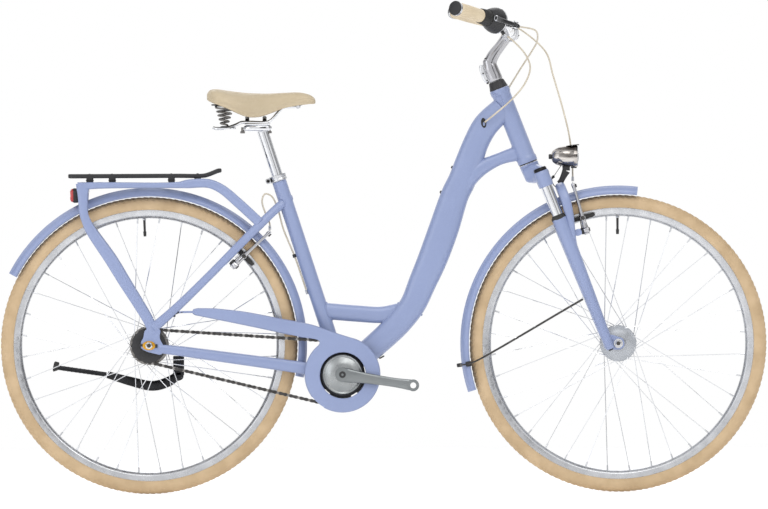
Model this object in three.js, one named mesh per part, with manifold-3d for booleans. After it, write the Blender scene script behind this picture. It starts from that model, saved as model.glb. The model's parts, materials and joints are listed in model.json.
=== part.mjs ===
// Step-through city bicycle with an internal gear hub, a suspension fork and an integrated rear carrier.
// Millimetres. +X points forward, +Y to the rider's left, +Z up. The ground is Z = 0 and the origin
// lies on it in the middle plane, half way between the two axles.
import * as THREE from 'three';
import { mergeVertices } from 'three/addons/utils/BufferGeometryUtils.js';
import Module from 'manifold-3d';

const wasm = await Module();
wasm.setup();

// Driving dimensions
const WHEELBASE = 1108.5;
const RIM_SEAT_RADIUS = 312;
const TYRE_HEIGHT = 39;
const TYRE_OUTER_RADIUS = RIM_SEAT_RADIUS + TYRE_HEIGHT;
const CHAINSTAY_LENGTH = 462;
const BOTTOM_BRACKET_DROP = 70.6;
const SEAT_TUBE_LENGTH = 481;
const HEAD_TUBE_LENGTH = 190;
const FORK_LENGTH = 472.8;
const FORK_OFFSET = 41.6;
const HEAD_TILT = THREE.MathUtils.degToRad(21.2);
const SEAT_TILT = THREE.MathUtils.degToRad(17.9);
const CRANK_LENGTH = 169;
const PAINT_GAP = 0.3;
const CUT_OVERRUN = 5;

// Numbers of sides and steps used all over the bicycle
const WHEEL_STEPS = 36;
const ROUND_SIDES = 8;
const FINE_SIDES = 14;
const SMALL_SIDES = 6;
const BOX_SIDES = 4;
const BOX_POWER = 200;
const WIRE_SIDES = 5;

const blue = { color: 0x8c9fd6, roughness: 0.45, metalness: 0.0 };
const black = { color: 0x17171a, roughness: 0.5, metalness: 0.0 };
const silver = { color: 0xc4c6c8, roughness: 0.3, metalness: 1.0 };
const chrome = { color: 0xe2e4e6, roughness: 0.12, metalness: 1.0 };
const darkSteel = { color: 0x4a4b4d, roughness: 0.4, metalness: 0.9 };
const tan = { color: 0xd2b48a, roughness: 0.85, metalness: 0.0 };
const cream = { color: 0xdccba6, roughness: 0.6, metalness: 0.0 };
const red = { color: 0xc8242c, roughness: 0.2, metalness: 0.0 };
const clear = { color: 0xeef2f4, roughness: 0.1, metalness: 0.0 };

// Shared helpers

const v = (x, y, z) => new THREE.Vector3(x, y, z);
const bicycle = new THREE.Group();

function signedVolume(geometry) {
  const p = geometry.attributes.position;
  const index = geometry.index.array;
  let volume = 0;
  for (let i = 0; i < index.length; i += 3) {
    const [a, b, c] = [0, 1, 2].map((k) => new THREE.Vector3().fromBufferAttribute(p, index[i + k]));
    volume += a.dot(b.cross(c));
  }
  return volume;
}

// Keeps position only, welds equal points, drops flat triangles and turns the faces outwards.
function clean(geometry) {
  let g = geometry.clone();
  for (const name of Object.keys(g.attributes)) if (name !== 'position') g.deleteAttribute(name);
  g = mergeVertices(g, 1e-4);
  const kept = [];
  const index = g.index.array;
  for (let i = 0; i < index.length; i += 3) {
    const [a, b, c] = [index[i], index[i + 1], index[i + 2]];
    if (a !== b && b !== c && a !== c) kept.push(a, b, c);
  }
  g.setIndex(kept);
  if (signedVolume(g) < 0) g.setIndex(kept.reverse());
  return g;
}

function solid(geometry) {
  const g = clean(geometry);
  const vertProperties = new Float32Array(g.attributes.position.array);
  const triVerts = new Uint32Array(g.index.array);
  return new wasm.Manifold(new wasm.Mesh({ numProp: 3, vertProperties, triVerts }));
}

function surface(manifold) {
  const mesh = manifold.getMesh();
  const g = new THREE.BufferGeometry();
  g.setAttribute('position', new THREE.BufferAttribute(new Float32Array(mesh.vertProperties), 3));
  g.setIndex(Array.from(mesh.triVerts));
  return g;
}

const join = (...geometries) => surface(geometries.map(solid).reduce((a, b) => a.add(b)));
const cut = (geometry, ...tools) => surface(tools.map(solid).reduce((a, b) => a.subtract(b), solid(geometry)));

// Adds one named sub-part to the bicycle.
function part(name, geometry, look) {
  const g = clean(geometry);
  g.computeVertexNormals();
  const mesh = new THREE.Mesh(g, new THREE.MeshStandardMaterial(look));
  mesh.name = name;
  bicycle.add(mesh);
}

// Skins rings of equal counts; an open skin gets a fan over each end ring.
function skin(rings, closed = false) {
  const n = rings[0].length;
  const points = rings.flat();
  const index = [];
  const last = closed ? rings.length : rings.length - 1;
  for (let i = 0; i < last; i += 1) {
    const here = i * n;
    const next = ((i + 1) % rings.length) * n;
    for (let j = 0; j < n; j += 1) {
      const k = (j + 1) % n;
      index.push(here + j, here + k, next + k, here + j, next + k, next + j);
    }
  }
  if (!closed) {
    const end = (rings.length - 1) * n;
    for (let j = 1; j < n - 1; j += 1) {
      index.push(0, j + 1, j);
      index.push(end, end + j, end + j + 1);
    }
  }
  const g = new THREE.BufferGeometry();
  g.setAttribute('position', new THREE.Float32BufferAttribute(points.flatMap((p) => [p.x, p.y, p.z]), 3));
  g.setIndex(index);
  return g;
}

// A ring of points around a centre: a rounded rectangle whose squareness grows with the power.
function ring(centre, across, deep, halfWidth, halfDepth, sides, power = 2) {
  const points = [];
  for (let i = 0; i < sides; i += 1) {
    const angle = (2 * Math.PI * (i + 0.5)) / sides;
    const bend = (t) => Math.sign(t) * Math.abs(t) ** (2 / power);
    points.push(centre.clone()
      .addScaledVector(across, halfWidth * bend(Math.cos(angle)))
      .addScaledVector(deep, halfDepth * bend(Math.sin(angle))));
  }
  return points;
}

// Sweeps rounded sections through stations { at, width, depth }; width lies along the side direction.
function sweep(stations, sides = ROUND_SIDES, power = 2, side = v(0, 1, 0)) {
  const rings = stations.map((station, i) => {
    const before = stations[Math.max(i - 1, 0)].at;
    const after = stations[Math.min(i + 1, stations.length - 1)].at;
    const along = station.along ?? after.clone().sub(before).normalize();
    const across = side.clone().addScaledVector(along, -side.dot(along)).normalize();
    const deep = new THREE.Vector3().crossVectors(along, across);
    return ring(station.at, across, deep, station.width / 2, station.depth / 2, sides, power);
  });
  return skin(rings);
}

// A straight round bar between two points; radii may differ.
function bar(from, to, radius, endRadius = radius, sides = ROUND_SIDES) {
  const length = from.distanceTo(to);
  const g = new THREE.CylinderGeometry(endRadius, radius, length, sides);
  const turn = new THREE.Quaternion().setFromUnitVectors(v(0, 1, 0), to.clone().sub(from).normalize());
  g.applyQuaternion(turn);
  g.translate((from.x + to.x) / 2, (from.y + to.y) / 2, (from.z + to.z) / 2);
  return g;
}

// A round tube along a path of points, smoothed as one spline.
function cable(points, radius, steps, sides = SMALL_SIDES) {
  const section = new THREE.Shape();
  for (let i = 0; i < sides; i += 1) {
    const angle = (2 * Math.PI * i) / sides;
    const [x, y] = [radius * Math.cos(angle), radius * Math.sin(angle)];
    if (i === 0) section.moveTo(x, y);
    else section.lineTo(x, y);
  }
  const extrudePath = new THREE.CatmullRomCurve3(points, false, 'centripetal');
  return new THREE.ExtrudeGeometry(section, { steps, bevelEnabled: false, extrudePath });
}

// Turns a profile of [radius, place along the axis] about an axis through a centre.
function turned(profile, centre, axis = v(0, 1, 0), steps = FINE_SIDES, closed = false) {
  const line = profile.map(([radius, along]) => new THREE.Vector2(radius, along));
  if (closed) line.push(line[0].clone());
  const g = new THREE.LatheGeometry(line, steps);
  g.applyQuaternion(new THREE.Quaternion().setFromUnitVectors(v(0, 1, 0), axis.clone().normalize()));
  g.translate(centre.x, centre.y, centre.z);
  return g;
}

// A flat plate: an outline in the X-Z plane, given as corner points, with a thickness along Y.
function plate(corners, y, thickness, holes = []) {
  const shape = new THREE.Shape(corners.map(([x, z]) => new THREE.Vector2(x, z)));
  for (const hole of holes) {
    const path = new THREE.Path();
    path.absarc(hole.x, hole.z, hole.radius, 0, 2 * Math.PI, true);
    shape.holes.push(path);
  }
  const g = new THREE.ExtrudeGeometry(shape, { depth: thickness, bevelEnabled: false, curveSegments: SMALL_SIDES });
  g.rotateX(Math.PI / 2);
  g.translate(0, y + thickness / 2, 0);
  return g;
}

// Points of an arc in the X-Z plane about a centre, with angles in degrees from +X towards +Z.
function arc(centre, radius, fromDegrees, toDegrees, steps) {
  const points = [];
  for (let i = 0; i <= steps; i += 1) {
    const angle = THREE.MathUtils.degToRad(fromDegrees + ((toDegrees - fromDegrees) * i) / steps);
    points.push(v(centre.x + radius * Math.cos(angle), centre.y, centre.z + radius * Math.sin(angle)));
  }
  return points;
}

const box = (width, depth, height, at) => new THREE.BoxGeometry(width, depth, height).translate(at.x, at.y, at.z);

// The frame's main points

const rearAxle = v(-WHEELBASE / 2, 0, TYRE_OUTER_RADIUS);
const frontAxle = v(WHEELBASE / 2, 0, TYRE_OUTER_RADIUS);
const bottomBracket = v(
  rearAxle.x + Math.sqrt(CHAINSTAY_LENGTH ** 2 - BOTTOM_BRACKET_DROP ** 2), 0,
  rearAxle.z - BOTTOM_BRACKET_DROP,
);
const headUp = v(-Math.sin(HEAD_TILT), 0, Math.cos(HEAD_TILT));
const headForward = v(Math.cos(HEAD_TILT), 0, Math.sin(HEAD_TILT));
const seatUp = v(-Math.sin(SEAT_TILT), 0, Math.cos(SEAT_TILT));
const seatForward = v(Math.cos(SEAT_TILT), 0, Math.sin(SEAT_TILT));

const headFoot = frontAxle.clone().addScaledVector(headForward, -FORK_OFFSET);
// A point on the fork side: along the steering axis above the axle's foot, forward of it, and to the side.
const onHead = (up, forward = 0, side = 0) => headFoot.clone()
  .addScaledVector(headUp, up).addScaledVector(headForward, forward).add(v(0, side, 0));
const onSeat = (up, forward = 0, side = 0) => bottomBracket.clone()
  .addScaledVector(seatUp, up).addScaledVector(seatForward, forward).add(v(0, side, 0));
const headBottom = onHead(FORK_LENGTH);
const headTop = onHead(FORK_LENGTH + HEAD_TUBE_LENGTH);
const seatTop = onSeat(SEAT_TUBE_LENGTH);

// Wheels: a horseshoe tyre on a channel rim, laced to a hub with tangent spokes

const TYRE = { section: 41, tread: 5, wall: 3, arcSteps: 4, outerDegrees: 112, innerDegrees: 100 };
const RIM = {
  flangeRise: 9, trackDrop: 6, depth: 11, width: 24, flange: 1.8, innerWidth: 15, seatGap: 0.4, valveRadius: 3, valveLength: 34,
};
const rimEdgeRadius = RIM_SEAT_RADIUS + RIM.flangeRise;
const rimInnerRadius = RIM_SEAT_RADIUS - RIM.depth;
const SPOKE = { count: 36, radius: 1.15, sides: 3, lead: 50, rimGap: 0.4, sink: 1.2, weave: 1.9 };
const FRONT_HUB = {
  flangeRadius: 43, flangeAt: 27, flange: 4, drumRadius: 33, neckRadius: 15, faceAt: 46, bore: 5.4,
};
const REAR_HUB = {
  flangeRadius: 46, flangeAt: 25, flange: 4, drumRadius: 40, neckRadius: 24, faceAt: 40, bore: 5.4,
};
const HUB_SIDES = 12;
const AXLE = { radius: 4.8, nutRadius: 9, nut: 8, washer: 2, end: 4 };

const tyreCentreRadius = TYRE_OUTER_RADIUS - TYRE.section / 2;
const beadHalf = RIM.width / 2 - RIM.flange - RIM.seatGap;

function tyreProfile() {
  const outer = TYRE.section / 2;
  const [floor, edge] = [RIM_SEAT_RADIUS + RIM.seatGap, rimEdgeRadius + RIM.seatGap];
  const turn = (radius, degrees) => {
    const angle = THREE.MathUtils.degToRad(degrees);
    return [tyreCentreRadius + radius * Math.cos(angle), radius * Math.sin(angle)];
  };
  const line = [[floor, -beadHalf], [edge, -beadHalf]];
  for (let i = 0; i <= TYRE.arcSteps; i += 1) line.push(turn(outer, TYRE.outerDegrees * ((2 * i) / TYRE.arcSteps - 1)));
  line.push([edge, beadHalf], [floor, beadHalf], [floor, beadHalf - TYRE.wall], [edge + TYRE.wall, beadHalf - TYRE.wall]);
  line.push(turn(outer - TYRE.wall, TYRE.innerDegrees), turn(outer - TYRE.tread, 0), turn(outer - TYRE.wall, -TYRE.innerDegrees));
  line.push([edge + TYRE.wall, TYRE.wall - beadHalf], [floor, TYRE.wall - beadHalf]);
  return line;
}

// The flanges hold the tyre's beads; below the seat the sides run on flat as the brake track, then taper.
function rimProfile() {
  const half = RIM.width / 2;
  const inner = RIM.innerWidth / 2;
  const track = RIM_SEAT_RADIUS - RIM.trackDrop;
  return [
    [rimEdgeRadius, half], [rimEdgeRadius, half - RIM.flange], [RIM_SEAT_RADIUS, half - RIM.flange],
    [RIM_SEAT_RADIUS, RIM.flange - half], [rimEdgeRadius, RIM.flange - half], [rimEdgeRadius, -half],
    [track, -half], [rimInnerRadius, -inner], [rimInnerRadius, inner], [track, half],
  ];
}

function rim(centre, valveDegrees) {
  const hoop = turned(rimProfile(), centre, v(0, 1, 0), WHEEL_STEPS, true);
  const [outer, inner] = [rimInnerRadius + RIM.flange, rimInnerRadius - RIM.valveLength]
    .map((radius) => arc(centre, radius, valveDegrees, valveDegrees, 1)[0]);
  return join(hoop, bar(outer, inner, RIM.valveRadius, RIM.valveRadius / 2, SMALL_SIDES));
}

function hubProfile(hub) {
  const outside = hub.flangeAt + hub.flange;
  return [
    [hub.bore, -hub.faceAt], [hub.neckRadius, -hub.faceAt], [hub.drumRadius, -outside],
    [hub.flangeRadius, -outside], [hub.flangeRadius, -hub.flangeAt], [hub.drumRadius, -hub.flangeAt],
    [hub.drumRadius, hub.flangeAt], [hub.flangeRadius, hub.flangeAt], [hub.flangeRadius, outside],
    [hub.drumRadius, outside], [hub.neckRadius, hub.faceAt], [hub.bore, hub.faceAt],
  ];
}

// Each side has half the spokes; they leave the flange in turn forwards and backwards.
function spokedHub(hub, centre) {
  let wheel = solid(turned(hubProfile(hub), centre, v(0, 1, 0), HUB_SIDES, true));
  const rimEnd = rimInnerRadius * Math.cos(Math.PI / WHEEL_STEPS) - SPOKE.rimGap;
  for (let i = 0; i < SPOKE.count; i += 1) {
    const side = i % 2 === 0 ? 1 : -1;
    const lead = i % 4 < 2 ? 1 : -1;
    const rimAngle = (360 * (i + 0.5)) / SPOKE.count;
    const hubAngle = rimAngle + lead * SPOKE.lead;
    const flangeMiddle = hub.flangeAt + hub.flange / 2 + lead * SPOKE.weave;
    const from = arc(centre, hub.flangeRadius - SPOKE.sink * 2, hubAngle, hubAngle, 1)[0];
    const to = arc(centre, rimEnd, rimAngle, rimAngle, 1)[0];
    from.y = side * flangeMiddle;
    to.y = (side * RIM.innerWidth) / 8;
    wheel = wheel.add(solid(bar(from, to, SPOKE.radius, SPOKE.radius, SPOKE.sides)));
  }
  return surface(wheel);
}

const tyre = (centre) => turned(tyreProfile(), centre, v(0, 1, 0), WHEEL_STEPS, true);

part('front_tyre', tyre(frontAxle), tan);
part('front_rim', rim(frontAxle, 90), silver);
part('front_hub', spokedHub(FRONT_HUB, frontAxle), silver);
part('rear_tyre', tyre(rearAxle), tan);
part('rear_rim', rim(rearAxle, 92), silver);
part('rear_hub', spokedHub(REAR_HUB, rearAxle), silver);

// Driving dimensions of what holds the wheels: half the width between the dropouts, and their thickness
const FRONT_DROPOUT = { inner: 50.5, thickness: 6 };
const REAR_DROPOUT = { inner: 66, thickness: 6 };

function axle(centre, dropout) {
  const washerAt = dropout.inner + dropout.thickness + PAINT_GAP;
  const nutAt = washerAt + AXLE.washer;
  const end = nutAt + AXLE.nut + AXLE.end;
  const profile = [
    [0, -end], [AXLE.radius, -end], [AXLE.radius, -nutAt - AXLE.nut], [AXLE.nutRadius, -nutAt - AXLE.nut],
    [AXLE.nutRadius, -nutAt], [AXLE.nutRadius + AXLE.washer, -nutAt], [AXLE.nutRadius + AXLE.washer, -washerAt],
    [AXLE.radius, -washerAt],
  ];
  const mirrored = profile.map(([radius, along]) => [radius, -along]).reverse();
  return turned([...profile, ...mirrored], centre, v(0, 1, 0), SMALL_SIDES);
}

part('front_axle', axle(frontAxle, FRONT_DROPOUT), darkSteel);
part('rear_axle', axle(rearAxle, REAR_DROPOUT), darkSteel);

// Frame: a low hydroformed main tube, the seat tube, the stays and the carrier rails, all painted

const BOTTOM_SHELL = { radius: 21, width: 68, bore: 9.2 };
const HEAD_TUBE = { radius: 22, bore: 15.6, race: 3, gussetWidth: 30 };
const SEAT_TUBE = { diameter: 34, bore: 13.9, boreDepth: 264 };
const SPINDLE_RADIUS = 8.6;
const MUDGUARD_CLEARANCE = 3;
const MUDGUARD_BOW = 19;
const MUDGUARD = {
  innerRadius: TYRE_OUTER_RADIUS + MUDGUARD_CLEARANCE, outerRadius: TYRE_OUTER_RADIUS + MUDGUARD_CLEARANCE + MUDGUARD_BOW,
  width: 54, sheet: 1.6, degreesPerStep: 8.5,
};
const CHAINLINE = 50;
const STEERER_RADIUS = 14;

const span = headTop.clone().sub(bottomBracket);
// A point given as shares of the reach and the rise from the bottom bracket to the top of the head tube.
const atShare = ([reach, rise], side = 0) => v(bottomBracket.x + reach * span.x, side, bottomBracket.z + rise * span.z);

// Shares of that reach and rise, then the tube's depth and width as shares of its greatest depth.
const MAIN_TUBE_DEPTH = 71;
const MAIN_TUBE_SHARES = [
  [1.023, 0.931, 0.80, 0.60], [0.916, 0.873, 0.86, 0.62], [0.857, 0.816, 0.85, 0.63],
  [0.811, 0.750, 0.90, 0.64], [0.760, 0.676, 0.93, 0.66], [0.720, 0.632, 0.93, 0.67],
  [0.648, 0.514, 1.00, 0.69], [0.575, 0.405, 0.99, 0.70], [0.508, 0.320, 0.93, 0.70],
  [0.447, 0.244, 0.87, 0.72], [0.361, 0.182, 0.85, 0.74], [0.289, 0.142, 0.83, 0.76],
  [0.214, 0.105, 0.81, 0.78], [0.101, 0.051, 0.79, 0.80],
];
const GUSSET_SHARES = [[0.815, 0.681], [0.940, 0.735], [1.120, 0.782]];
const GUSSET_DEPTHS = [78, 37, 22];
const STRUT_SHARES = [[-0.105, 0.223], [0.101, 0.213], [0.250, 0.209], [0.370, 0.222]];
const STRUT = { depth: 39, width: 27 };

const shellCylinder = (radius, overrun = 0) => bar(
  bottomBracket.clone().add(v(0, -BOTTOM_SHELL.width / 2 - overrun, 0)),
  bottomBracket.clone().add(v(0, BOTTOM_SHELL.width / 2 + overrun, 0)),
  radius, radius, FINE_SIDES,
);

const mainTubeSweep = (grow = 0) => sweep(MAIN_TUBE_SHARES.map(([reach, rise, depth, width]) => ({
  at: atShare([reach, rise]),
  depth: depth * MAIN_TUBE_DEPTH + 2 * grow,
  width: width * MAIN_TUBE_DEPTH + 2 * grow,
})), ROUND_SIDES, 2.6);

function mainTube() {
  const gusset = sweep(GUSSET_SHARES.map((share, i) => (
    { at: atShare(share), depth: GUSSET_DEPTHS[i], width: HEAD_TUBE.gussetWidth }
  )), SMALL_SIDES, 2.6);
  const head = bar(headBottom.clone().addScaledVector(headUp, HEAD_TUBE.race), headTop, HEAD_TUBE.radius,
    HEAD_TUBE.radius, FINE_SIDES);
  const bore = bar(headBottom.clone().addScaledVector(headUp, -CUT_OVERRUN),
    headTop.clone().addScaledVector(headUp, CUT_OVERRUN), HEAD_TUBE.bore, HEAD_TUBE.bore, ROUND_SIDES);
  const beyondHead = headTop.clone().addScaledVector(headUp, MAIN_TUBE_DEPTH / 2);
  const topTrim = bar(headTop, beyondHead, MAIN_TUBE_DEPTH, MAIN_TUBE_DEPTH, SMALL_SIDES);
  return cut(join(mainTubeSweep(), gusset, head), topTrim, bore,
    shellCylinder(BOTTOM_SHELL.radius + PAINT_GAP, CUT_OVERRUN));
}

function seatTube() {
  const tube = bar(bottomBracket, seatTop, SEAT_TUBE.diameter / 2, SEAT_TUBE.diameter / 2, FINE_SIDES);
  const strut = sweep(STRUT_SHARES.map((share) => ({ at: atShare(share), ...STRUT })), SMALL_SIDES, 2.6);
  const strutTrimmed = cut(strut, mainTubeSweep(PAINT_GAP));
  const spindleBore = shellCylinder(BOTTOM_SHELL.bore, CUT_OVERRUN);
  const postBore = bar(onSeat(SEAT_TUBE_LENGTH - SEAT_TUBE.boreDepth),
    onSeat(SEAT_TUBE_LENGTH + CUT_OVERRUN), SEAT_TUBE.bore, SEAT_TUBE.bore, FINE_SIDES);
  return cut(join(tube, strutTrimmed, shellCylinder(BOTTOM_SHELL.radius)), spindleBore, postBore);
}

part('main_tube', mainTube(), blue);
part('seat_tube', seatTube(), blue);

// Rear triangle. Chainstay stations: shares of the way from the rear axle to the bottom bracket
// forward and down, then places to the side and sizes.
const dropoutMiddle = REAR_DROPOUT.inner + REAR_DROPOUT.thickness / 2;
const stayReach = bottomBracket.x - rearAxle.x;
const CHAINSTAY_STATIONS = [
  { share: [0.048, 0.10], side: dropoutMiddle, width: 9, depth: 20 },
  { share: [0.160, 0.19], side: 65, width: 15, depth: 23 },
  { share: [0.490, 0.49], side: 47, width: 16, depth: 26 },
  { share: [0.690, 0.67], side: 38, width: 14, depth: 28 },
  { share: [0.830, 0.81], side: 36, width: 13, depth: 29 },
  { share: [0.975, 0.97], side: 27, width: 16, depth: 30 },
];
const BRIDGE = { chainstayDegrees: -8.8, chainstayRadius: 9, seatstayDegrees: 46.8, seatstayRadius: 7 };

const chainstayPoint = ([reach, drop], side) => v(
  rearAxle.x + reach * stayReach, side, rearAxle.z - drop * BOTTOM_BRACKET_DROP,
);

// Dropout plate outline, as shares of its size around the axle
const DROPOUT_SIZE = 40;
const DROPOUT_SHARES = [
  [-0.25, 0.98], [-0.32, 0.48], [-0.48, 0.20], [-0.48, -0.30], [-0.20, -0.52],
  [0.70, -0.62], [0.95, -0.15], [0.60, 0.45], [0.72, 1.00],
];

function dropoutPlate(side) {
  const corners = DROPOUT_SHARES.map(([x, z]) => [rearAxle.x + x * DROPOUT_SIZE, rearAxle.z + z * DROPOUT_SIZE]);
  const axleSlot = AXLE.radius + 2 * PAINT_GAP;
  const flat = plate(corners, side * dropoutMiddle, REAR_DROPOUT.thickness);
  const slot = box(DROPOUT_SIZE, REAR_DROPOUT.thickness * 2, axleSlot * 2,
    v(rearAxle.x - DROPOUT_SIZE / 2, side * dropoutMiddle, rearAxle.z));
  const seat = bar(v(rearAxle.x, side * REAR_DROPOUT.inner - CUT_OVERRUN * side, rearAxle.z),
    v(rearAxle.x, side * (REAR_DROPOUT.inner + REAR_DROPOUT.thickness + CUT_OVERRUN), rearAxle.z), axleSlot, axleSlot);
  return cut(flat, slot, seat);
}

// A round cross-piece that the rear mudguard rests against
function bridgeBar(degrees, radius, side) {
  const middle = arc(rearAxle, MUDGUARD.outerRadius + PAINT_GAP + radius, degrees, degrees, 1)[0];
  return bar(middle.clone().add(v(0, -side, 0)), middle.clone().add(v(0, side, 0)), radius);
}

function chainstays() {
  const stays = [-1, 1].flatMap((side) => [
    sweep(CHAINSTAY_STATIONS.map((s) => ({ ...s, at: chainstayPoint(s.share, side * s.side) })), ROUND_SIDES, 2.3),
    dropoutPlate(side),
  ]);
  const bridge = bridgeBar(BRIDGE.chainstayDegrees, BRIDGE.chainstayRadius, CHAINSTAY_STATIONS[4].side);
  return cut(join(...stays, bridge), shellCylinder(BOTTOM_SHELL.radius + PAINT_GAP, CUT_OVERRUN));
}
part('chainstays', chainstays(), blue);

// Seat stays: shares of the way from the rear axle to the stay joint on the seat tube
const STAY_JOINT_UP = 428;
const stayJoint = onSeat(STAY_JOINT_UP);
const SEATSTAY_STATIONS = [
  { share: [0.030, 0.120], side: dropoutMiddle, width: 12, depth: 23 },
  { share: [0.200, 0.265], side: 63, width: 15, depth: 20 },
  { share: [0.425, 0.475], side: 54, width: 15, depth: 19 },
  { share: [0.725, 0.765], side: 45, width: 15, depth: 20 },
  { share: [0.815, 0.850], side: 40, width: 15, depth: 20 },
  { share: [0.900, 0.935], side: 27, width: 15, depth: 20 },
  { share: [0.985, 1.005], side: 17, width: 14, depth: 20 },
];
// Radii of a brake from the rim's seat: the arms' pivots and the pads inside it, the arms' tops beyond the tyre
const BRAKE_REACH = { pivotDrop: 34, padDrop: 4, topRise: 80 };
const BRAKE = {
  pivotRadius: RIM_SEAT_RADIUS - BRAKE_REACH.pivotDrop, padRadius: RIM_SEAT_RADIUS - BRAKE_REACH.padDrop,
  topRadius: RIM_SEAT_RADIUS + BRAKE_REACH.topRise, rearDegrees: 43, frontDegrees: 105.5, side: 40, bossRadius: 6,
  bossLength: 20, armDepth: 9, armWidth: 9, footWidth: 11, shoulderWidth: 12.6, shoulderUp: 10, neckUp: 35, neckIn: 3,
  topWidth: 8, topIn: 8, boltHead: 3, padGap: 2.4,
};
const stayPoint = ([reach, rise], side) => v(
  rearAxle.x + reach * (stayJoint.x - rearAxle.x), side, rearAxle.z + rise * (stayJoint.z - rearAxle.z),
);
// A point of a brake: out along the spoke direction, around the rim, and to the side.
function brakePoint(centre, degrees, radius, around, side) {
  const angle = THREE.MathUtils.degToRad(degrees);
  const out = v(Math.cos(angle), 0, Math.sin(angle));
  const turn = v(-Math.sin(angle), 0, Math.cos(angle));
  return centre.clone().addScaledVector(out, radius).addScaledVector(turn, around).add(v(0, side, 0));
}

// A brake boss: a lug from a leg or stay at one side, then a straight pin behind the arm's pivot
function brakeBoss(centre, degrees, side, legSide) {
  const at = (around, y) => brakePoint(centre, degrees, BRAKE.pivotRadius, around, side * y);
  return [
    bar(at(BRAKE.bossLength, BRAKE.side), at(BRAKE.armDepth / 2 + PAINT_GAP, BRAKE.side), BRAKE.bossRadius,
      BRAKE.bossRadius, SMALL_SIDES),
    bar(at(BRAKE.bossLength + BRAKE.bossRadius, legSide), at(BRAKE.bossLength - BRAKE.bossRadius / 2, BRAKE.side),
      BRAKE.bossRadius, BRAKE.bossRadius, SMALL_SIDES),
  ];
}

function seatstays() {
  const stays = [-1, 1].map((side) => sweep(
    SEATSTAY_STATIONS.map((s) => ({ ...s, at: stayPoint(s.share, side * s.side) })), ROUND_SIDES,
  ));
  const bridge = bridgeBar(BRIDGE.seatstayDegrees, BRIDGE.seatstayRadius, SEATSTAY_STATIONS[4].side);
  const bosses = [-1, 1].flatMap((side) => brakeBoss(rearAxle, BRAKE.rearDegrees, side, SEATSTAY_STATIONS[3].side));
  const seatTubeGrown = bar(onSeat(0), onSeat(SEAT_TUBE_LENGTH + CUT_OVERRUN),
    SEAT_TUBE.diameter / 2 + PAINT_GAP, SEAT_TUBE.diameter / 2 + PAINT_GAP, FINE_SIDES);
  const grown = [-1, 1].map((side) => plate(
    DROPOUT_SHARES.map(([x, z]) => [rearAxle.x + x * (DROPOUT_SIZE + 1), rearAxle.z + z * (DROPOUT_SIZE + 1)]),
    side * dropoutMiddle, REAR_DROPOUT.thickness + 2 * PAINT_GAP,
  ));
  return cut(join(...stays, bridge, ...bosses), seatTubeGrown, ...grown);
}
part('seatstays', seatstays(), blue);

// Carrier: a painted rail and leg on each side with a black luggage platform on top

const CARRIER = {
  side: 55, railTop: 738, railRear: -715, railFront: -408, width: 12, kneeRise: 4, crossRadius: 6,
};
const carrierReach = CARRIER.railFront - CARRIER.railRear;
const carrierRise = CARRIER.railTop - rearAxle.z;
// A point on a carrier: a share of the rail's length from its rear end, and a share of its height over the axle.
const carrierPoint = ([along, height], side) => v(
  CARRIER.railRear + along * carrierReach, side, rearAxle.z + height * carrierRise,
);
const RAIL_STATIONS = [
  { share: [-0.02, 0.976], side: 55, width: 12, depth: 18 },
  { share: [0.180, 0.980], side: 55, width: 12, depth: 15 },
  { share: [0.760, 0.980], side: 55, width: 12, depth: 15 },
  { share: [0.825, 0.986], side: 54, width: 12, depth: 20 },
  { share: [0.985, 0.988], side: 52, width: 13, depth: 21 },
  { share: [1.085, 0.955], side: 49, width: 14, depth: 22 },
  { share: [1.220, 0.865], side: 45, width: 14, depth: 23 },
  { share: [1.375, 0.750], side: 42, width: 13, depth: 23 },
];
const LEG_STATIONS = [
  { share: [0.018, 0.990], side: 55, width: 12, depth: 32 },
  { share: [0.020, 0.910], side: 55, width: 12, depth: 24 },
  { share: [0.026, 0.810], side: 55.5, width: 12, depth: 21 },
  { share: [0.049, 0.755], side: 56, width: 12, depth: 22 },
  { share: [0.084, 0.700], side: 57, width: 12, depth: 25 },
  { share: [0.234, 0.525], side: 61, width: 12, depth: 29 },
  { share: [0.329, 0.400], side: 65, width: 11, depth: 28 },
  { share: [0.520, 0.150], side: dropoutMiddle, width: 9, depth: 19 },
];
const CARRIER_CROSSES = [[0.045, 0.945], [1.000, 0.985]];

function carrierFrame() {
  const sides = [-1, 1].flatMap((side) => [RAIL_STATIONS, LEG_STATIONS].map((stations) => sweep(
    stations.map((s) => ({ ...s, at: carrierPoint(s.share, side * s.side) })), SMALL_SIDES, 2.6,
  )));
  const crosses = CARRIER_CROSSES.map((share) => bar(
    carrierPoint(share, -CARRIER.side), carrierPoint(share, CARRIER.side), CARRIER.crossRadius, CARRIER.crossRadius,
    SMALL_SIDES,
  ));
  const above = box(CARRIER.crossRadius * 8, CARRIER.side * 4, CARRIER.crossRadius * 2,
    v(CARRIER.railRear, 0, CARRIER.railTop + CARRIER.crossRadius));
  const stays = [-1, 1].map((side) => sweep(SEATSTAY_STATIONS.map((s) => ({
    at: stayPoint(s.share, side * s.side), width: s.width + 2 * PAINT_GAP, depth: s.depth + 2 * PAINT_GAP,
  })), ROUND_SIDES));
  const plates = [-1, 1].map((side) => plate(
    DROPOUT_SHARES.map(([x, z]) => [rearAxle.x + x * (DROPOUT_SIZE + 1), rearAxle.z + z * (DROPOUT_SIZE + 1)]),
    side * dropoutMiddle, REAR_DROPOUT.thickness + 2 * PAINT_GAP,
  ));
  return cut(join(...sides, ...crosses), above, ...stays, ...plates);
}
part('carrier_frame', carrierFrame(), blue);

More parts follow.
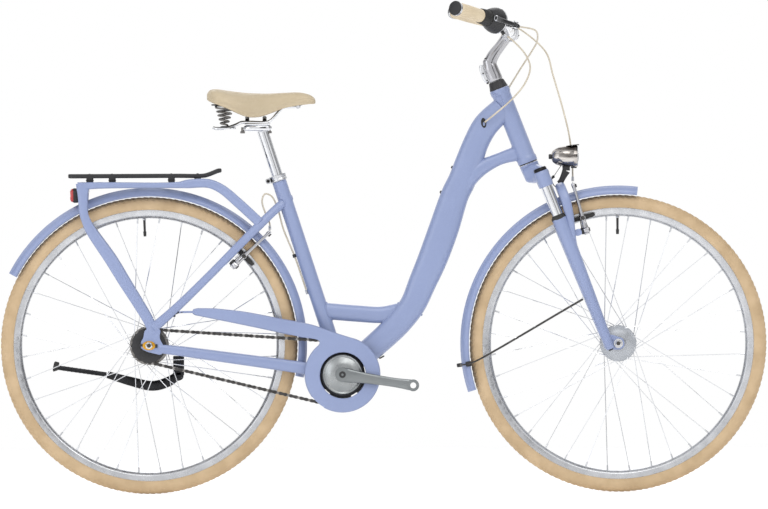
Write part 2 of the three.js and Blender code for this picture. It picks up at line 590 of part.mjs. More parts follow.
// The platform: two long rods and their cross rods bent from one plane, turned up at the front
const PLATFORM = {
  crossThickness: 8.4, footThickness: 7,
  bottom: 747, thickness: 10, rodWidth: 9, rearX: -748, bendX: -424, frontX: -387, lift: 12,
  rearHalf: 58, frontHalf: 40, tipHalf: 30, crossCount: 4, footWidth: 14,
};
const PLATFORM_FEET = [-693, -640, -500, -438];
const platformRodAt = (x, side) => {
  const share = (x - PLATFORM.rearX) / (PLATFORM.bendX - PLATFORM.rearX);
  const half = THREE.MathUtils.lerp(PLATFORM.rearHalf, PLATFORM.frontHalf, share) - PLATFORM.rodWidth / 2;
  return v(x, side * half, PLATFORM.bottom + PLATFORM.thickness / 2);
};

function platform() {
  const section = { width: PLATFORM.rodWidth, depth: PLATFORM.thickness };
  const rod = (points) => sweep(points.map((at) => ({ at, ...section })), BOX_SIDES, BOX_POWER);
  const rods = [-1, 1].map((side) => {
    const tip = v(PLATFORM.frontX, side * PLATFORM.tipHalf, PLATFORM.bottom + PLATFORM.thickness / 2 + PLATFORM.lift);
    return rod([platformRodAt(PLATFORM.rearX + PLATFORM.rodWidth, side), platformRodAt(PLATFORM.bendX, side), tip]);
  });
  const crossAt = (x, z = PLATFORM.bottom + PLATFORM.thickness / 2, half = platformRodAt(x, 1).y) => sweep(
    [v(x, -half, z), v(x, half, z)].map((at) => ({ at, width: PLATFORM.rodWidth, depth: PLATFORM.crossThickness })),
    BOX_SIDES, BOX_POWER, v(1, 0, 0),
  );
  const crosses = [crossAt(PLATFORM.rearX + PLATFORM.rodWidth)];
  for (let i = 1; i <= PLATFORM.crossCount; i += 1) {
    crosses.push(crossAt(THREE.MathUtils.lerp(PLATFORM.rearX, PLATFORM.bendX, i / PLATFORM.crossCount)));
  }
  crosses.push(crossAt(PLATFORM.frontX, PLATFORM.bottom + PLATFORM.thickness / 2 + PLATFORM.lift, PLATFORM.tipHalf));
  const feet = PLATFORM_FEET.flatMap((x) => [-1, 1].map((side) => {
    const top = platformRodAt(x, side);
    const bottom = carrierTopAt(x) + PAINT_GAP;
    return box(PLATFORM.footWidth, PLATFORM.footThickness, top.z - bottom, v(x, top.y, (top.z + bottom) / 2));
  }));
  return join(...rods, ...crosses, ...feet);
}

// The height of the rails' top face, which steps up near the front
function carrierTopAt(x) {
  const near = RAIL_STATIONS.filter((s) => carrierPoint(s.share, 0).x <= x).pop();
  return carrierPoint(near.share, 0).z + near.depth / 2;
}
part('carrier_platform', platform(), black);

// Rear light under the back of the platform, on a bracket to the carrier's cross tube
const REAR_LIGHT = { width: 76, height: 35, lens: 8, body: 11, top: 724, rear: -739, gap: 0.4, corner: 3 };

function rearLight() {
  const bodyFront = REAR_LIGHT.rear + REAR_LIGHT.lens + REAR_LIGHT.gap + REAR_LIGHT.body;
  const middle = v(bodyFront - REAR_LIGHT.body / 2, 0, REAR_LIGHT.top - REAR_LIGHT.height / 2);
  const housing = sweep([-1, 1].map((end) => ({
    at: middle.clone().add(v((end * REAR_LIGHT.body) / 2, 0, 0)), width: REAR_LIGHT.width, depth: REAR_LIGHT.height,
  })), ROUND_SIDES, 4);
  const cross = carrierPoint(CARRIER_CROSSES[0], 0);
  const tab = bar(middle.clone().setZ(cross.z),
    cross.clone().add(v(-CARRIER.crossRadius * Math.cos(Math.PI / SMALL_SIDES) - PAINT_GAP, 0, 0)), REAR_LIGHT.corner * 2);
  const lens = sweep([0, REAR_LIGHT.lens / 2, REAR_LIGHT.lens].map((x, i) => ({
    at: v(REAR_LIGHT.rear + x, 0, middle.z),
    width: REAR_LIGHT.width - REAR_LIGHT.corner * (2 - i), depth: REAR_LIGHT.height - REAR_LIGHT.corner * (2 - i),
  })), ROUND_SIDES, 4);
  part('rear_light_housing', join(housing, tab), black);
  part('rear_light_lens', lens, red);
}
rearLight();

// Mudguards: a bowed channel along an arc over the tyre
function mudguard(centre, fromDegrees, toDegrees) {
  const half = MUDGUARD.width / 2;
  const deep = MUDGUARD.outerRadius - MUDGUARD.innerRadius;
  const bowShares = [[-1, 0], [-0.86, 0.66], [-0.35, 1], [0.35, 1], [0.86, 0.66], [1, 0]];
  const outer = bowShares.map(([y, r]) => [y * half, MUDGUARD.innerRadius + r * deep]);
  const inner = bowShares.map(([y, r]) => [
    y * (half - MUDGUARD.sheet), MUDGUARD.innerRadius + r * (deep - MUDGUARD.sheet),
  ]).reverse();
  const section = [...outer, ...inner];
  const rings = [];
  const steps = Math.round((toDegrees - fromDegrees) / MUDGUARD.degreesPerStep);
  for (let i = 0; i <= steps; i += 1) {
    const degrees = fromDegrees + ((toDegrees - fromDegrees) * i) / steps;
    rings.push(section.map(([y, radius]) => arc(centre, radius, degrees, degrees, 1)[0].setY(y)));
  }
  return channel(rings);
}

// Skins a channel's rings; the end faces follow the folded section instead of a fan.
function channel(rings) {
  const g = skin(rings);
  const n = rings[0].length;
  const index = Array.from(g.index.array).slice(0, (rings.length - 1) * n * 6);
  const end = (rings.length - 1) * n;
  for (let j = 0; j < n / 2 - 1; j += 1) {
    const [a, b, c, d] = [j, j + 1, n - 2 - j, n - 1 - j];
    index.push(a, c, b, a, d, c, end + a, end + b, end + c, end + a, end + c, end + d);
  }
  g.setIndex(index);
  return g;
}
const REAR_MUDGUARD_DEGREES = [-12, 152.5];
const FRONT_MUDGUARD_DEGREES = [82.5, 197.8];
part('rear_mudguard', mudguard(rearAxle, ...REAR_MUDGUARD_DEGREES), blue);

// Seat collar with its bolt, and the headset's upper cone and lower ring
const COLLAR = { height: 15, wall: 3, earLength: 12, earWidth: 12, earHeight: 12, boltRadius: 2.6 };
const HEADSET = { upperHeight: 26, upperTop: 17, upperFoot: 22 };

function seatCollar() {
  const [from, to] = [onSeat(SEAT_TUBE_LENGTH + PAINT_GAP), onSeat(SEAT_TUBE_LENGTH + PAINT_GAP + COLLAR.height)];
  const outer = SEAT_TUBE.diameter / 2 + COLLAR.wall;
  const middle = from.clone().lerp(to, 0.5);
  const ear = box(COLLAR.earLength, COLLAR.earWidth, COLLAR.earHeight, v(0, 0, 0));
  ear.rotateY(-SEAT_TILT);
  const earAt = middle.clone().addScaledVector(seatForward, -outer - COLLAR.earLength / 2 + COLLAR.wall);
  ear.translate(earAt.x, earAt.y, earAt.z);
  const bolt = bar(earAt.clone().add(v(0, -COLLAR.earWidth, 0)), earAt.clone().add(v(0, COLLAR.earWidth, 0)),
    COLLAR.boltRadius, COLLAR.boltRadius, SMALL_SIDES);
  const hole = bar(from.clone().addScaledVector(seatUp, -CUT_OVERRUN), to.clone().addScaledVector(seatUp, CUT_OVERRUN),
    SEAT_TUBE.bore, SEAT_TUBE.bore, FINE_SIDES);
  return cut(join(bar(from, to, outer, outer, FINE_SIDES), ear, bolt), hole);
}
part('seat_collar', seatCollar(), silver);

const ringProfile = (bore, foot, top, height) => [[bore, 0], [foot, 0], [top, height], [bore, height]];
part('headset_upper', turned(
  ringProfile(HEAD_TUBE.bore, HEADSET.upperFoot, HEADSET.upperTop, HEADSET.upperHeight),
  headTop.clone().addScaledVector(headUp, PAINT_GAP), headUp, FINE_SIDES, true,
), black);
part('headset_lower', turned(
  ringProfile(HEAD_TUBE.bore, HEAD_TUBE.radius, HEAD_TUBE.radius, HEAD_TUBE.race - 2 * PAINT_GAP),
  headBottom.clone().addScaledVector(headUp, PAINT_GAP), headUp, FINE_SIDES, true,
), black);

// Drive: half-inch chain, a chainring with twice the sprocket's teeth, cranks on a square spindle
const CHAIN = { pitch: 12.7, outerWidth: 7, innerWidth: 4.6, height: 8.4 };
const TEETH = { ring: 38, sprocket: 19, height: 3.4, thickness: 2.2 };
const pitchRadius = (teeth) => CHAIN.pitch / (2 * Math.sin(Math.PI / teeth));

function toothedPlate(centre, teeth, y, bore, turnShare = 0) {
  const linkSag = pitchRadius(teeth) * (1 - Math.cos(Math.PI / teeth));
  const root = pitchRadius(teeth) - CHAIN.height / 2 - linkSag - PAINT_GAP - TEETH.height;
  const corners = [];
  for (let i = 0; i < teeth; i += 1) {
    for (const [place, rise] of [[-0.5, 0], [0, 1]]) {
      const angle = (2 * Math.PI * (i + place + turnShare)) / teeth;
      const radius = root + rise * TEETH.height;
      corners.push([radius * Math.cos(angle), radius * Math.sin(angle)]);
    }
  }
  const flat = plate(corners, y, TEETH.thickness, [{ x: 0, z: 0, radius: bore }]);
  return flat.translate(centre.x, 0, centre.z);
}

// The chain's centre line: the upper run, round the chainring, the lower run, round the sprocket
function chainPath() {
  const [big, small] = [pitchRadius(TEETH.ring), pitchRadius(TEETH.sprocket)];
  const between = bottomBracket.clone().sub(rearAxle);
  const apart = between.length();
  const slope = Math.atan2(between.z, between.x);
  const open = Math.asin((big - small) / apart);
  const run = Math.sqrt(apart ** 2 - (big - small) ** 2);
  const upper = slope + Math.PI / 2 + open;
  const lower = slope - Math.PI / 2 - open;
  const lengths = [run, big * (upper - lower), run, small * (2 * Math.PI - (upper - lower))];
  const total = lengths.reduce((a, b) => a + b);
  const links = 2 * Math.round(total / CHAIN.pitch / 2);
  const round = (centre, radius, angle) => v(centre.x + radius * Math.cos(angle), -CHAINLINE, centre.z + radius * Math.sin(angle));
  const at = (distance) => {
    let d = distance;
    if (d < run) return round(rearAxle, small, upper).lerp(round(bottomBracket, big, upper), d / run);
    d -= run;
    if (d < lengths[1]) return round(bottomBracket, big, upper - d / big);
    d -= lengths[1];
    if (d < run) return round(bottomBracket, big, lower).lerp(round(rearAxle, small, lower), d / run);
    d -= run;
    return round(rearAxle, small, lower - d / small);
  };
  const runs = [[at(0), at(run)], [at(run + lengths[1]), at(2 * run + lengths[1])]];
  return { at, links, step: total / links, runs };
}

// Wide outer and narrow inner links in turn, as one unbroken band
function chain() {
  const { at, links, step } = chainPath();
  const rings = [];
  for (let i = 0; i < links; i += 1) {
    const width = (i % 2 === 0 ? CHAIN.outerWidth : CHAIN.innerWidth) / 2;
    const here = at((i + 0.5) * step);
    const along = at((i + 0.55) * step).sub(at((i + 0.45) * step)).normalize();
    const out = new THREE.Vector3().crossVectors(v(0, 1, 0), along);
    const corner = (y, z) => here.clone().add(v(0, y * width, 0)).addScaledVector(out, (z * CHAIN.height) / 2);
    rings.push([corner(-1, -1), corner(1, -1), corner(1, 1), corner(-1, 1)]);
  }
  return skin(rings, true);
}

const SPROCKET = { bodyRadius: 24, bodyFrom: -44, bodyTo: -61, bore: 5.6 };
function sprocket() {
  const body = turned([
    [SPROCKET.bore, SPROCKET.bodyTo], [SPROCKET.bodyRadius - 8, SPROCKET.bodyTo], [SPROCKET.bodyRadius, -CHAINLINE],
    [SPROCKET.bodyRadius, SPROCKET.bodyFrom], [SPROCKET.bore, SPROCKET.bodyFrom],
  ], rearAxle, v(0, 1, 0), FINE_SIDES, true);
  return join(body, toothedPlate(rearAxle, TEETH.sprocket, -CHAINLINE, SPROCKET.bodyRadius - CUT_OVERRUN, 0.5));
}

const CRANK = {
  armInner: 65, armThickness: 13, bossRadius: 17, eyeRadius: 14, eyeBore: 7, waist: 22, spiderRadius: 48.7,
  spiderTop: 60.5, ringHole: 47, restDegrees: -8.9, endCap: 3,
};
const crankOut = (distance) => arc(bottomBracket, distance, CRANK.restDegrees, CRANK.restDegrees, 1)[0];

// An arm from the spindle to the pedal eye, tapering in depth; side is -1 on the right
function crankArm(side) {
  const y = side * (CRANK.armInner + CRANK.armThickness / 2);
  const turn = side < 0 ? 1 : -1;
  const place = (share) => crankOut(turn * share * CRANK_LENGTH).setY(y);
  const outline = (share, depth) => ({
    at: place(share), width: CRANK.armThickness, depth,
  });
  const arm = sweep([outline(0, CRANK.bossRadius * 2), outline(0.25, CRANK.waist * 1.35), outline(0.6, CRANK.waist),
    outline(1, CRANK.eyeRadius * 1.8)], SMALL_SIDES, 3);
  const disc = (share, radius, from, to) => bar(place(share).setY(side * from), place(share).setY(side * to), radius,
    radius, FINE_SIDES);
  const outer = CRANK.armInner + CRANK.armThickness;
  return cut(join(arm, disc(0, CRANK.bossRadius, CRANK.armInner, outer), disc(1, CRANK.eyeRadius, CRANK.armInner, outer)),
    disc(1, CRANK.eyeBore, CRANK.armInner - CUT_OVERRUN, outer + CUT_OVERRUN));
}

function rightCrank() {
  const tube = (radius, from, to, sides = FINE_SIDES) => bar(
    bottomBracket.clone().setY(-from), bottomBracket.clone().setY(-to), radius, radius, sides);
  const spider = tube(CRANK.spiderRadius, CHAINLINE + TEETH.thickness / 2 + PAINT_GAP, CRANK.spiderTop);
  const neck = tube(CRANK.bossRadius, BOTTOM_SHELL.width / 2 + PAINT_GAP, CRANK.armInner + CRANK.endCap);
  const spindle = tube(SPINDLE_RADIUS, CRANK.armInner, -CRANK.armInner + PAINT_GAP);
  return join(crankArm(-1), spider, neck, spindle);
}
part('right_crank', rightCrank(), silver);
part('left_crank', crankArm(1), silver);
part('chainring', toothedPlate(bottomBracket, TEETH.ring, -CHAINLINE, CRANK.bossRadius + 2 * PAINT_GAP, 0.5), darkSteel);
part('sprocket', sprocket(), darkSteel);
part('chain', chain(), darkSteel);

// Chain guard: a disc round the chainring and a tapering arm along the upper run, hollow on the inside
const GUARD = {
  radius: 88.6, opening: 57, outer: 63.5, inner: 45.5, wall: 2.5, openingShift: [3.3, -2.4], runGap: 2.5,
  tabFrom: -449, tabTo: -483.4, tabRadius: 3, tabSide: 60, tabZ: 430,
};
const GUARD_ARM_SHARES = [
  [0.10, 0.80], [-0.17, 1.10], [-0.80, 1.32], [-1.73, 1.51], [-2.61, 1.68], [-3.38, 1.77], [-3.85, 1.78],
  [-3.99, 1.69], [-3.91, 1.61], [-2.28, 1.27], [-1.12, 1.01], [-0.49, 0.86],
];

function chainGuard() {
  const disc = (radius, from, to, shift = [0, 0]) => bar(
    bottomBracket.clone().add(v(shift[0], -from, shift[1])), bottomBracket.clone().add(v(shift[0], -to, shift[1])),
    radius, radius, WHEEL_STEPS,
  );
  const arm = (drop, from, to) => plate(GUARD_ARM_SHARES.map(([x, z]) => [
    bottomBracket.x + x * GUARD.radius, bottomBracket.z + z * GUARD.radius - drop,
  ]), -(from + to) / 2, to - from);
  const skinOuter = join(disc(GUARD.radius, GUARD.inner, GUARD.outer), arm(0, GUARD.inner, GUARD.outer));
  const hollow = join(disc(GUARD.radius - GUARD.wall, GUARD.inner - CUT_OVERRUN, GUARD.outer - GUARD.wall),
    arm(GUARD.wall, GUARD.inner - CUT_OVERRUN, GUARD.outer - GUARD.wall));
  const mouth = [GUARD.inner - CUT_OVERRUN, GUARD.outer - GUARD.wall];
  const runSlots = chainPath().runs.map((run) => sweep(run.map((at) => ({
    at: at.clone().setY(-(mouth[0] + mouth[1]) / 2), width: mouth[1] - mouth[0], depth: CHAIN.height + 2 * GUARD.runGap,
  })), SMALL_SIDES, 6));
  const opening = disc(GUARD.opening, GUARD.inner - CUT_OVERRUN, GUARD.outer + CUT_OVERRUN, GUARD.openingShift);
  const tab = bar(v(GUARD.tabFrom, -GUARD.tabSide, GUARD.tabZ), v(GUARD.tabTo, -GUARD.tabSide, GUARD.tabZ), GUARD.tabRadius,
    GUARD.tabRadius, SMALL_SIDES);
  return join(cut(skinOuter, hollow, opening, ...runSlots), tab);
}
part('chain_guard', chainGuard(), blue);

// Kickstand: a clamp plate under the left chainstay and a leg on a pin that leans outwards, folded up to point back
const KICKSTAND = {
  plate: [26, 14, 30], pivotX: -486, pivotZ: 274, side: 66, pinRadius: 5, hubRadius: 11.5, footRadius: 5.5,
  bendX: -548, bendZ: 255, endX: -778, endZ: 300, kneeX: -655, kneeZ: 282, sleeve: 9, footPad: 9, footLift: 13, lean: 25,
};
const kickstandAxis = v(0, Math.cos(THREE.MathUtils.degToRad(KICKSTAND.lean)), Math.sin(THREE.MathUtils.degToRad(KICKSTAND.lean)));
const onKickstandPin = (out) => v(KICKSTAND.pivotX, KICKSTAND.side, KICKSTAND.pivotZ).addScaledVector(kickstandAxis, out);
const hubFrom = KICKSTAND.plate[1] / 2;

function kickstandBracket() {
  const [length, depth, height] = KICKSTAND.plate;
  const at = chainstayPoint([0.15, 0.19], KICKSTAND.side);
  const under = at.z - CHAINSTAY_STATIONS[1].depth / 2 - PAINT_GAP;
  const bottom = KICKSTAND.pivotZ + KICKSTAND.pinRadius;
  const block = box(length, depth, under - bottom, v(KICKSTAND.pivotX, KICKSTAND.side, (under + bottom) / 2));
  const pin = bar(onKickstandPin(-hubFrom), onKickstandPin(depth * 1.7), KICKSTAND.pinRadius, KICKSTAND.pinRadius, FINE_SIDES);
  const lug = box(length / 2, depth, KICKSTAND.pinRadius * 3, v(KICKSTAND.pivotX, KICKSTAND.side, KICKSTAND.pivotZ + KICKSTAND.pinRadius));
  const turning = bar(onKickstandPin(hubFrom - PAINT_GAP), onKickstandPin(height * 2), KICKSTAND.hubRadius + KICKSTAND.pinRadius);
  return join(cut(join(block, lug), turning, sweep(CHAINSTAY_STATIONS.map((s) => ({
    at: chainstayPoint(s.share, s.side), width: s.width + 2 * PAINT_GAP, depth: s.depth + 2 * PAINT_GAP,
  })), ROUND_SIDES, 2.3)), pin);
}

function kickstandLeg() {
  const side = onKickstandPin(hubFrom + KICKSTAND.sleeve).y;
  const at = (x, z) => v(x, side, z);
  const hub = bar(onKickstandPin(hubFrom + PAINT_GAP), onKickstandPin(hubFrom + KICKSTAND.sleeve * 2), KICKSTAND.hubRadius);
  const hole = bar(onKickstandPin(-hubFrom), onKickstandPin(hubFrom + KICKSTAND.sleeve * 3), KICKSTAND.pinRadius + PAINT_GAP * 2,
    KICKSTAND.pinRadius + PAINT_GAP * 2, FINE_SIDES);
  const leg = sweep([onKickstandPin(hubFrom + KICKSTAND.sleeve), at(KICKSTAND.bendX, KICKSTAND.bendZ),
    at(KICKSTAND.kneeX, KICKSTAND.kneeZ)].map((p, i) => (
    { at: p, width: KICKSTAND.sleeve * (i === 0 ? 1 : 2), depth: KICKSTAND.sleeve * 2 })), SMALL_SIDES);
  const extension = bar(at(KICKSTAND.kneeX, KICKSTAND.kneeZ), at(KICKSTAND.endX, KICKSTAND.endZ), KICKSTAND.footRadius,
    KICKSTAND.footRadius, SMALL_SIDES);
  const foot = sweep([at(KICKSTAND.endX, KICKSTAND.endZ - KICKSTAND.footPad), at(KICKSTAND.endX + 4, KICKSTAND.endZ + KICKSTAND.footLift)]
    .map((p) => ({ at: p, width: KICKSTAND.footPad * 2.2, depth: KICKSTAND.footPad * 1.4 })), SMALL_SIDES, 3);
  return cut(join(hub, leg, extension, foot), hole);
}
part('kickstand_bracket', kickstandBracket(), black);
part('kickstand_leg', kickstandLeg(), black);

// Suspension fork: crown, steerer and stanchions steer; the lower legs slide on the stanchions
// Distances below the fork's top of its crown, its lower legs and its arch
const FORK_DROP = { crownTop: 34.8, crownBottom: 71.8, legTop: 144.8, archTop: 69.8 };
const FORK = {
  legSide: 58, legForward: 19.5, stanchion: 28, sealHeight: 6, sealWidth: 34, legTop: FORK_LENGTH - FORK_DROP.legTop,
  legTopWidth: 36, legBottomWidth: 22, legBottom: -5, crownTop: FORK_LENGTH - FORK_DROP.crownTop,
  crownBottom: FORK_LENGTH - FORK_DROP.crownBottom, crownClamp: 33, steererTop: 40, travel: 50, legBore: 14.4, boreDepth: 150,
  archTop: FORK_LENGTH - FORK_DROP.archTop, archRise: 20, archForward: 49, archDepth: 18,
};
// The crown's sections, from behind the steerer to between the legs, each placed from the top of the leg clamps
const CROWN_STATIONS = [
  { rise: 4, forward: -14, width: 46, depth: 26 }, { rise: 16.8, forward: 0, width: 74, depth: 44 },
  { rise: -6, forward: FORK.legForward, width: 100, depth: 30 },
];
// The arch leaves the front of each leg, climbs past its top and bends over the wheel.
const ARCH = { rootDrop: 70, rootForward: 8, kneeDrop: 30, bendDrop: 30, lean: 1, bendIn: 28 };
const STEERER_TOP_UP = FORK_LENGTH + HEAD_TUBE_LENGTH + HEADSET.upperHeight + FORK.steererTop;

function forkCrown() {
  const lobe = sweep(CROWN_STATIONS.map(({ rise, forward, width, depth }) => (
    { at: onHead(FORK.crownTop + rise, forward), width, depth })), ROUND_SIDES, 3);
  const neck = bar(onHead(FORK.crownTop), onHead(FORK_LENGTH - PAINT_GAP), HEAD_TUBE.radius, HEAD_TUBE.radius);
  const steerer = bar(onHead(FORK.crownTop), onHead(STEERER_TOP_UP), STEERER_RADIUS);
  const topTrim = bar(onHead(FORK_LENGTH - PAINT_GAP), onHead(FORK_LENGTH + HEAD_TUBE.radius), FORK.legSide * 2);
  const legs = [-1, 1].flatMap((side) => [
    bar(onHead(FORK.crownBottom, FORK.legForward, side * FORK.legSide),
      onHead(FORK.crownTop, FORK.legForward, side * FORK.legSide), FORK.crownClamp / 2, FORK.crownClamp / 2, ROUND_SIDES),
    bar(onHead(FORK.legTop - FORK.boreDepth + FORK.travel, FORK.legForward, side * FORK.legSide),
      onHead(FORK.crownTop, FORK.legForward, side * FORK.legSide), FORK.stanchion / 2 - PAINT_GAP),
  ]);
  return join(cut(join(lobe, neck), topTrim), ...legs, steerer);
}

// Dropout at the foot of a leg, reaching forward to the axle
function forkDropout(side) {
  const y = side * (FRONT_DROPOUT.inner + FRONT_DROPOUT.thickness / 2);
  const leg = onHead(FORK.legBottom + FORK.legBottomWidth, FORK.legForward);
  const [behind, ahead] = [FORK.legBottomWidth / 2, FORK.legBottomWidth * 0.65];
  const corners = [
    [leg.x - behind, leg.z], [leg.x + behind, leg.z + behind], [frontAxle.x + ahead, frontAxle.z + behind],
    [frontAxle.x + ahead, frontAxle.z - behind], [frontAxle.x - ahead, frontAxle.z - ahead], [leg.x, leg.z - ahead * 2],
  ];
  const slot = AXLE.radius + 2 * PAINT_GAP;
  return cut(plate(corners, y, FRONT_DROPOUT.thickness),
    bar(frontAxle.clone().setY(y - FRONT_DROPOUT.thickness), frontAxle.clone().setY(y + FRONT_DROPOUT.thickness), slot),
    box(slot * 2, FRONT_DROPOUT.thickness * 2, FORK.legBottomWidth * 2, frontAxle.clone().setY(y).add(v(0, 0, -FORK.legBottomWidth))));
}

function forkLowers() {
  const legStation = (side, up, width) => ({ at: onHead(up, FORK.legForward, side * FORK.legSide), width, depth: width });
  const legs = [-1, 1].flatMap((side) => [
    sweep([
      legStation(side, FORK.legBottom, FORK.legBottomWidth), legStation(side, FORK.legTop * 0.7, FORK.legTopWidth * 0.92),
      legStation(side, FORK.legTop, FORK.legTopWidth), legStation(side, FORK.legTop + FORK.sealHeight, FORK.sealWidth),
    ]),
    forkDropout(side),
    ...brakeBoss(frontAxle, BRAKE.frontDegrees, side, FORK.legSide),
  ]);
  const archStation = (up, side, forward = FORK.archForward) => ({
    at: onHead(up, forward, side), width: FORK.archDepth, depth: FORK.archRise,
  });
  const top = FORK.archTop - FORK.archRise / 2;
  const half = (side) => [
    archStation(FORK.legTop - ARCH.rootDrop, side * FORK.legSide, FORK.legForward + ARCH.rootForward),
    archStation(FORK.legTop - ARCH.kneeDrop, side * FORK.legSide),
    archStation(top - ARCH.bendDrop, side * (FORK.legSide - ARCH.lean)), archStation(top, side * (FORK.legSide - ARCH.bendIn)),
  ];
  const arch = sweep([...half(-1), archStation(top, 0), ...half(1).reverse()], SMALL_SIDES, 3, headForward);
  const bores = [-1, 1].map((side) => bar(
    onHead(FORK.legTop - FORK.boreDepth, FORK.legForward, side * FORK.legSide),
    onHead(FORK.archTop + CUT_OVERRUN, FORK.legForward, side * FORK.legSide), FORK.legBore, FORK.legBore));
  return cut(join(...legs, arch), ...bores);
}
part('fork_crown', forkCrown(), blue);
part('fork_lowers', forkLowers(), blue);
part('front_mudguard', mudguard(frontAxle, ...FRONT_MUDGUARD_DEGREES), blue);

// Front mudguard stay: one wire from the right fork leg round the mudguard's back to the left leg
const FRONT_STAY = {
  wire: 2.2, gap: 2.8, legUp: 128, legOut: 57, legBack: 13.75, bowDegrees: [90, 60, 30, 0, -30, -60, -90], tailDegrees: 187.6,
};
function frontStay() {
  const reach = FRONT_STAY.gap + FRONT_STAY.wire;
  const deep = MUDGUARD.outerRadius - MUDGUARD.innerRadius + reach;
  const bow = FRONT_STAY.bowDegrees.map((degrees) => {
    const angle = THREE.MathUtils.degToRad(degrees);
    const radius = MUDGUARD.innerRadius + deep * Math.cos(angle);
    return arc(frontAxle, radius, FRONT_STAY.tailDegrees, FRONT_STAY.tailDegrees, 1)[0]
      .setY(-(MUDGUARD.width / 2 + reach) * Math.sin(angle));
  });
  const foot = (side) => onHead(FRONT_STAY.legUp, FORK.legForward - FRONT_STAY.legBack, side * FRONT_STAY.legOut);
  return sweep([foot(-1), ...bow, foot(1)].map((at) => ({ at, width: FRONT_STAY.wire * 2, depth: FRONT_STAY.wire * 2 })),
    WIRE_SIDES, 2, v(0, 0, 1));
}

// Stem: a clamp on the steerer, a raised extension and a faceplate round the bar
const BAR_AT = v(302, 0, 1086);
const STEM = {
  clampRadius: 19, clampHeight: 38, bore: 15.2, width: 26, depth: 25, barClamp: 20.5, barWidth: 46, barBore: 16.2,
  ear: [16.8, 18, 14.4], jointRadius: 16, jointWidth: 34, jointUp: 6, jointForward: 4,
};
const stemFoot = FORK_LENGTH + HEAD_TUBE_LENGTH + HEADSET.upperHeight + 2 * PAINT_GAP;
function stem() {
  const clamp = bar(onHead(stemFoot), onHead(stemFoot + STEM.clampHeight), STEM.clampRadius, STEM.clampRadius, FINE_SIDES);
  const ear = sweep([
    { at: onHead(stemFoot + PAINT_GAP, -STEM.clampRadius), width: STEM.ear[0], depth: STEM.ear[1] },
    { at: onHead(stemFoot + STEM.clampHeight, -STEM.clampRadius), width: STEM.ear[0], depth: STEM.ear[2] },
  ], SMALL_SIDES, 4);
  const joint = onHead(stemFoot + STEM.clampHeight + STEM.jointUp, STEM.jointForward);
  const pivot = bar(joint.clone().setY(-STEM.jointWidth / 2), joint.clone().setY(STEM.jointWidth / 2), STEM.jointRadius);
  const extension = sweep([joint, BAR_AT].map((at) => ({ at, width: STEM.width, depth: STEM.depth })), ROUND_SIDES, 2.5);
  const face = bar(BAR_AT.clone().setY(-STEM.barWidth / 2), BAR_AT.clone().setY(STEM.barWidth / 2), STEM.barClamp,
    STEM.barClamp, FINE_SIDES);
  const barBore = bar(BAR_AT.clone().setY(-STEM.barWidth), BAR_AT.clone().setY(STEM.barWidth), STEM.barBore,
    STEM.barBore, FINE_SIDES);
  const bore = bar(onHead(stemFoot - CUT_OVERRUN), onHead(STEERER_TOP_UP + PAINT_GAP), STEM.bore, STEM.bore, FINE_SIDES);
  return cut(join(clamp, ear, pivot, extension, face), barBore, bore);
}

// Handlebar path for one side, from the middle outwards
const BAR = { radius: 11.1, centreRadius: 15.9, centreHalf: 26 };
// Shares of its reach: straight out of the stem, a rising bend, then a straight stretch for the controls and the grip
const BAR_SHARES = [[0, 0, 0], [0, 0.12, 0], [0, 0.25, 0.13], [0.054, 0.393, 0.345],
  [0.12, 0.4355, 0.3908], [0.29, 0.545, 0.509], [0.527, 0.697, 0.6733], [0.763, 0.8488, 0.8368], [1, 1.001, 1]];
const BAR_REACH = { back: 130, out: 300, up: 55 };
const barPoint = ([back, out, up], side) => v(
  BAR_AT.x - back * BAR_REACH.back, side * out * BAR_REACH.out, BAR_AT.z + up * BAR_REACH.up,
);
const barCurve = (side) => new THREE.CatmullRomCurve3(BAR_SHARES.map((share) => barPoint(share, side)));
// Where a clamp or a grip sits: a distance in from the bar's end, and the bar's direction there
function onBar(side, inFromEnd) {
  const curve = barCurve(side);
  const share = 1 - inFromEnd / curve.getLength();
  return { at: curve.getPointAt(share), out: curve.getTangentAt(share) };
}

function handlebar() {
  const steps = 9;
  const half = (side) => {
    const points = [];
    for (let i = 1; i <= steps; i += 1) points.push(barCurve(side).getPointAt(i / steps));
    return points;
  };
  const line = [...half(-1).reverse(), BAR_AT, ...half(1)];
  const centre = bar(BAR_AT.clone().setY(-BAR.centreHalf), BAR_AT.clone().setY(BAR.centreHalf), BAR.centreRadius,
    BAR.centreRadius, FINE_SIDES);
  return join(sweep(line.map((at) => ({ at, width: BAR.radius * 2, depth: BAR.radius * 2 })), ROUND_SIDES, 2, v(1, 0, 0)), centre);
}

// A sleeve that follows the bar between two distances from its end, made as one closed skin
function sleeve(side, from, to, outer, bore, steps = 3, sides = ROUND_SIDES) {
  const rings = [];
  const add = (i, radius) => {
    const { at, out } = onBar(side, from + ((to - from) * i) / steps);
    const across = v(1, 0, 0).addScaledVector(out, -out.x).normalize();
    rings.push(ring(at, across, new THREE.Vector3().crossVectors(out, across), radius, radius, sides));
  };
  for (let i = 0; i <= steps; i += 1) add(i, typeof outer === 'function' ? outer(i / steps) : outer);
  for (let i = steps; i >= 0; i -= 1) add(i, bore);
  return skin(rings, true);
}

const GRIP = { rightLength: 105, leftLength: 132, radius: 16, bore: 12.1, cap: 3, capRadius: 17 };
const SHIFTER = { twist: 30, twistRadius: 19, housing: 44, smallRadius: 22, largeRadius: 31, gap: 0.5, bore: 11.9 };
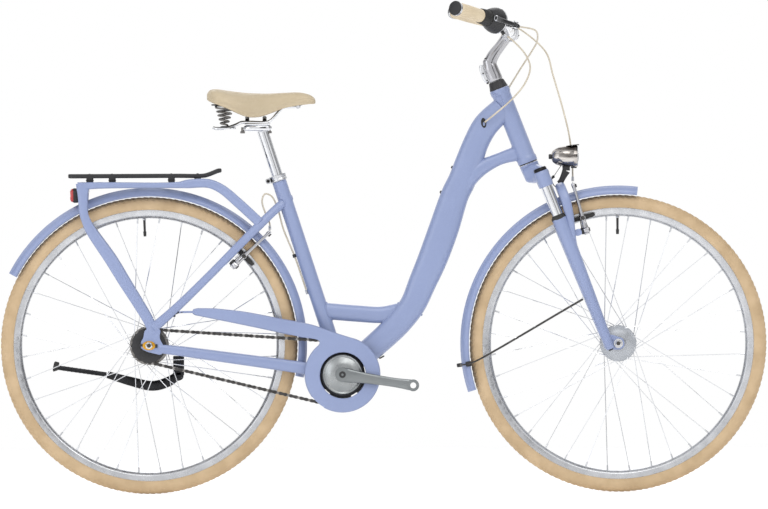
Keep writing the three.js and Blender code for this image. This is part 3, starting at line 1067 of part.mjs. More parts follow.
// A grip is a blind sleeve: its bore stops just past the bar's end, under the cap.
function grip(side, length) {
  const station = (inFromEnd, radius, past = 0) => {
    const { at, out } = onBar(side, inFromEnd);
    const across = v(1, 0, 0).addScaledVector(out, -out.x).normalize();
    const deep = new THREE.Vector3().crossVectors(out, across);
    return ring(at.clone().addScaledVector(out, past), across, deep, radius, radius, ROUND_SIDES);
  };
  return skin([
    station(0, GRIP.bore, PAINT_GAP), station(length / 2, GRIP.bore), station(length, GRIP.bore),
    station(length, GRIP.radius), station(length / 2, GRIP.radius), station(0, GRIP.radius),
    station(0, GRIP.capRadius), station(0, GRIP.capRadius, GRIP.cap),
  ]);
}
part('front_mudguard_stay', frontStay(), darkSteel);
part('stem', stem(), silver);
part('handlebar', handlebar(), silver);
part('right_grip', grip(-1, GRIP.rightLength), cream);
part('left_grip', grip(1, GRIP.leftLength), cream);
const twistFrom = GRIP.rightLength + SHIFTER.gap;
const housingFrom = twistFrom + SHIFTER.twist + SHIFTER.gap;
part('shifter_twist', sleeve(-1, twistFrom, twistFrom + SHIFTER.twist, SHIFTER.twistRadius, SHIFTER.bore, 1, FINE_SIDES), black);
part('shifter_housing', sleeve(-1, housingFrom, housingFrom + SHIFTER.housing,
  (share) => THREE.MathUtils.lerp(SHIFTER.smallRadius, SHIFTER.largeRadius, share), SHIFTER.bore, 2, FINE_SIDES), black);

// Brake levers: a perch clamped to the bar and a blade on a pin ahead of it
const LEVER = {
  clampFrom: 186, clampWidth: 14, clampRadius: 15, bore: 11.9, pivotForward: 40, pivotDrop: 4, pinRadius: 2.6, pinInset: 1,
  knuckle: 6.5, bladeDepth: 9, perchWidth: 16, perchSink: 2, rootDepth: 20, bodyHalf: 9, noseDepth: 14, forkGap: 0.5,
  slotBack: 11, slotAhead: 19, slotWide: 60,
};
const LEVER_AIM = v(1, 0, -0.16);
// The blade's sections: out from the pin along the bar, ahead of it, then thickness up and down and width
const BLADE_STATIONS = [
  { out: -6.5, ahead: 1, width: 9, depth: 12 }, { out: 13, ahead: 4, width: 9, depth: 12 },
  { out: 46.8, ahead: 7, width: 11, depth: 9.6 }, { out: 93.6, ahead: 13, width: 13, depth: 8.4 },
  { out: 104, ahead: 16, width: 9, depth: 7.2 },
];
const leverFrame = (side) => {
  const clamp = onBar(side, LEVER.clampFrom + LEVER.clampWidth / 2);
  const forward = LEVER_AIM.clone().addScaledVector(clamp.out, -LEVER_AIM.dot(clamp.out)).normalize();
  const up = new THREE.Vector3().crossVectors(forward, clamp.out).multiplyScalar(side).normalize();
  const pivot = clamp.at.clone().addScaledVector(forward, LEVER.pivotForward).addScaledVector(up, -LEVER.pivotDrop);
  return { clamp, forward, up, pivot };
};

function perch(side) {
  const { clamp, forward, up, pivot } = leverFrame(side);
  const ringPart = turned([[LEVER.bore, -LEVER.clampWidth / 2], [LEVER.clampRadius, -LEVER.clampWidth / 2],
    [LEVER.clampRadius, LEVER.clampWidth / 2], [LEVER.bore, LEVER.clampWidth / 2]], clamp.at, clamp.out, FINE_SIDES, true);
  const body = sweep([
    { at: clamp.at.clone().addScaledVector(forward, LEVER.clampRadius - LEVER.perchSink), width: LEVER.perchWidth, depth: LEVER.rootDepth },
    { at: pivot, width: LEVER.perchWidth, depth: LEVER.bodyHalf * 2 },
    { at: pivot.clone().addScaledVector(forward, LEVER.knuckle), width: LEVER.perchWidth, depth: LEVER.noseDepth },
  ], SMALL_SIDES, 3, up);
  const slot = sweep([-LEVER.slotBack, LEVER.slotAhead].map((ahead) => ({
    at: pivot.clone().addScaledVector(forward, ahead), width: LEVER.bladeDepth + 2 * LEVER.forkGap, depth: LEVER.slotWide,
  })), BOX_SIDES, BOX_POWER, up);
  const pinHalf = LEVER.perchWidth / 2 - LEVER.pinInset;
  const pin = bar(pivot.clone().addScaledVector(up, -pinHalf), pivot.clone().addScaledVector(up, pinHalf), LEVER.pinRadius,
    LEVER.pinRadius, SMALL_SIDES);
  return join(cut(join(ringPart, body), slot), pin);
}

function leverBlade(side) {
  const { clamp, forward, up, pivot } = leverFrame(side);
  const place = (out, ahead) => pivot.clone().addScaledVector(clamp.out, out).addScaledVector(forward, ahead);
  const blade = sweep(BLADE_STATIONS.map(({ out, ahead, width, depth }) => ({ at: place(out, ahead), width, depth })),
    SMALL_SIDES, 2.4, up);
  const hole = bar(pivot.clone().addScaledVector(up, -LEVER.perchWidth), pivot.clone().addScaledVector(up, LEVER.perchWidth),
    LEVER.pinRadius + PAINT_GAP * 2, LEVER.pinRadius + PAINT_GAP * 2, FINE_SIDES);
  return cut(blade, hole);
}
for (const [name, side] of [['right', -1], ['left', 1]]) {
  part(`${name}_brake_perch`, perch(side), silver);
  part(`${name}_brake_lever`, leverBlade(side), black);
}

// V-brakes: each arm turns on a boss beside the rim, with its pad fixed to it and the cable across the tops
const PAD = { length: 60, height: 8, depth: 12, stud: 3.5 };
function brakeArm(centre, degrees, side, pivotSide) {
  const at = (radius, y, around = 0) => brakePoint(centre, degrees, radius, around, side * y);
  const arm = sweep([
    { at: at(BRAKE.pivotRadius - BRAKE.armWidth, pivotSide), width: BRAKE.footWidth, depth: BRAKE.armDepth },
    { at: at(BRAKE.pivotRadius + BRAKE.shoulderUp, pivotSide), width: BRAKE.shoulderWidth, depth: BRAKE.armDepth },
    { at: at(BRAKE.padRadius, pivotSide - BRAKE.neckIn), width: BRAKE.footWidth, depth: BRAKE.armDepth },
    { at: at(BRAKE.padRadius + BRAKE.neckUp, pivotSide - BRAKE.neckIn), width: BRAKE.armWidth, depth: BRAKE.armDepth },
    { at: at(BRAKE.topRadius, pivotSide - BRAKE.topIn), width: BRAKE.topWidth, depth: BRAKE.armDepth },
  ], SMALL_SIDES, 3);
  const bolt = bar(at(BRAKE.pivotRadius, pivotSide), at(BRAKE.pivotRadius, pivotSide, -BRAKE.armDepth / 2 - BRAKE.boltHead),
    BRAKE.bossRadius, BRAKE.bossRadius, SMALL_SIDES);
  const padInner = RIM.width / 2 + BRAKE.padGap;
  const pad = sweep([-1, 1].map((end) => ({
    at: at(BRAKE.padRadius, padInner + PAD.depth / 2, (end * PAD.length) / 2), width: PAD.depth, depth: PAD.height,
  })), BOX_SIDES, BOX_POWER);
  const stud = bar(at(BRAKE.padRadius, padInner + PAD.depth / 2), at(BRAKE.padRadius, pivotSide), PAD.stud, PAD.stud, SMALL_SIDES);
  return join(arm, bolt, pad, stud);
}
for (const [name, side] of [['right', -1], ['left', 1]]) {
  part(`front_brake_arm_${name}`, brakeArm(frontAxle, BRAKE.frontDegrees, side, BRAKE.side), black);
  part(`rear_brake_arm_${name}`, brakeArm(rearAxle, BRAKE.rearDegrees, side, BRAKE.side), black);
}

// Headlamp: a bullet body with a lens, on a bracket that stands on the fork's arch
const LAMP = {
  at: v(430, 0, 797), tilt: 6, length: 68, radius: 25, lensGap: 0.4, lensDepth: 7, footBack: 8,
  bracketWidth: 12, bracketSheet: 4, knob: 6, lip: 2, lugAlong: 6, lugDrop: 25, lugHeight: 17.5,
};
const lampAim = v(Math.cos(THREE.MathUtils.degToRad(LAMP.tilt)), 0, Math.sin(THREE.MathUtils.degToRad(LAMP.tilt)));
const lampAt = (along, drop = 0) => LAMP.at.clone().addScaledVector(lampAim, along).add(v(0, 0, -drop));

function headlamp() {
  const body = turned([
    [0, -LAMP.length * 0.52], [LAMP.knob, -LAMP.length * 0.52], [LAMP.knob, -LAMP.length * 0.42],
    [LAMP.radius * 0.55, -LAMP.length * 0.38], [LAMP.radius * 0.86, -LAMP.length * 0.2],
    [LAMP.radius, LAMP.length * 0.05], [LAMP.radius, LAMP.length * 0.48], [LAMP.radius - LAMP.lip, LAMP.length * 0.48],
    [LAMP.radius - LAMP.lip, LAMP.length * 0.48 - LAMP.lensDepth], [0, LAMP.length * 0.48 - LAMP.lensDepth],
  ], LAMP.at, lampAim);
  const lug = box(LAMP.bracketWidth, LAMP.bracketWidth, LAMP.lugHeight, lampAt(LAMP.lugAlong, LAMP.lugDrop));
  return join(body, lug);
}

function headlampLens() {
  const front = LAMP.length * 0.48;
  const radius = LAMP.radius - LAMP.lip - LAMP.lensGap;
  return turned([[0, front - LAMP.lensDepth + LAMP.lensGap], [radius, front - LAMP.lensDepth + LAMP.lensGap],
    [radius, front - LAMP.lensGap * 2], [radius * 0.6, front + LAMP.lip], [0, front + LAMP.lip * 1.5]], LAMP.at, lampAim);
}

// A strip of even thickness bent along a line in the middle plane, with mitred corners
function bentStrip(line, sheet, width) {
  const square = (a, b) => b.clone().sub(a).normalize().cross(v(0, 1, 0));
  const sides = [1, -1].map((side) => line.map((at, i) => {
    const [before, after] = [square(line[Math.max(i - 1, 0)], line[Math.max(i, 1)]),
      square(line[Math.min(i, line.length - 2)], line[Math.min(i + 1, line.length - 1)])];
    const mitre = before.clone().add(after).normalize();
    const corner = at.clone().addScaledVector(mitre, (side * sheet) / 2 / mitre.dot(before));
    return [corner.x, corner.z];
  }));
  return plate([...sides[0], ...sides[1].reverse()], 0, width);
}

function headlampBracket() {
  const half = LAMP.bracketSheet / 2;
  const footUp = FORK.archTop + PAINT_GAP + half;
  const toe = onHead(footUp, FORK.archForward + FORK.archDepth / 2);
  const heel = onHead(footUp, FORK.archForward - LAMP.footBack);
  const seat = lampAt(LAMP.lugAlong, LAMP.lugDrop + LAMP.lugHeight / 2 + PAINT_GAP + half);
  const knee = seat.clone().add(v(-LAMP.bracketWidth * 1.4, 0, -LAMP.bracketWidth * 0.3));
  return bentStrip([toe, heel, knee, seat.clone().add(v(LAMP.bracketWidth * 0.7, 0, 0))], LAMP.bracketSheet, LAMP.bracketWidth);
}
part('headlamp', headlamp(), chrome);
part('headlamp_lens', headlampLens(), clear);
part('headlamp_bracket', headlampBracket(), black);

// Seatpost with its clamp, the saddle's rails, its two conical springs and its cushion
const POST = {
  radius: 13.4, insertion: 190, head: [66, 52, 19.6], headAt: v(-295, 0, 863.9), bolt: 3.5, boltDrop: 15, boltX: [-320, -279],
  clip: [11, 52, 4.5], clipZ: 883.7,
};
function seatpost() {
  const foot = onSeat(SEAT_TUBE_LENGTH - POST.insertion);
  const top = onSeat(POST.headAt.clone().sub(bottomBracket).dot(seatUp));
  const clamps = POST.boltX.flatMap((x) => [
    bar(v(x, 0, POST.headAt.z - POST.boltDrop), v(x, 0, POST.clipZ), POST.bolt, POST.bolt, SMALL_SIDES),
    box(...POST.clip, v(x, 0, POST.clipZ)),
  ]);
  return join(bar(foot, top, POST.radius, POST.radius, FINE_SIDES), box(...POST.head, POST.headAt), ...clamps);
}
part('seatpost', seatpost(), silver);

const SPRING = {
  x: -374, side: 52, footZ: 866, topZ: 917, footRadius: 11.5, topRadius: 20, wire: 2.4, curls: 3.5, stepsPerCurl: 8,
};
// The wire of one spring: straight foot, a coil that widens as it climbs, and a straight top
function springLine(side) {
  const points = [];
  const steps = SPRING.curls * SPRING.stepsPerCurl;
  const lead = SPRING.wire * 2;
  const [from, to] = [SPRING.footZ + lead, SPRING.topZ - lead];
  const at = (share) => {
    const angle = 2 * Math.PI * SPRING.curls * share;
    const radius = THREE.MathUtils.lerp(SPRING.footRadius, SPRING.topRadius, share);
    return v(SPRING.x + radius * Math.cos(angle), side * (SPRING.side + radius * Math.sin(angle)), from + (to - from) * share);
  };
  points.push(at(0).setZ(SPRING.footZ));
  for (let i = 0; i <= steps; i += 1) points.push(at(i / steps));
  points.push(at(1).setZ(SPRING.topZ));
  return points;
}

// The least gap of a spring's wire to itself, between curls at least half a turn apart
function leastGap(points) {
  let least = Infinity;
  const apart = SPRING.stepsPerCurl / 2;
  for (let i = 1; i < points.length - 1; i += 1) {
    for (let j = i + apart; j < points.length - 1; j += 1) {
      least = Math.min(least, points[i].distanceTo(points[j]));
    }
  }
  return least - 2 * SPRING.wire;
}

// The wire's sections keep one side nearly upright all the way.
const SPRING_UP = v(0.01, 0, 1);
function spring(side) {
  const line = springLine(side);
  return sweep(line.map((at, i) => {
    const end = i === 0 || i === line.length - 1;
    const along = end ? v(0, 0, 1) : line[i + 1].clone().sub(line[i - 1]).normalize();
    return { at, along, width: SPRING.wire * 2, depth: SPRING.wire * 2 };
  }), WIRE_SIDES, 2, SPRING_UP);
}

// Rails: two wires from the base plate under the springs, through the post's clamp, up to the nose
const SADDLE = { wire: 7, base: [54, 128, 4.5], baseZ: 863.4 };
const RAIL_POINTS = [
  [-396, 52, 863], [-372, 46, 864], [-346, 24, 872], [-333, 22, 877.5], [-258, 22, 877.5], [-246, 17, 888],
  [-226, 9, 903], [-200, 6, 910],
];
const NOSE = { x: -200, z: 911, half: 16, radius: 6 };
function saddleFrame() {
  const rails = [-1, 1].map((side) => sweep(RAIL_POINTS.map(([x, y, z]) => (
    { at: v(x, side * y, z), width: SADDLE.wire, depth: SADDLE.wire })), SMALL_SIDES));
  const base = box(...SADDLE.base, v(SPRING.x, 0, SADDLE.baseZ));
  return join(...rails, base, bar(v(NOSE.x, -NOSE.half, NOSE.z), v(NOSE.x, NOSE.half, NOSE.z), NOSE.radius));
}
part('saddle_frame', saddleFrame(), darkSteel);
part('saddle_spring_right', spring(-1), chrome);
part('saddle_spring_left', spring(1), chrome);
console.log('least gap of a saddle spring to itself, mm', leastGap(springLine(1)).toFixed(2));

// The saddle's base: a flat shell over the springs and the nose pivot, under the cushion
const SHELL = { bottom: 917.3, thickness: 3 };
// Its outline, back to nose, with the half width at each place
const SHELL_STATIONS = [[-402, 59.2], [SPRING.x, 74], [-340, 59.2], [-290, 31.1], [-186, 15]];
function saddleBase() {
  const station = (x, half) => ({ at: v(x, 0, SHELL.bottom + SHELL.thickness / 2), width: half * 2, depth: SHELL.thickness });
  return sweep(SHELL_STATIONS.map(([x, half]) => station(x, half)), BOX_SIDES, BOX_POWER);
}

// The cushion: sections from the nose to the back, each with its half width, its lip and its crown
const CUSHION_STATIONS = [
  { x: -158, half: 13, lip: 921.5, top: 929 }, { x: -162, half: 20, lip: 920.5, top: 935 },
  { x: -172, half: 26, lip: 920, top: 942 }, { x: -195, half: 30, lip: 917, top: 947.5 },
  { x: -231, half: 35, lip: 910, top: 947 }, { x: -262, half: 45, lip: 899, top: 945.5 },
  { x: -290, half: 60, lip: 890, top: 945.5 }, { x: -320, half: 80, lip: 889.5, top: 947 },
  { x: -345, half: 93, lip: 899, top: 949.5 }, { x: -370, half: 100, lip: 910.5, top: 953 },
  { x: -392, half: 98, lip: 919, top: 956 }, { x: -407, half: 86, lip: 926, top: 953.5 },
  { x: -415, half: 66, lip: 930, top: 945 },
];
// Shares of the half width and of the height from lip to crown, from the underside's edge to the crown's middle
const CUSHION_SHARES = [[0.90, 0.10], [0.96, 0], [0.985, 0.16], [0.965, 0.45], [1, 0.66], [0.86, 0.90], [0.45, 1], [0, 0.975]];
const CUSHION_UNDER = { share: 0.80, gap: 0.3, lipRise: 1 };
function cushion() {
  const under = SHELL.bottom + SHELL.thickness + CUSHION_UNDER.gap;
  const rings = CUSHION_STATIONS.map(({ x, half, lip, top }) => {
    const floor = Math.max(under, lip + CUSHION_UNDER.lipRise);
    const right = [[0, floor], [half * CUSHION_UNDER.share, floor], ...CUSHION_SHARES.map(([y, z]) => [half * y, lip + z * (top - lip)])];
    const left = right.slice(1, -1).map(([y, z]) => [-y, z]).reverse();
    return [...right, ...left].map(([y, z]) => v(x, y, z));
  });
  return skin(rings);
}
part('saddle_base', saddleBase(), black);
part('saddle_cover', cushion(), cream);

// Cables, each in a casing along its real route
const CASING = { radius: 2.3, steps: 20, portGap: 0.3, endGap: 1.4, leverLead: 14, portLeads: [14, 6, 0] };
// Where the cables enter the main tube, with the tube's half width there
const PORT = v(243, 20.7, 876);
const leverAnchor = (side) => {
  const { clamp, pivot } = leverFrame(side);
  return [0, CASING.leverLead].map((inward) => pivot.clone().addScaledVector(clamp.out, -LEVER.bodyHalf - CASING.portGap - inward));
};
const portEnd = (side) => CASING.portLeads.map((out) => PORT.clone().setY(side * (PORT.y + CASING.portGap + out)));

const FRONT_BRAKE_ROUTE = [v(388, 62, 1040), v(404, 28, 985), v(424, 14, 915), v(440, 22, 850), v(447, 33.5, 800), v(449, 34, 765)];
const brakeTop = (centre, degrees, side) => brakePoint(centre, degrees, BRAKE.topRadius, 0, side * (BRAKE.side - BRAKE.topIn));
const frontBrakeRoute = [
  ...leverAnchor(1), ...FRONT_BRAKE_ROUTE,
  brakeTop(frontAxle, BRAKE.frontDegrees, 1).add(v(0, 0, CASING.endGap)),
];
const REAR_BRAKE_ROUTE = [v(362, -92, 1090), v(366, -40, 1066), v(352, 4, 1040), v(326, 32, 1000), v(298, 43, 955), v(264, 44, 905)];
const rearBrakeFrontRoute = [...leverAnchor(-1), ...REAR_BRAKE_ROUTE, ...portEnd(1)];
const SHIFT_ROUTE = [v(287, -166, 1082), v(310, -142, 1064), v(340, -98, 1030), v(349, -66, 1000), v(336, -50, 965), v(307, -44, 930),
  v(268, -42, 896)];
const shiftRoute = [...SHIFT_ROUTE, ...portEnd(-1)];
const rearTop = brakeTop(rearAxle, BRAKE.rearDegrees, -1);
const seatBack = (up, out) => onSeat(up, -SEAT_TUBE.diameter / 2 - PAINT_GAP - CASING.radius - out);
// Up the back of the seat tube (height along it, distance off it), then over in a loop and down to the brake
const SEAT_TUBE_ROUTE = [[206, 0], [240, 0], [300, 1], [370, 6]];
const LOOP_ROUTE = [
  v(-4.5, 0, -62.1), v(-18.5, -1, -35.1), v(-33.5, -3, -30.1), v(-40.5, -5, -46.1), v(-32.5, -9, -76.1), v(-22.5, -21, -100.1),
].map((fromSeatTop) => fromSeatTop.add(seatTop));
const rearBrakeRoute = [
  ...SEAT_TUBE_ROUTE.map(([up, out]) => seatBack(up, out)), ...LOOP_ROUTE,
  rearTop.clone().add(v(0, 0, CASING.endGap * 2)),
];
for (const [name, route] of [['front_brake_cable', frontBrakeRoute], ['rear_brake_cable_front', rearBrakeFrontRoute],
  ['shift_cable', shiftRoute], ['rear_brake_cable', rearBrakeRoute]]) {
  part(name, cable(route, CASING.radius, CASING.steps), cream);
}
export default bicycle;
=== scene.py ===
# %% [markdown]
# # A step-through city bicycle, dressed on its CAD frame
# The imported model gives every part's place, in metres: +X forward, +Y to the rider's left, +Z up.
# Each cell below builds one group of pieces, lays them on the bodies that carry them, and prints what it made.

# %% Load the frame
import json
from math import asin, atan2, cos, degrees, exp, pi, radians, sin, sqrt, tau
import bmesh
import bpy
import numpy as np
from mathutils import Euler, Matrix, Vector
from mathutils.bvhtree import BVHTree

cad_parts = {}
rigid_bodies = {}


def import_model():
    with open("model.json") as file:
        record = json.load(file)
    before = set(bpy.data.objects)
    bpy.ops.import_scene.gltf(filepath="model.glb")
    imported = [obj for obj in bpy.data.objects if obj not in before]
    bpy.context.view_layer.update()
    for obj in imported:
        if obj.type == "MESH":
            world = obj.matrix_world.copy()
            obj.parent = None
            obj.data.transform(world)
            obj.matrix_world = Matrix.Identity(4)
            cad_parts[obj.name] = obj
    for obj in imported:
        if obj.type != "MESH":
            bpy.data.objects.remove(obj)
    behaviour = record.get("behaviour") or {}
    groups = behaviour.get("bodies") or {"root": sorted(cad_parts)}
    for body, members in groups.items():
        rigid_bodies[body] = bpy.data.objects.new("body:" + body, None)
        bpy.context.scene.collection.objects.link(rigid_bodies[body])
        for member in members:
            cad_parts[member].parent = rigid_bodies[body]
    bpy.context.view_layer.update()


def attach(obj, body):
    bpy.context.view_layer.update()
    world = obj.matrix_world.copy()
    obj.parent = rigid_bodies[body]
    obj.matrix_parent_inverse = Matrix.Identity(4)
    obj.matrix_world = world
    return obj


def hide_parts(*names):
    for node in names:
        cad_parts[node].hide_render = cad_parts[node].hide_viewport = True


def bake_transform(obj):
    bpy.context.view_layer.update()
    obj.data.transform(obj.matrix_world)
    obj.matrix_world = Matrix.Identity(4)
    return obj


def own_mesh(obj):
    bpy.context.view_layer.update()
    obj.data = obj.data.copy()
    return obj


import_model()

# %% [markdown]
# ## Main points
# The driving dimensions are the ones the CAD source uses, in millimetres. `MM` turns them into metres
# only when a mesh is made, so every number below can be held against a tape measure.

# %% Main points
MM = 0.001
PAINT_GAP, AXLE_HOLE, SIDES = 0.3, 5.6, ((-1, "right"), (1, "left"))
WHEELBASE, WHEEL_RADIUS, CHAINSTAY, BB_DROP = 1108.5, 351.0, 462.0, 70.6
FORK_LENGTH, HEAD_LENGTH, FORK_OFFSET = 472.8, 190.0, 41.6
HEAD_TILT, SEAT_TILT = radians(21.2), radians(17.9)
SEAT_LENGTH = 481.0


def V(x, y, z):
    return np.array([x, y, z], float)


def unit(a):
    return np.asarray(a, float) / np.linalg.norm(a)


REAR = V(-WHEELBASE / 2, 0, WHEEL_RADIUS)
FRONT = V(WHEELBASE / 2, 0, WHEEL_RADIUS)
BB = V(REAR[0] + sqrt(CHAINSTAY**2 - BB_DROP**2), 0, WHEEL_RADIUS - BB_DROP)
HEAD_UP = V(-sin(HEAD_TILT), 0, cos(HEAD_TILT))
HEAD_FWD = V(cos(HEAD_TILT), 0, sin(HEAD_TILT))
SEAT_UP = V(-sin(SEAT_TILT), 0, cos(SEAT_TILT))
SEAT_FWD = V(cos(SEAT_TILT), 0, sin(SEAT_TILT))
HEAD_FOOT = FRONT - HEAD_FWD * FORK_OFFSET
Y = V(0, 1, 0)


def head(up, forward=0.0, side=0.0):
    """A point on the steered side: up the steering axis, forward of it and to the left."""
    return HEAD_FOOT + HEAD_UP * up + HEAD_FWD * forward + Y * side


def seat(up, forward=0.0, side=0.0):
    return BB + SEAT_UP * up + SEAT_FWD * forward + Y * side


def around(centre, radius, degrees, side=0.0):
    """A point on a circle in the middle plane, from +X towards +Z."""
    a = radians(degrees)
    return V(centre[0] + radius * cos(a), side, centre[2] + radius * sin(a))


HEAD_BOTTOM, HEAD_TOP = head(FORK_LENGTH), head(FORK_LENGTH + HEAD_LENGTH)
print("bottom bracket", BB.round(1), "head top", HEAD_TOP.round(1))

# %% [markdown]
# ## Mesh helpers
# Tubes are swept through stations: a smooth spline runs through the stations' places and sizes together,
# and each ring is a rounded rectangle whose squareness is a power. Turned parts are profiles spun on an axis,
# and plates are filled outlines with a rounded edge.

# %% Mesh helpers
def smooth_rows(rows, per_span):
    """A centripetal Catmull-Rom spline through rows of numbers; the first three are the place."""
    rows = np.asarray(rows, float)
    if len(rows) < 3 or per_span < 2:
        return rows
    padded = np.vstack([2 * rows[0] - rows[1], rows, 2 * rows[-1] - rows[-2]])
    out = []
    for i in range(1, len(padded) - 2):
        p = padded[i - 1:i + 3]
        t = [0.0]
        for k in range(3):
            t.append(t[-1] + max(np.linalg.norm(p[k + 1][:3] - p[k][:3]), 1e-6) ** 0.5)
        for s in np.linspace(t[1], t[2], per_span, endpoint=False):
            a = [((t[k + 1] - s) * p[k] + (s - t[k]) * p[k + 1]) / (t[k + 1] - t[k]) for k in range(3)]
            b = [((t[k + 2] - s) * a[k] + (s - t[k]) * a[k + 1]) / (t[k + 2] - t[k]) for k in range(2)]
            out.append(((t[2] - s) * b[0] + (s - t[1]) * b[1]) / (t[2] - t[1]))
    out.append(rows[-1])
    return np.array(out)


print("points on a smoothed corner", len(smooth_rows([(0, 0, 0), (1, 0, 0), (1, 1, 0)], 4)))

# %% Rings and skins
def ring(at, across, deep, half_w, half_d, sides, power):
    """Points round an oval; a higher power makes it squarer."""
    a = 2 * pi * (np.arange(sides) + 0.5) / sides
    c, s = np.cos(a), np.sin(a)
    w = half_w * np.sign(c) * np.abs(c) ** (2 / power)
    d = half_d * np.sign(s) * np.abs(s) ** (2 / power)
    return at + np.outer(w, across) + np.outer(d, deep)


def skin(rings, closed=False, caps=True):
    """Quads between rings of equal counts, with an n-gon over each end of an open skin."""
    n, count = len(rings[0]), len(rings)
    faces = []
    for i in range(count if closed else count - 1):
        here, there = i * n, ((i + 1) % count) * n
        for j in range(n):
            k = (j + 1) % n
            faces.append((here + j, here + k, there + k, there + j))
    if caps and not closed:
        faces.append(tuple(reversed(range(n))))
        faces.append(tuple((count - 1) * n + j for j in range(n)))
    return np.vstack(rings), faces


print("faces between two rings of eight", len(skin([ring(BB, Y, HEAD_UP, 1, 1, 8, 2)] * 2)[1]))

# %% Sweeps and rods
def ways(at, closed=False):
    """The direction of a line at each of its points."""
    if closed:
        return np.roll(at, -1, 0) - np.roll(at, 1, 0)
    return np.vstack([at[1] - at[0], at[2:] - at[:-2], at[-1] - at[-2]])


def square_to(side, way):
    """The part of one direction that is square to another."""
    return unit(side - way * np.dot(side, way))


def sweep(rows, sides=28, power=2.0, side=Y, per_span=6, closed=False):
    """Sweeps sections along rows of (x, y, z, width, depth); width lies along the side direction."""
    rows, rings = smooth_rows(rows, per_span), []
    for row, way in zip(rows, ways(rows[:, :3], closed)):
        way = unit(way)
        across = square_to(side, way)
        rings.append(ring(row[:3], across, np.cross(way, across), row[3] / 2, row[4] / 2, sides, power))
    return skin(rings, closed)


def rod(points, diameter, sides=12, per_span=6):
    """A round wire or hose through points, on frames that don't twist."""
    at = smooth_rows(points, per_span)
    along = ways(at)
    across = unit(np.cross(unit(along[0]), [0.31, 0.83, 0.46]))
    rings = []
    for p, way, r in zip(at, along, np.broadcast_to(np.asarray(diameter, float), (len(at),)) / 2):
        way = unit(way)
        across = square_to(across, way)
        rings.append(ring(p, across, np.cross(way, across), r, r, sides, 2))
    return skin(rings)


print("faces of a bent wire", len(rod([BB, HEAD_FOOT, HEAD_BOTTOM], 4)[1]))

# %% Turned and straight parts
def bar(a, b, r0, r1=None, sides=32, edge=0.6):
    """A straight round bar with a small chamfer at both ends."""
    a, b = np.asarray(a, float), np.asarray(b, float)
    length, r1 = np.linalg.norm(b - a), r0 if r1 is None else r1
    e = min(edge, length / 4, r0 / 2, r1 / 2)
    return lathe([(0, 0), (r0 - e, 0), (r0, e), (r1, length - e), (r1 - e, length), (0, length)], a, b - a, sides)


def lathe(profile, centre, axis=Y, sides=64, closed=False):
    """Turns (radius, place along the axis) pairs about an axis through a centre."""
    axis = unit(axis)
    u = unit(np.cross(axis, [0.2, 0.1, 0.97] if abs(axis[2]) < 0.9 else [1, 0, 0]))
    w = np.cross(axis, u)
    a = 2 * pi * np.arange(sides) / sides
    circle = np.outer(np.cos(a), u) + np.outer(np.sin(a), w)
    rings = [np.asarray(centre, float) + axis * z + circle * max(r, 1e-4) for r, z in profile]
    return skin(rings, closed, caps=not closed)


def hollow(profile, centre, axis=Y, sides=64):
    """A turned ring or sleeve, whose profile closes on itself and not on the axis."""
    return lathe(profile, centre, axis, sides, closed=True)


def mirrored(rows):
    """A half profile and its mirror on the other side of the middle plane."""
    return rows + [(r, -y) for r, y in reversed(rows)]


print("faces of a short bar", len(bar(BB, BB + Y, 1)[1]))

# %% Plates and blocks
def baked(obj):
    """A new mesh with all that an object's modifiers or curve settings make."""
    return bpy.data.meshes.new_from_object(obj.evaluated_get(bpy.context.evaluated_depsgraph_get()))


def points_and_faces(mesh):
    co = np.zeros(len(mesh.vertices) * 3)
    mesh.vertices.foreach_get("co", co)
    return co.reshape(-1, 3) / MM, [tuple(p.vertices) for p in mesh.polygons]


def plate(outline, y, thickness, holes=(), bevel=0.6, resolution=2):
    """A flat plate from (x, z) corners with round holes (x, z, radius) and a rounded edge."""
    curve = bpy.data.curves.new("plate", "CURVE")
    curve.dimensions, curve.fill_mode = "2D", "BOTH"
    curve.extrude, curve.bevel_depth = (thickness / 2 - bevel) * MM, bevel * MM
    curve.bevel_resolution, curve.offset = resolution, -bevel * MM
    loops = [np.asarray(outline, float)]
    for x, z, r in holes:
        a = 2 * pi * np.arange(36) / 36
        loops.append(np.stack([x + r * np.cos(a), z + r * np.sin(a)], 1))
    for loop in loops:
        spline = curve.splines.new("POLY")
        spline.points.add(len(loop) - 1)
        spline.use_cyclic_u = True
        spline.points.foreach_set("co", np.c_[loop * MM, np.zeros(len(loop)), np.ones(len(loop))].ravel())
    holder = bpy.data.objects.new("plate", curve)
    bpy.context.scene.collection.objects.link(holder)
    mesh = baked(holder)
    co, faces = points_and_faces(mesh)
    verts = np.stack([co[:, 0], y - co[:, 2], co[:, 1]], 1)
    bpy.data.objects.remove(holder)
    bpy.data.curves.remove(curve)
    bpy.data.meshes.remove(mesh)
    return verts, faces


def block(size, at, turn=None, edge=1.0):
    """A box with chamfered edges; turn is a 3x3 matrix."""
    h = np.asarray(size, float) / 2
    rings = []
    for z, inset in ((-h[2], edge), (-h[2] + edge, 0), (h[2] - edge, 0), (h[2], edge)):
        x, y_ = h[0] - inset, h[1] - inset
        c = min(edge, x / 2, y_ / 2)
        pts = [(x, y_ - c), (x - c, y_), (-x + c, y_), (-x, y_ - c)]
        pts += [(-a, -b) for a, b in pts]
        rings.append(np.array([(a, b, z) for a, b in pts]))
    verts, faces = skin(rings)
    if turn is not None:
        verts = verts @ np.asarray(turn).T
    return verts + np.asarray(at, float), faces


def basis(x, y):
    """A rotation whose first column is x and whose second is as near y as it can be."""
    x = unit(x)
    z = unit(np.cross(x, y))
    return np.stack([x, np.cross(z, x), z], 1)


print("corners of a block", len(block((4, 4, 4), BB)[0]))

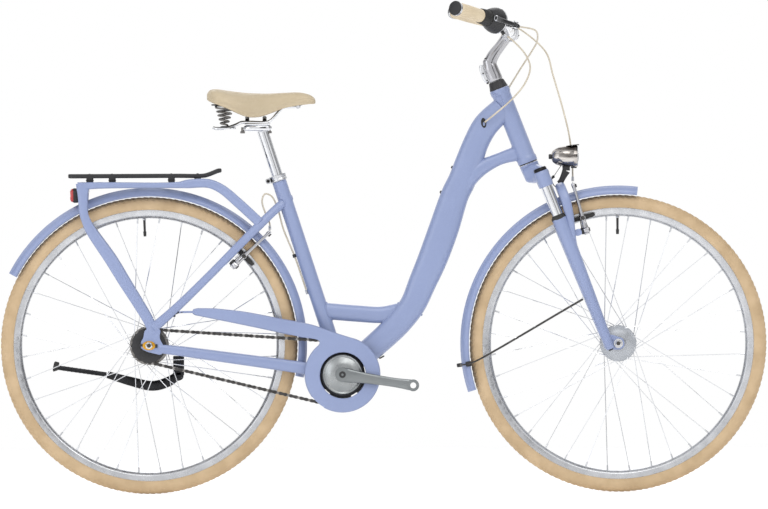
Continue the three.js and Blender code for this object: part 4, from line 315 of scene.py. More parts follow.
# %% Objects and pieces
def mesh_object(name, parts, angle=32.0):
    """One object from several (vertices, faces) pairs in millimetres, smooth up to an angle."""
    verts, faces, start = [], [], 0
    for v, f in parts:
        verts.append(np.asarray(v, float))
        faces += [tuple(i + start for i in face) for face in f]
        start += len(v)
    mesh = bpy.data.meshes.new(name)
    mesh.from_pydata((np.vstack(verts) * MM).tolist(), [], faces)
    bm = bmesh.new()
    bm.from_mesh(mesh)
    bmesh.ops.remove_doubles(bm, verts=bm.verts, dist=2e-6)
    bmesh.ops.dissolve_degenerate(bm, dist=1e-7, edges=bm.edges)
    bmesh.ops.recalc_face_normals(bm, faces=bm.faces)
    bm.to_mesh(mesh)
    bm.free()
    mesh.shade_smooth()
    mesh.set_sharp_from_angle(angle=radians(angle))
    obj = bpy.data.objects.new(name, mesh)
    bpy.context.scene.collection.objects.link(obj)
    return obj


def flat_copy(obj):
    """Applies an object's modifiers into its mesh."""
    bpy.context.view_layer.update()
    mesh = baked(obj)
    obj.modifiers.clear()
    obj.data = mesh
    return obj


made = []
SLOTS = {"paint": "frame_paint", "black_plastic": "black_plastic", "rubber": "black_plastic",
    "black_metal": "black_metal", "silver": "silver", "chrome": "polished", "steel": "steel", "dark_steel": "steel",
    "tan_rubber": "tan_tyre", "red_lens": "red_lens", "clear_lens": "clear_lens", "cream_leather": "cream_leather",
    "cream_grip": "cream_grip", "cream_casing": "cream_casing", "gold_washer": "steel", "lamp_chrome": "polished"}


def piece(name, parts, material, body, replaces=(), slot=None, angle=32.0):
    """Builds, paints and mounts one piece of the bicycle on a body; the slot its finish's name maps to, or the one
    given, is worked out but not stored.
    """
    obj = parts if isinstance(parts, bpy.types.Object) else mesh_object(name, parts, angle)
    obj.name = name
    obj.data.materials.clear()
    obj.data.materials.append(material)
    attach(obj, body)
    if replaces:
        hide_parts(*replaces)
    if slot is None:  # a finish whose name the CAD already uses is numbered after a dot
        slot = SLOTS.get(material.name.split(".")[0], "silver")
    made.append(name)
    return obj


print("helpers ready")

# %% [markdown]
# ## Studio, camera and light
# The photo is taken from the right side, level, from far away, on white paper: a long lens stands in for it.
# One big soft key from above and in front, a weaker fill from the left, and a bright world keep shadows faint.

# %% Studio
scene = bpy.context.scene
for obj in list(scene.objects):
    if obj.type in {"CAMERA", "LIGHT"}:
        bpy.data.objects.remove(obj)

PHOTO_WIDTH, MM_PER_PX, CENTRE_PX, AXLES_PX = 768, 2.365, (384.0, 254.5), (383.25, 344.35)
DISTANCE, ROLL = 40000.0, radians(0.28)
centre_x = (CENTRE_PX[0] - AXLES_PX[0]) * MM_PER_PX
centre_z = WHEEL_RADIUS - (CENTRE_PX[1] - AXLES_PX[1]) * MM_PER_PX

camera_data = bpy.data.cameras.new("camera")
camera_data.sensor_width, camera_data.sensor_fit = 36.0, "HORIZONTAL"
camera_data.lens = camera_data.sensor_width * DISTANCE / (PHOTO_WIDTH * MM_PER_PX)
camera_data.clip_end = 200.0
camera = bpy.data.objects.new("camera", camera_data)
scene.collection.objects.link(camera)
camera.location = (centre_x * MM, -DISTANCE * MM, centre_z * MM)
camera.rotation_euler = Euler((pi / 2, ROLL, 0))
scene.camera = camera
print("camera lens", round(camera_data.lens, 1), "mm, from", DISTANCE * MM, "m")

# %% Lamps
def area_light(name, at, aim, size, watts, colour=(1, 1, 1)):
    data = bpy.data.lights.new(name, "AREA")
    data.shape, data.size, data.size_y = "RECTANGLE", size[0], size[1]
    data.energy, data.color = watts, colour
    light = bpy.data.objects.new(name, data)
    scene.collection.objects.link(light)
    light.location = at
    light.rotation_euler = (Vector(aim) - Vector(at)).to_track_quat("-Z", "Y").to_euler()


area_light("key", (0.9, -3.2, 3.6), (0, 0, 0.45), (3.4, 2.4), 60, (1.0, 0.99, 0.97))
area_light("fill", (-3.0, -2.6, 1.4), (0, 0, 0.5), (2.4, 2.4), 20, (0.95, 0.97, 1.0))
area_light("rim", (0.4, 3.2, 3.0), (0, 0, 0.5), (3.0, 1.6), 25)
print("lamps", len(bpy.data.lights))

# %% World
world = bpy.data.worlds.new("studio")
scene.world = world
world.use_nodes = True


def studio_walls(tree):
    """White to the eye; in reflections a studio with darker strips to the sides, as chrome shows them."""
    new, link, background = tree.nodes.new, tree.links.new, tree.nodes["Background"]
    sky, split, lift = new("ShaderNodeTexCoord"), new("ShaderNodeSeparateXYZ"), new("ShaderNodeMapRange")
    path, pick, strips = new("ShaderNodeLightPath"), new("ShaderNodeMix"), new("ShaderNodeValToRGB")
    link(sky.outputs["Generated"], split.inputs["Vector"])
    strips.color_ramp.interpolation = "EASE"
    stops = [(0.0, 0.75), (0.06, 0.22), (0.14, 1.0), (0.30, 1.05), (0.40, 0.95), (0.585, 1.0), (0.625, 0.10),
        (0.675, 0.12), (0.72, 1.0), (0.88, 1.0), (0.94, 0.25), (1.0, 0.7)]
    lift.inputs["From Min"].default_value, lift.inputs["From Max"].default_value = -1.0, 1.0
    link(split.outputs["X"], lift.inputs["Value"])
    link(lift.outputs["Result"], strips.inputs["Fac"])
    ramp_stops = strips.color_ramp.elements
    for end in (0, -1):
        ramp_stops[end].position, ramp_stops[end].color = stops[end][0], (*[stops[end][1]] * 3, 1)
    for place, level in stops[1:-1]:
        ramp_stops.new(place).color = (level, level, level * 1.01, 1)
    pick.data_type = "RGBA"
    link(path.outputs["Is Camera Ray"], pick.inputs["Factor"])
    link(strips.outputs["Color"], pick.inputs[6])
    pick.inputs[7].default_value = (1.0, 1.0, 1.0, 1.0)
    link(pick.outputs[2], background.inputs["Color"])
    background.inputs["Strength"].default_value = 1.0


studio_walls(world.node_tree)
scene.view_settings.view_transform = "Standard"
print("world nodes", len(world.node_tree.nodes))

# %% [markdown]
# ## Finishes
# Every finish is made of nodes on Object coordinates: two close tones mixed by a slow noise, a roughness that
# wanders with a finer one, and a bump for the surface's own texture. Brushed metal stretches its noise. The lamp's
# chrome is set apart: its tones lie far apart and its noise is stretched into level bands, a painted reflection.

# %% Node helpers
def tree_of(name):
    """A new material with its tree, its shader and its object coordinates."""
    material = bpy.data.materials.new(name)
    material.use_nodes = True
    tree = material.node_tree
    return material, tree, tree.nodes["Principled BSDF"], add(tree, "ShaderNodeTexCoord").outputs["Object"]


def add(tree, kind, **values):
    node = tree.nodes.new(kind)
    for key, value in values.items():
        if key in node.inputs:
            node.inputs[key].default_value = value
        else:
            setattr(node, key, value)
    return node


def noise(tree, coords, scale, detail=3.0, stretch=None):
    source = coords
    if stretch:
        mapping = add(tree, "ShaderNodeMapping")
        mapping.inputs["Scale"].default_value = stretch
        tree.links.new(coords, mapping.inputs["Vector"])
        source = mapping.outputs["Vector"]
    node = add(tree, "ShaderNodeTexNoise", Scale=scale, Detail=detail)
    tree.links.new(source, node.inputs["Vector"])
    return node.outputs["Fac"]


def ramp(tree, fac, low, high, a=0.35, b=0.65):
    node = add(tree, "ShaderNodeMapRange")
    for key, value in (("From Min", a), ("From Max", b), ("To Min", low), ("To Max", high)):
        node.inputs[key].default_value = value
    tree.links.new(fac, node.inputs["Value"])
    return node.outputs["Result"]


def mix(tree, fac, a, b):
    node = add(tree, "ShaderNodeMix", data_type="RGBA")
    tree.links.new(fac, node.inputs["Factor"])
    for socket, value in ((node.inputs[6], a), (node.inputs[7], b)):
        if isinstance(value, bpy.types.NodeSocket):
            tree.links.new(value, socket)
        else:
            socket.default_value = (*value, 1.0)
    return node.outputs[2]


print("picture files used", len(bpy.data.images))

# %% A finish of two tones
def raise_grain(tree, shader, height, millimetres, strength=1.0):
    bump = add(tree, "ShaderNodeBump", Strength=strength, Distance=millimetres * MM)
    tree.links.new(height, bump.inputs["Height"])
    tree.links.new(bump.outputs["Normal"], shader.inputs["Normal"])


def set_sockets(shader, **values):
    """Values that are the same all over a surface sit on the shader's own sockets."""
    for key, value in values.items():
        shader.inputs[key.replace("_", " ")].default_value = value


def finish(name, light, dark, rough, metallic=0.0, scale=14.0, bump=0.0, bump_scale=400.0, stretch=None, coat=0.0,
        dust=None, coat_rough=0.12, specular=0.5):
    """A finish from two tones, a roughness pair, and a bump in millimetres."""
    material, tree, shader, coords = tree_of(name)
    tone = mix(tree, ramp(tree, noise(tree, coords, scale, 4.0, stretch), 0, 1), dark, light)
    if dust:
        speck = ramp(tree, noise(tree, coords, 900.0, 2.0), 0.0, 1.0, 0.62, 0.70)
        tone = mix(tree, speck, tone, dust)
    tree.links.new(tone, shader.inputs["Base Color"])
    tree.links.new(ramp(tree, noise(tree, coords, scale * 3, 5.0, stretch), *rough), shader.inputs["Roughness"])
    set_sockets(shader, Metallic=metallic, Coat_Weight=coat, Coat_Roughness=coat_rough, Specular_IOR_Level=specular)
    raise_grain(tree, shader, noise(tree, coords, bump_scale, 5.0, stretch), bump)
    return material


print("materials from the model", len(bpy.data.materials))

# %% Paint, rubber, plastic and metals
PAINT = finish("paint", (0.245, 0.300, 0.490), (0.228, 0.280, 0.462), (0.30, 0.42), scale=5.0, bump=0.02,
    bump_scale=220.0, coat=0.35, dust=(0.30, 0.37, 0.58), coat_rough=0.22)
BLACK = finish("black_plastic", (0.020, 0.020, 0.022), (0.011, 0.011, 0.013), (0.38, 0.55),
    bump=0.03, bump_scale=900.0)
RUBBER = finish("rubber", (0.030, 0.029, 0.028), (0.017, 0.017, 0.017), (0.62, 0.8), bump=0.04, bump_scale=700.0)
ANODISED = finish("black_metal", (0.030, 0.031, 0.034), (0.016, 0.016, 0.018), (0.24, 0.36), 0.85,
    bump=0.008, bump_scale=1200.0)
SILVER = finish("silver", (0.60, 0.61, 0.63), (0.50, 0.51, 0.53), (0.22, 0.36), 1.0, scale=30.0, bump=0.006,
    bump_scale=600.0, stretch=(1, 9, 1))
SATIN = finish("satin_alloy", (0.44, 0.46, 0.49), (0.38, 0.40, 0.43), (0.34, 0.46), 0.9, scale=20.0,
    bump=0.012, bump_scale=900.0)
CHROME = finish("chrome", (0.74, 0.75, 0.77), (0.66, 0.67, 0.69), (0.07, 0.16), 1.0, scale=12.0,
    bump=0.004, bump_scale=300.0)
STEEL = finish("steel", (0.30, 0.29, 0.28), (0.18, 0.17, 0.16), (0.28, 0.46), 0.95, scale=60.0,
    bump=0.01, bump_scale=900.0)
DARK_STEEL = finish("dark_steel", (0.085, 0.082, 0.08), (0.045, 0.043, 0.042), (0.30, 0.48), 0.8, scale=60.0,
    bump=0.01, bump_scale=900.0)
TAN = finish("tan_rubber", (0.560, 0.415, 0.255), (0.475, 0.345, 0.205), (0.66, 0.84), scale=24.0, bump=0.06,
    bump_scale=500.0, specular=0.3)
CREAM = finish("cream_grip", (0.700, 0.590, 0.420), (0.620, 0.510, 0.350), (0.50, 0.66), scale=18.0, bump=0.05,
    bump_scale=600.0, specular=0.35)
CASING = finish("cream_casing", (0.620, 0.560, 0.450), (0.530, 0.470, 0.370), (0.34, 0.46), scale=30.0,
    bump=0.02, bump_scale=900.0)
RED = finish("red_lens", (0.56, 0.010, 0.012), (0.38, 0.006, 0.008), (0.08, 0.18), coat=0.6,
    bump=0.02, bump_scale=260.0)
GOLD = finish("gold_washer", (0.70, 0.38, 0.05), (0.52, 0.26, 0.03), (0.25, 0.4), 1.0, bump=0.006)
DOME_ALLOY = finish("dome_alloy", (0.37, 0.385, 0.39), (0.27, 0.285, 0.29), (0.24, 0.36), 1.0, scale=20.0,
    bump=0.008, bump_scale=900.0)
# Painted reflection: the lamp's chrome has near-white and near-black tones in level bands in its colour, standing in
# for the studio mirrored in it.
LAMP_CHROME_PAINTED_REFLECTION = finish("lamp_chrome", (0.62, 0.59, 0.56), (0.06, 0.05, 0.045), (0.06, 0.14), 1.0, scale=55.0,
    bump=0.004, bump_scale=300.0, stretch=(0.3, 0.3, 1.6))
STEM_CHROME = finish("stem_chrome", (0.55, 0.55, 0.57), (0.40, 0.40, 0.42), (0.10, 0.20), 1.0, scale=12.0,
    bump=0.004, bump_scale=300.0)
CRANK_ALLOY = finish("crank_alloy", (0.27, 0.285, 0.29), (0.19, 0.205, 0.21), (0.28, 0.40), 0.95, scale=16.0,
    bump=0.010, bump_scale=900.0, stretch=(0.25, 1, 1))


print("finishes", len(bpy.data.materials))

# %% [markdown]
# The saddle's cover is embossed leather. A Voronoi pattern's distance to its cell edges gives the pebbles; a noise
# first warps the coordinates, because bare cells look like cracked glass. The creases are lower, and darker through
# painted shade.

# %% Leather
def leather():
    """Pebbled cream leather: cells for the grain, whose creases are painted darker as shade, and a slow noise for the
    handling.
    """
    material, tree, shader, coords = tree_of("cream_leather")
    grain = add(tree, "ShaderNodeTexVoronoi", Scale=620.0, feature="DISTANCE_TO_EDGE")
    warp = add(tree, "ShaderNodeVectorMath", operation="MULTIPLY_ADD")
    warp.inputs[1].default_value = (0.0016, 0.0016, 0.0016)
    jitter = add(tree, "ShaderNodeTexNoise", Scale=300.0, Detail=2.0)
    tree.links.new(coords, jitter.inputs["Vector"])
    tree.links.new(jitter.outputs["Color"], warp.inputs[0])
    tree.links.new(coords, warp.inputs[2])
    tree.links.new(warp.outputs["Vector"], grain.inputs["Vector"])
    crease = ramp(tree, grain.outputs["Distance"], 0.0, 1.0, 0.0, 0.16)
    tone = mix(tree, ramp(tree, noise(tree, coords, 9.0), 0, 1), (0.580, 0.485, 0.330), (0.650, 0.555, 0.400))
    # Painted shade: the creases between the pebbles take a darker brown than the leather's own tone.
    tree.links.new(mix(tree, crease, (0.40, 0.31, 0.19), tone), shader.inputs["Base Color"])
    tree.links.new(ramp(tree, noise(tree, coords, 60.0), 0.42, 0.58), shader.inputs["Roughness"])
    raise_grain(tree, shader, crease, 0.25, 0.9)
    return material


LEATHER = leather()
print("leather nodes", len(LEATHER.node_tree.nodes))

# %% Clear lens
def clear_plastic():
    """The headlamp's lens: nearly clear, with upright flutes."""
    material, tree, shader, coords = tree_of("clear_lens")
    set_sockets(shader, Base_Color=(0.93, 0.95, 0.96, 1), Transmission_Weight=0.82, IOR=1.46)
    tree.links.new(ramp(tree, noise(tree, coords, 80.0), 0.03, 0.12), shader.inputs["Roughness"])
    flutes = add(tree, "ShaderNodeTexWave", Scale=60.0, bands_direction="Y")
    tree.links.new(coords, flutes.inputs["Vector"])
    raise_grain(tree, shader, flutes.outputs["Fac"], 0.2, 0.6)
    return material


CLEAR = clear_plastic()
print("lens nodes", len(CLEAR.node_tree.nodes))

# %% Paper floor
def paper():
    """White studio paper: it returns nearly all the light, so only soft contact shadows show."""
    material, tree, shader, coords = tree_of("paper")
    tone = mix(tree, noise(tree, coords, 3.0), (0.985, 0.985, 0.985), (0.96, 0.96, 0.96))
    tree.links.new(tone, shader.inputs["Base Color"])
    tree.links.new(ramp(tree, noise(tree, coords, 20.0), 0.7, 0.9), shader.inputs["Roughness"])
    set_sockets(shader, Specular_IOR_Level=0.1, Emission_Color=(1, 1, 1, 1), Emission_Strength=0.2)
    return material


PAPER = 9000.0
floor = mesh_object("floor", [([(x * PAPER, z * PAPER, 0) for x, z in ((-1, -1), (1, -1), (1, 1), (-1, 1))],
    [(0, 1, 2, 3)])])
floor.data.materials.append(paper())
print("finishes", len(bpy.data.materials))

# %% [markdown]
# ## Repeats with Geometry Nodes
# Spokes, nipples and tread blocks are each one small source mesh repeated around an axle.
# The tree below makes the points, turns each copy by its index, realizes them and sets the material;
# the result is then baked to a plain mesh.

# %% Copies on points
def copies_tree(name, sockets, points_and_turn):
    """A tree that puts a source mesh on points, turned about Y, and realizes and paints the copies."""
    group = bpy.data.node_groups.new(name, "GeometryNodeTree")
    for label, kind in [("Geometry", "Geometry"), ("Source", "Object"), ("Material", "Material"), *sockets]:
        group.interface.new_socket(label, in_out="INPUT", socket_type="NodeSocket" + kind)
    group.interface.new_socket("Geometry", in_out="OUTPUT", socket_type="NodeSocketGeometry")
    new, link = group.nodes.new, group.links.new
    given, result, info = new("NodeGroupInput"), new("NodeGroupOutput"), new("GeometryNodeObjectInfo")
    euler, instance = new("ShaderNodeCombineXYZ"), new("GeometryNodeInstanceOnPoints")
    realize, paint = new("GeometryNodeRealizeInstances"), new("GeometryNodeSetMaterial")
    points, turn = points_and_turn(new, link, given.outputs)
    link(given.outputs["Source"], info.inputs["Object"])
    link(points, instance.inputs["Points"])
    link(info.outputs["Geometry"], instance.inputs["Instance"])
    link(turn, euler.inputs["Y"])
    link(euler.outputs["Vector"], instance.inputs["Rotation"])
    link(instance.outputs["Instances"], realize.inputs["Geometry"])
    link(realize.outputs["Geometry"], paint.inputs["Geometry"])
    link(given.outputs["Material"], paint.inputs["Material"])
    link(paint.outputs["Geometry"], result.inputs["Geometry"])
    return group


def stacked_points(new, link, given):
    """Points all at the centre, each turned on by one more step."""
    line, index, turn = new("GeometryNodeMeshLine"), new("GeometryNodeInputIndex"), new("ShaderNodeMath")
    line.inputs["Offset"].default_value, turn.operation = (0, 0, 0), "MULTIPLY"
    link(given["Count"], line.inputs["Count"])
    link(given["Centre"], line.inputs["Start Location"])
    link(index.outputs["Index"], turn.inputs[0])
    link(given["Step"], turn.inputs[1])
    return line.outputs["Mesh"], turn.outputs[0]


TURNING = copies_tree("turning array", [("Count", "Int"), ("Centre", "Vector"), ("Step", "Float")], stacked_points)


def copies(name, parts, holder_mesh, tree, **values):
    """Bakes a copies tree on a holder mesh into a plain mesh."""
    source, holder = mesh_object(name + "_source", parts), bpy.data.objects.new(name, holder_mesh)
    scene.collection.objects.link(holder)
    modifier = holder.modifiers.new("copies", "NODES")
    modifier.node_group = tree
    for item in tree.interface.items_tree:
        if item.in_out == "INPUT" and item.name != "Geometry":
            modifier[item.identifier] = source if item.name == "Source" else values[item.name]
    flat_copy(holder)
    bpy.data.objects.remove(source)
    return holder


def turned_copies(name, parts, material, centre, count):
    """Repeats a mesh, drawn about the origin, around the Y line through a centre."""
    return copies(name, parts, bpy.data.meshes.new(name), TURNING, Material=material, Count=count,
        Centre=tuple(np.asarray(centre) * MM), Step=-2 * pi / count)


print("turning array ready")

# %% [markdown]
# ## Wheels
# Tyre, rim, laced spokes with their nipples and the two hubs. A generator hub turns in the fork,
# a gear hub in the frame. The tyre's small tread blocks stand on the casing in six rows.

# %% Wheel sizes
TYRE_SECTION, TYRE_MIDDLE = 40.0, 330.5
RIM = {"edge": 321.0, "inner": 301.0, "half": 12.0, "bed": 7.5}
SPOKES, LEAD, WEAVE = 36, 50.0, 1.9
FRONT_HUB = {"flange": 43.0, "at": 27.0, "drum": 33.0, "neck": 15.0, "face": 46.0}
REAR_HUB = {"flange": 46.0, "at": 25.0, "drum": 40.0, "neck": 24.0, "face": 40.0}
TREAD = {"rows": (-52, -31, -10, 10, 31, 52), "count": 150, "size": (9.6, 4.6, 1.4)}
print("spokes", SPOKES, "tread blocks", TREAD["count"] * len(TREAD["rows"]))

# %% Tyre
def tyre_rows():
    r = TYRE_SECTION / 2
    arc = [radians(a) for a in np.linspace(-119, 119, 41)]
    outer = [(TYRE_MIDDLE + r * cos(a) - 0.3, r * sin(a)) for a in arc]
    line = [(314, -9.2), (319, -9.6), (321.4, -9.9), (321.8, -12.2)]
    for radius, side in outer:
        rib = 0.35 if abs(abs(side) - 17.2) < 1.0 or abs(abs(side) - 13.4) < 0.6 else 0.0
        line.append((radius + rib, side))
    return line + [(321.8, 12.2), (321.4, 9.9), (319, 9.6), (314, 9.2)]


def tread_blocks():
    blocks = []
    for row in TREAD["rows"]:
        a = radians(row)
        out, along = V(cos(a), sin(a), 0), V(0, 0, 1)
        across = np.cross(out, along)
        lean = radians(24 if row > 0 else -24)
        x = along * cos(lean) + across * sin(lean)
        at = V(TYRE_MIDDLE, 0, 0) + out * (TYRE_SECTION / 2) + along * (4.0 if abs(row) == 31 else 0.0)
        blocks.append(block(TREAD["size"], at - out * 0.3, np.stack([x, np.cross(out, x), out], 1), 0.5))
    return blocks


print("tyre section points", len(tyre_rows()))

# %% Rim and spokes
def rim_rows():
    e, i, h, b = RIM["edge"], RIM["inner"], RIM["half"], RIM["bed"]
    half = [(e, h - 1.9), (e + 0.5, h - 1.2), (e + 0.3, h - 0.2), (e - 1, h), (e - 2, h - 0.15), (e - 12.5, h - 0.15),
        (e - 13.5, h - 0.5), (i + 4, b + 1.6), (i + 1.2, b - 0.6), (i, b - 3), (i - 0.5, 0)]
    bed = mirrored([(e - 2, h - 1.6), (e - 9, h - 1.8)])
    return half + [(r, -y) for r, y in half[-2::-1]] + bed[::-1]


def spoke_lines(hub):
    """Four neighbouring spokes as (flange end, rim end) about the axle."""
    lines = []
    for i in range(4):
        side, lead = (1 if i % 2 == 0 else -1), (1 if i % 4 < 2 else -1)
        rim_a = radians(360 * (i + 0.5) / SPOKES)
        hub_a = rim_a + lead * radians(LEAD)
        r = hub["flange"] - 3.2
        y = side * (hub["at"] + 2 + lead * WEAVE)
        lines.append((V(r * cos(hub_a), y, r * sin(hub_a)), V(301.5 * cos(rim_a), side * 1.9, 301.5 * sin(rim_a)),
            side * lead))
    return lines


print("first spoke", [p.round(1) for p in spoke_lines(FRONT_HUB)[0][:2]])

# %% [markdown]
# A hub is a turned shell with two flanges that the spokes hook into. Half of its profile is written down, with
# a ring groove for each rib, and mirrored.

# %% Hubs
def hub_rows(hub, ribs):
    """Half profile from the left face to the middle, mirrored to the other side."""
    f, d, at = hub["flange"], hub["drum"], hub["at"]
    half = [(5.6, hub["face"]), (hub["neck"] - 2, hub["face"]), (hub["neck"], hub["face"] - 1.5),
        (hub["neck"] + 1, at + 9), (hub["neck"] + 4, at + 6.5), (d - 3, at + 5.2), (d, at + 4), (f - 1.2, at + 4),
        (f, at + 3), (f, at + 1), (f - 1.2, at), (d + 3, at), (d, at - 2)]
    for i in range(ribs):
        y = (at - 4) * (1 - (i + 0.5) / ribs)
        half += [(d, y + 1.6), (d - 1.1, y + 0.9), (d - 1.1, y - 0.9), (d, y - 1.6)]
    return mirrored(half)


print("hub profile points", len(hub_rows(REAR_HUB, 3)))

# %% Both wheels
def wheel(prefix, centre, hub, hub_finish, ribs, valve, body):
    casing = hollow(tyre_rows(), centre, Y, 256)
    piece(prefix + "_tyre_casing", [casing], TAN, body, [prefix + "_tyre"], angle=50)
    tread = turned_copies(prefix + "_tyre_tread", tread_blocks(), TAN, centre, TREAD["count"])
    piece(tread.name, tread, TAN, body)
    rim = [hollow(rim_rows(), centre, Y, 216)]
    piece(prefix + "_rim_hoop", rim, SILVER, body, [prefix + "_rim"], angle=28)
    stem = [bar(around(centre, 302, valve), around(centre, 270, valve), 3.0, 2.7, 16),
        bar(around(centre, 270, valve), around(centre, 258, valve), 3.9, 3.4, 14)]
    piece(prefix + "_valve", stem, RUBBER, body, slot="")
    nut = bar(around(centre, 300.2, valve), around(centre, 297, valve), 5.0, 5.0, 6)
    piece(prefix + "_valve_nut", [nut], CHROME, body, slot="")
    lines = spoke_lines(hub)
    spokes = [rod([a, b], 2.0, 8) for a, b, _ in lines]
    for a, b, out in lines:
        way = unit(b - a)
        foot = a - Y * 2.6 * out - way * 0.6
        spokes.append(rod([foot, a + way * 0.2 - Y * 0.6 * out, a + way * 2.4], 2.1, 8))
        spokes.append(bar(foot - Y * 0.8 * out, foot + Y * 0.4 * out, 2.0, 1.4, 10, 0.2))
    nipples = [bar(b, b + unit(a - b) * 12, 2.1, 1.9, 8, 0.3) for a, b, _ in lines]
    for name, parts, material in (("_spokes", spokes, CHROME), ("_nipples", nipples, SILVER)):
        obj = turned_copies(prefix + name, parts, material, centre, SPOKES // 4)
        piece(obj.name, obj, material, body)
    piece(prefix + "_hub_shell", [hollow(hub_rows(hub, ribs), centre, Y, 72)], hub_finish, body,
        [prefix + "_hub"], "silver", 26)


wheel("front", FRONT, FRONT_HUB, SATIN, 2, 90, "front_wheel")
wheel("rear", REAR, REAR_HUB, STEEL, 3, 92, "rear_wheel")
print("wheel pieces", made[:9])

# %% [markdown]
# The axles end in nuts outside the dropouts. Their threads are thin rings, because a true helix would cost
# many faces for a detail that is only a few millimetres wide.

# %% Axles
def axle(prefix, centre, dropout, body):
    """A threaded rod with a washer, a nut and a dome on each side."""
    washer = dropout + 6.3
    parts, nuts = [bar(V(centre[0], -washer - 14, centre[2]), V(centre[0], washer + 14, centre[2]),
        4.8, sides=24)], []
    for side in (-1, 1):
        at = V(centre[0], side * washer, centre[2])
        nuts.append(bar(at, at + Y * side * 2, *[11 if prefix == "front" else 8] * 2, 32))
        nuts.append(bar(at + Y * side * 2, at + Y * side * 9, 9, 9, 6, 0.8))
        nuts.append(lathe([(0, 0), (7.4, 0), (7.2, 1.6), (5.4, 3.4), (0, 3.6)], at + Y * side * 9, Y * side, 24))
        for k in range(9):
            thread = at + Y * side * (10 + k * 0.5)
            parts.append(bar(thread, thread + Y * side * 0.25, 5.0, 5.0, 20, 0.05))
    piece(prefix + "_axle_rod", parts, DARK_STEEL, body, [prefix + "_axle"])
    piece(prefix + "_axle_nuts", nuts, CHROME, body, slot="steel")


axle("front", FRONT, 50.5, "fork_lower")
axle("rear", REAR, 66.0, "frame")
print("wheel pieces", len(made))

# %% [markdown]
# ## Painted frame
# One low, hydroformed main tube runs from the head tube down to the bottom bracket. Its stations are shares
# of the reach and rise between the two; the spline keeps the swelling and narrowing of the real tube.
# Where tubes meet, a weld bead follows the line in which the one tube's surface enters the other.

# %% Stations of the frame
SPAN = HEAD_TOP - BB
TUBE_DEPTH = 71.0
MAIN_SHARES = [(1.023, 0.931, 0.80, 0.60), (0.916, 0.873, 0.86, 0.62), (0.857, 0.816, 0.85, 0.63),
    (0.811, 0.750, 0.90, 0.64), (0.760, 0.676, 0.93, 0.66), (0.720, 0.632, 0.93, 0.67), (0.648, 0.514, 1.00, 0.69),
    (0.575, 0.405, 0.99, 0.70), (0.508, 0.320, 0.93, 0.70), (0.447, 0.244, 0.87, 0.72), (0.361, 0.182, 0.85, 0.74),
    (0.289, 0.142, 0.83, 0.76), (0.214, 0.105, 0.81, 0.78), (0.101, 0.051, 0.79, 0.80)]
GUSSET_EDGES = [(323.4, 820.1, 340.0, 784.6, 26), (302.1, 813.9, 309.2, 781.5, 27), (276.1, 804.0, 283.2, 775.2, 28),
    (257.2, 796.9, 259.6, 763.3, 31), (243.0, 791.7, 239.5, 749.1, 36), (228.8, 785.8, 222.9, 732.6, 41),
    (214.6, 777.5, 208.7, 713.7, 44), (200.4, 758.6, 195.7, 694.8, 44)]
STRUT_SHARES = [(-0.105, 0.223), (0.101, 0.213), (0.250, 0.209), (0.370, 0.222)]
DROPOUT_SHEET, DROPOUT_SIZE = 6.0, 40.0
DROPOUT_SIDE = 66.0 + DROPOUT_SHEET / 2
CHAINSTAY_ROWS = [(0.048, 0.10, DROPOUT_SIDE, 9, 20), (0.16, 0.19, 65, 15, 23), (0.49, 0.49, 47, 16, 26),
    (0.69, 0.67, 38, 14, 28), (0.83, 0.81, 36, 13, 29), (0.975, 0.97, 27, 16, 30)]
SEATSTAY_ROWS = [(0.03, 0.12, DROPOUT_SIDE, 12, 23), (0.2, 0.265, 63, 15, 20), (0.425, 0.475, 54, 15, 19),
    (0.725, 0.765, 45, 15, 20), (0.815, 0.85, 39, 15, 20), (0.9, 0.93, 25, 14.5, 20),
    (0.97, 0.99, 13, 13, 20), (1.02, 1.03, 6, 10, 16)]
DROPOUT_SHARES = [(-0.25, 0.98), (-0.32, 0.48), (-0.48, 0.20), (-0.50, -0.14), (-0.14, -0.36), (0.76, -0.58),
    (0.95, -0.15), (0.60, 0.45), (0.72, 1.00)]
MUDGUARD_OUTER = 373.0
STAY_JOINT, SEAT_TOP = seat(428), seat(SEAT_LENGTH)
print("main tube stations", len(MAIN_SHARES), "span", SPAN.round(1))

# %% Stays and rounded corners
def share(reach, rise):
    """A point from its shares of the span from the bottom bracket to the head tube's top."""
    return V(BB[0] + reach * SPAN[0], 0, BB[2] + rise * SPAN[2])


def round_corners(outline, radius):
    """Rounds an outline's corners with short arcs of about the given radius."""
    pts, out = np.asarray(outline, float), []
    for i, p in enumerate(pts):
        a, b = pts[i - 1] - p, pts[(i + 1) % len(pts)] - p
        cut = min(radius, np.linalg.norm(a) * 0.45, np.linalg.norm(b) * 0.45)
        start, end = p + unit(a) * cut, p + unit(b) * cut
        for t in np.linspace(0, 1, 5):
            out.append((1 - t)**2 * start + 2 * t * (1 - t) * p + t**2 * end)
    return np.array(out)


def stay(rows, joint, side):
    """Stations of a stay from shares of the way from the rear axle to its joint."""
    return [(REAR[0] + r * (joint[0] - REAR[0]), side * y, REAR[2] + z * (joint[2] - REAR[2]), w, d)
        for r, z, y, w, d in rows]


print("rounded square has", len(round_corners([(0, 0), (9, 0), (9, 9), (0, 9)], 2)), "points")

# %% [markdown]
# ## Cuts and weld beads
# A real frame shows a rounded bead where its tubes meet. Rays sent from a tube's ring along the tube find where it
# enters the other mesh, and a wire with a slight ripple follows those points. This works for any pair of tubes, where
# a hand-drawn line would have to be redrawn whenever a station moves.

# %% Cutting and welding
def carve(part, cutter):
    """Takes a cutter's volume out of a part with an exact boolean."""
    body, tool = mesh_object("cut_body", [part]), mesh_object("cut_tool", [cutter])
    m = body.modifiers.new("cut", "BOOLEAN")
    m.operation, m.object, m.solver = "DIFFERENCE", tool, "EXACT"
    result = points_and_faces(flat_copy(body).data)
    bpy.data.objects.remove(body)
    bpy.data.objects.remove(tool)
    return result


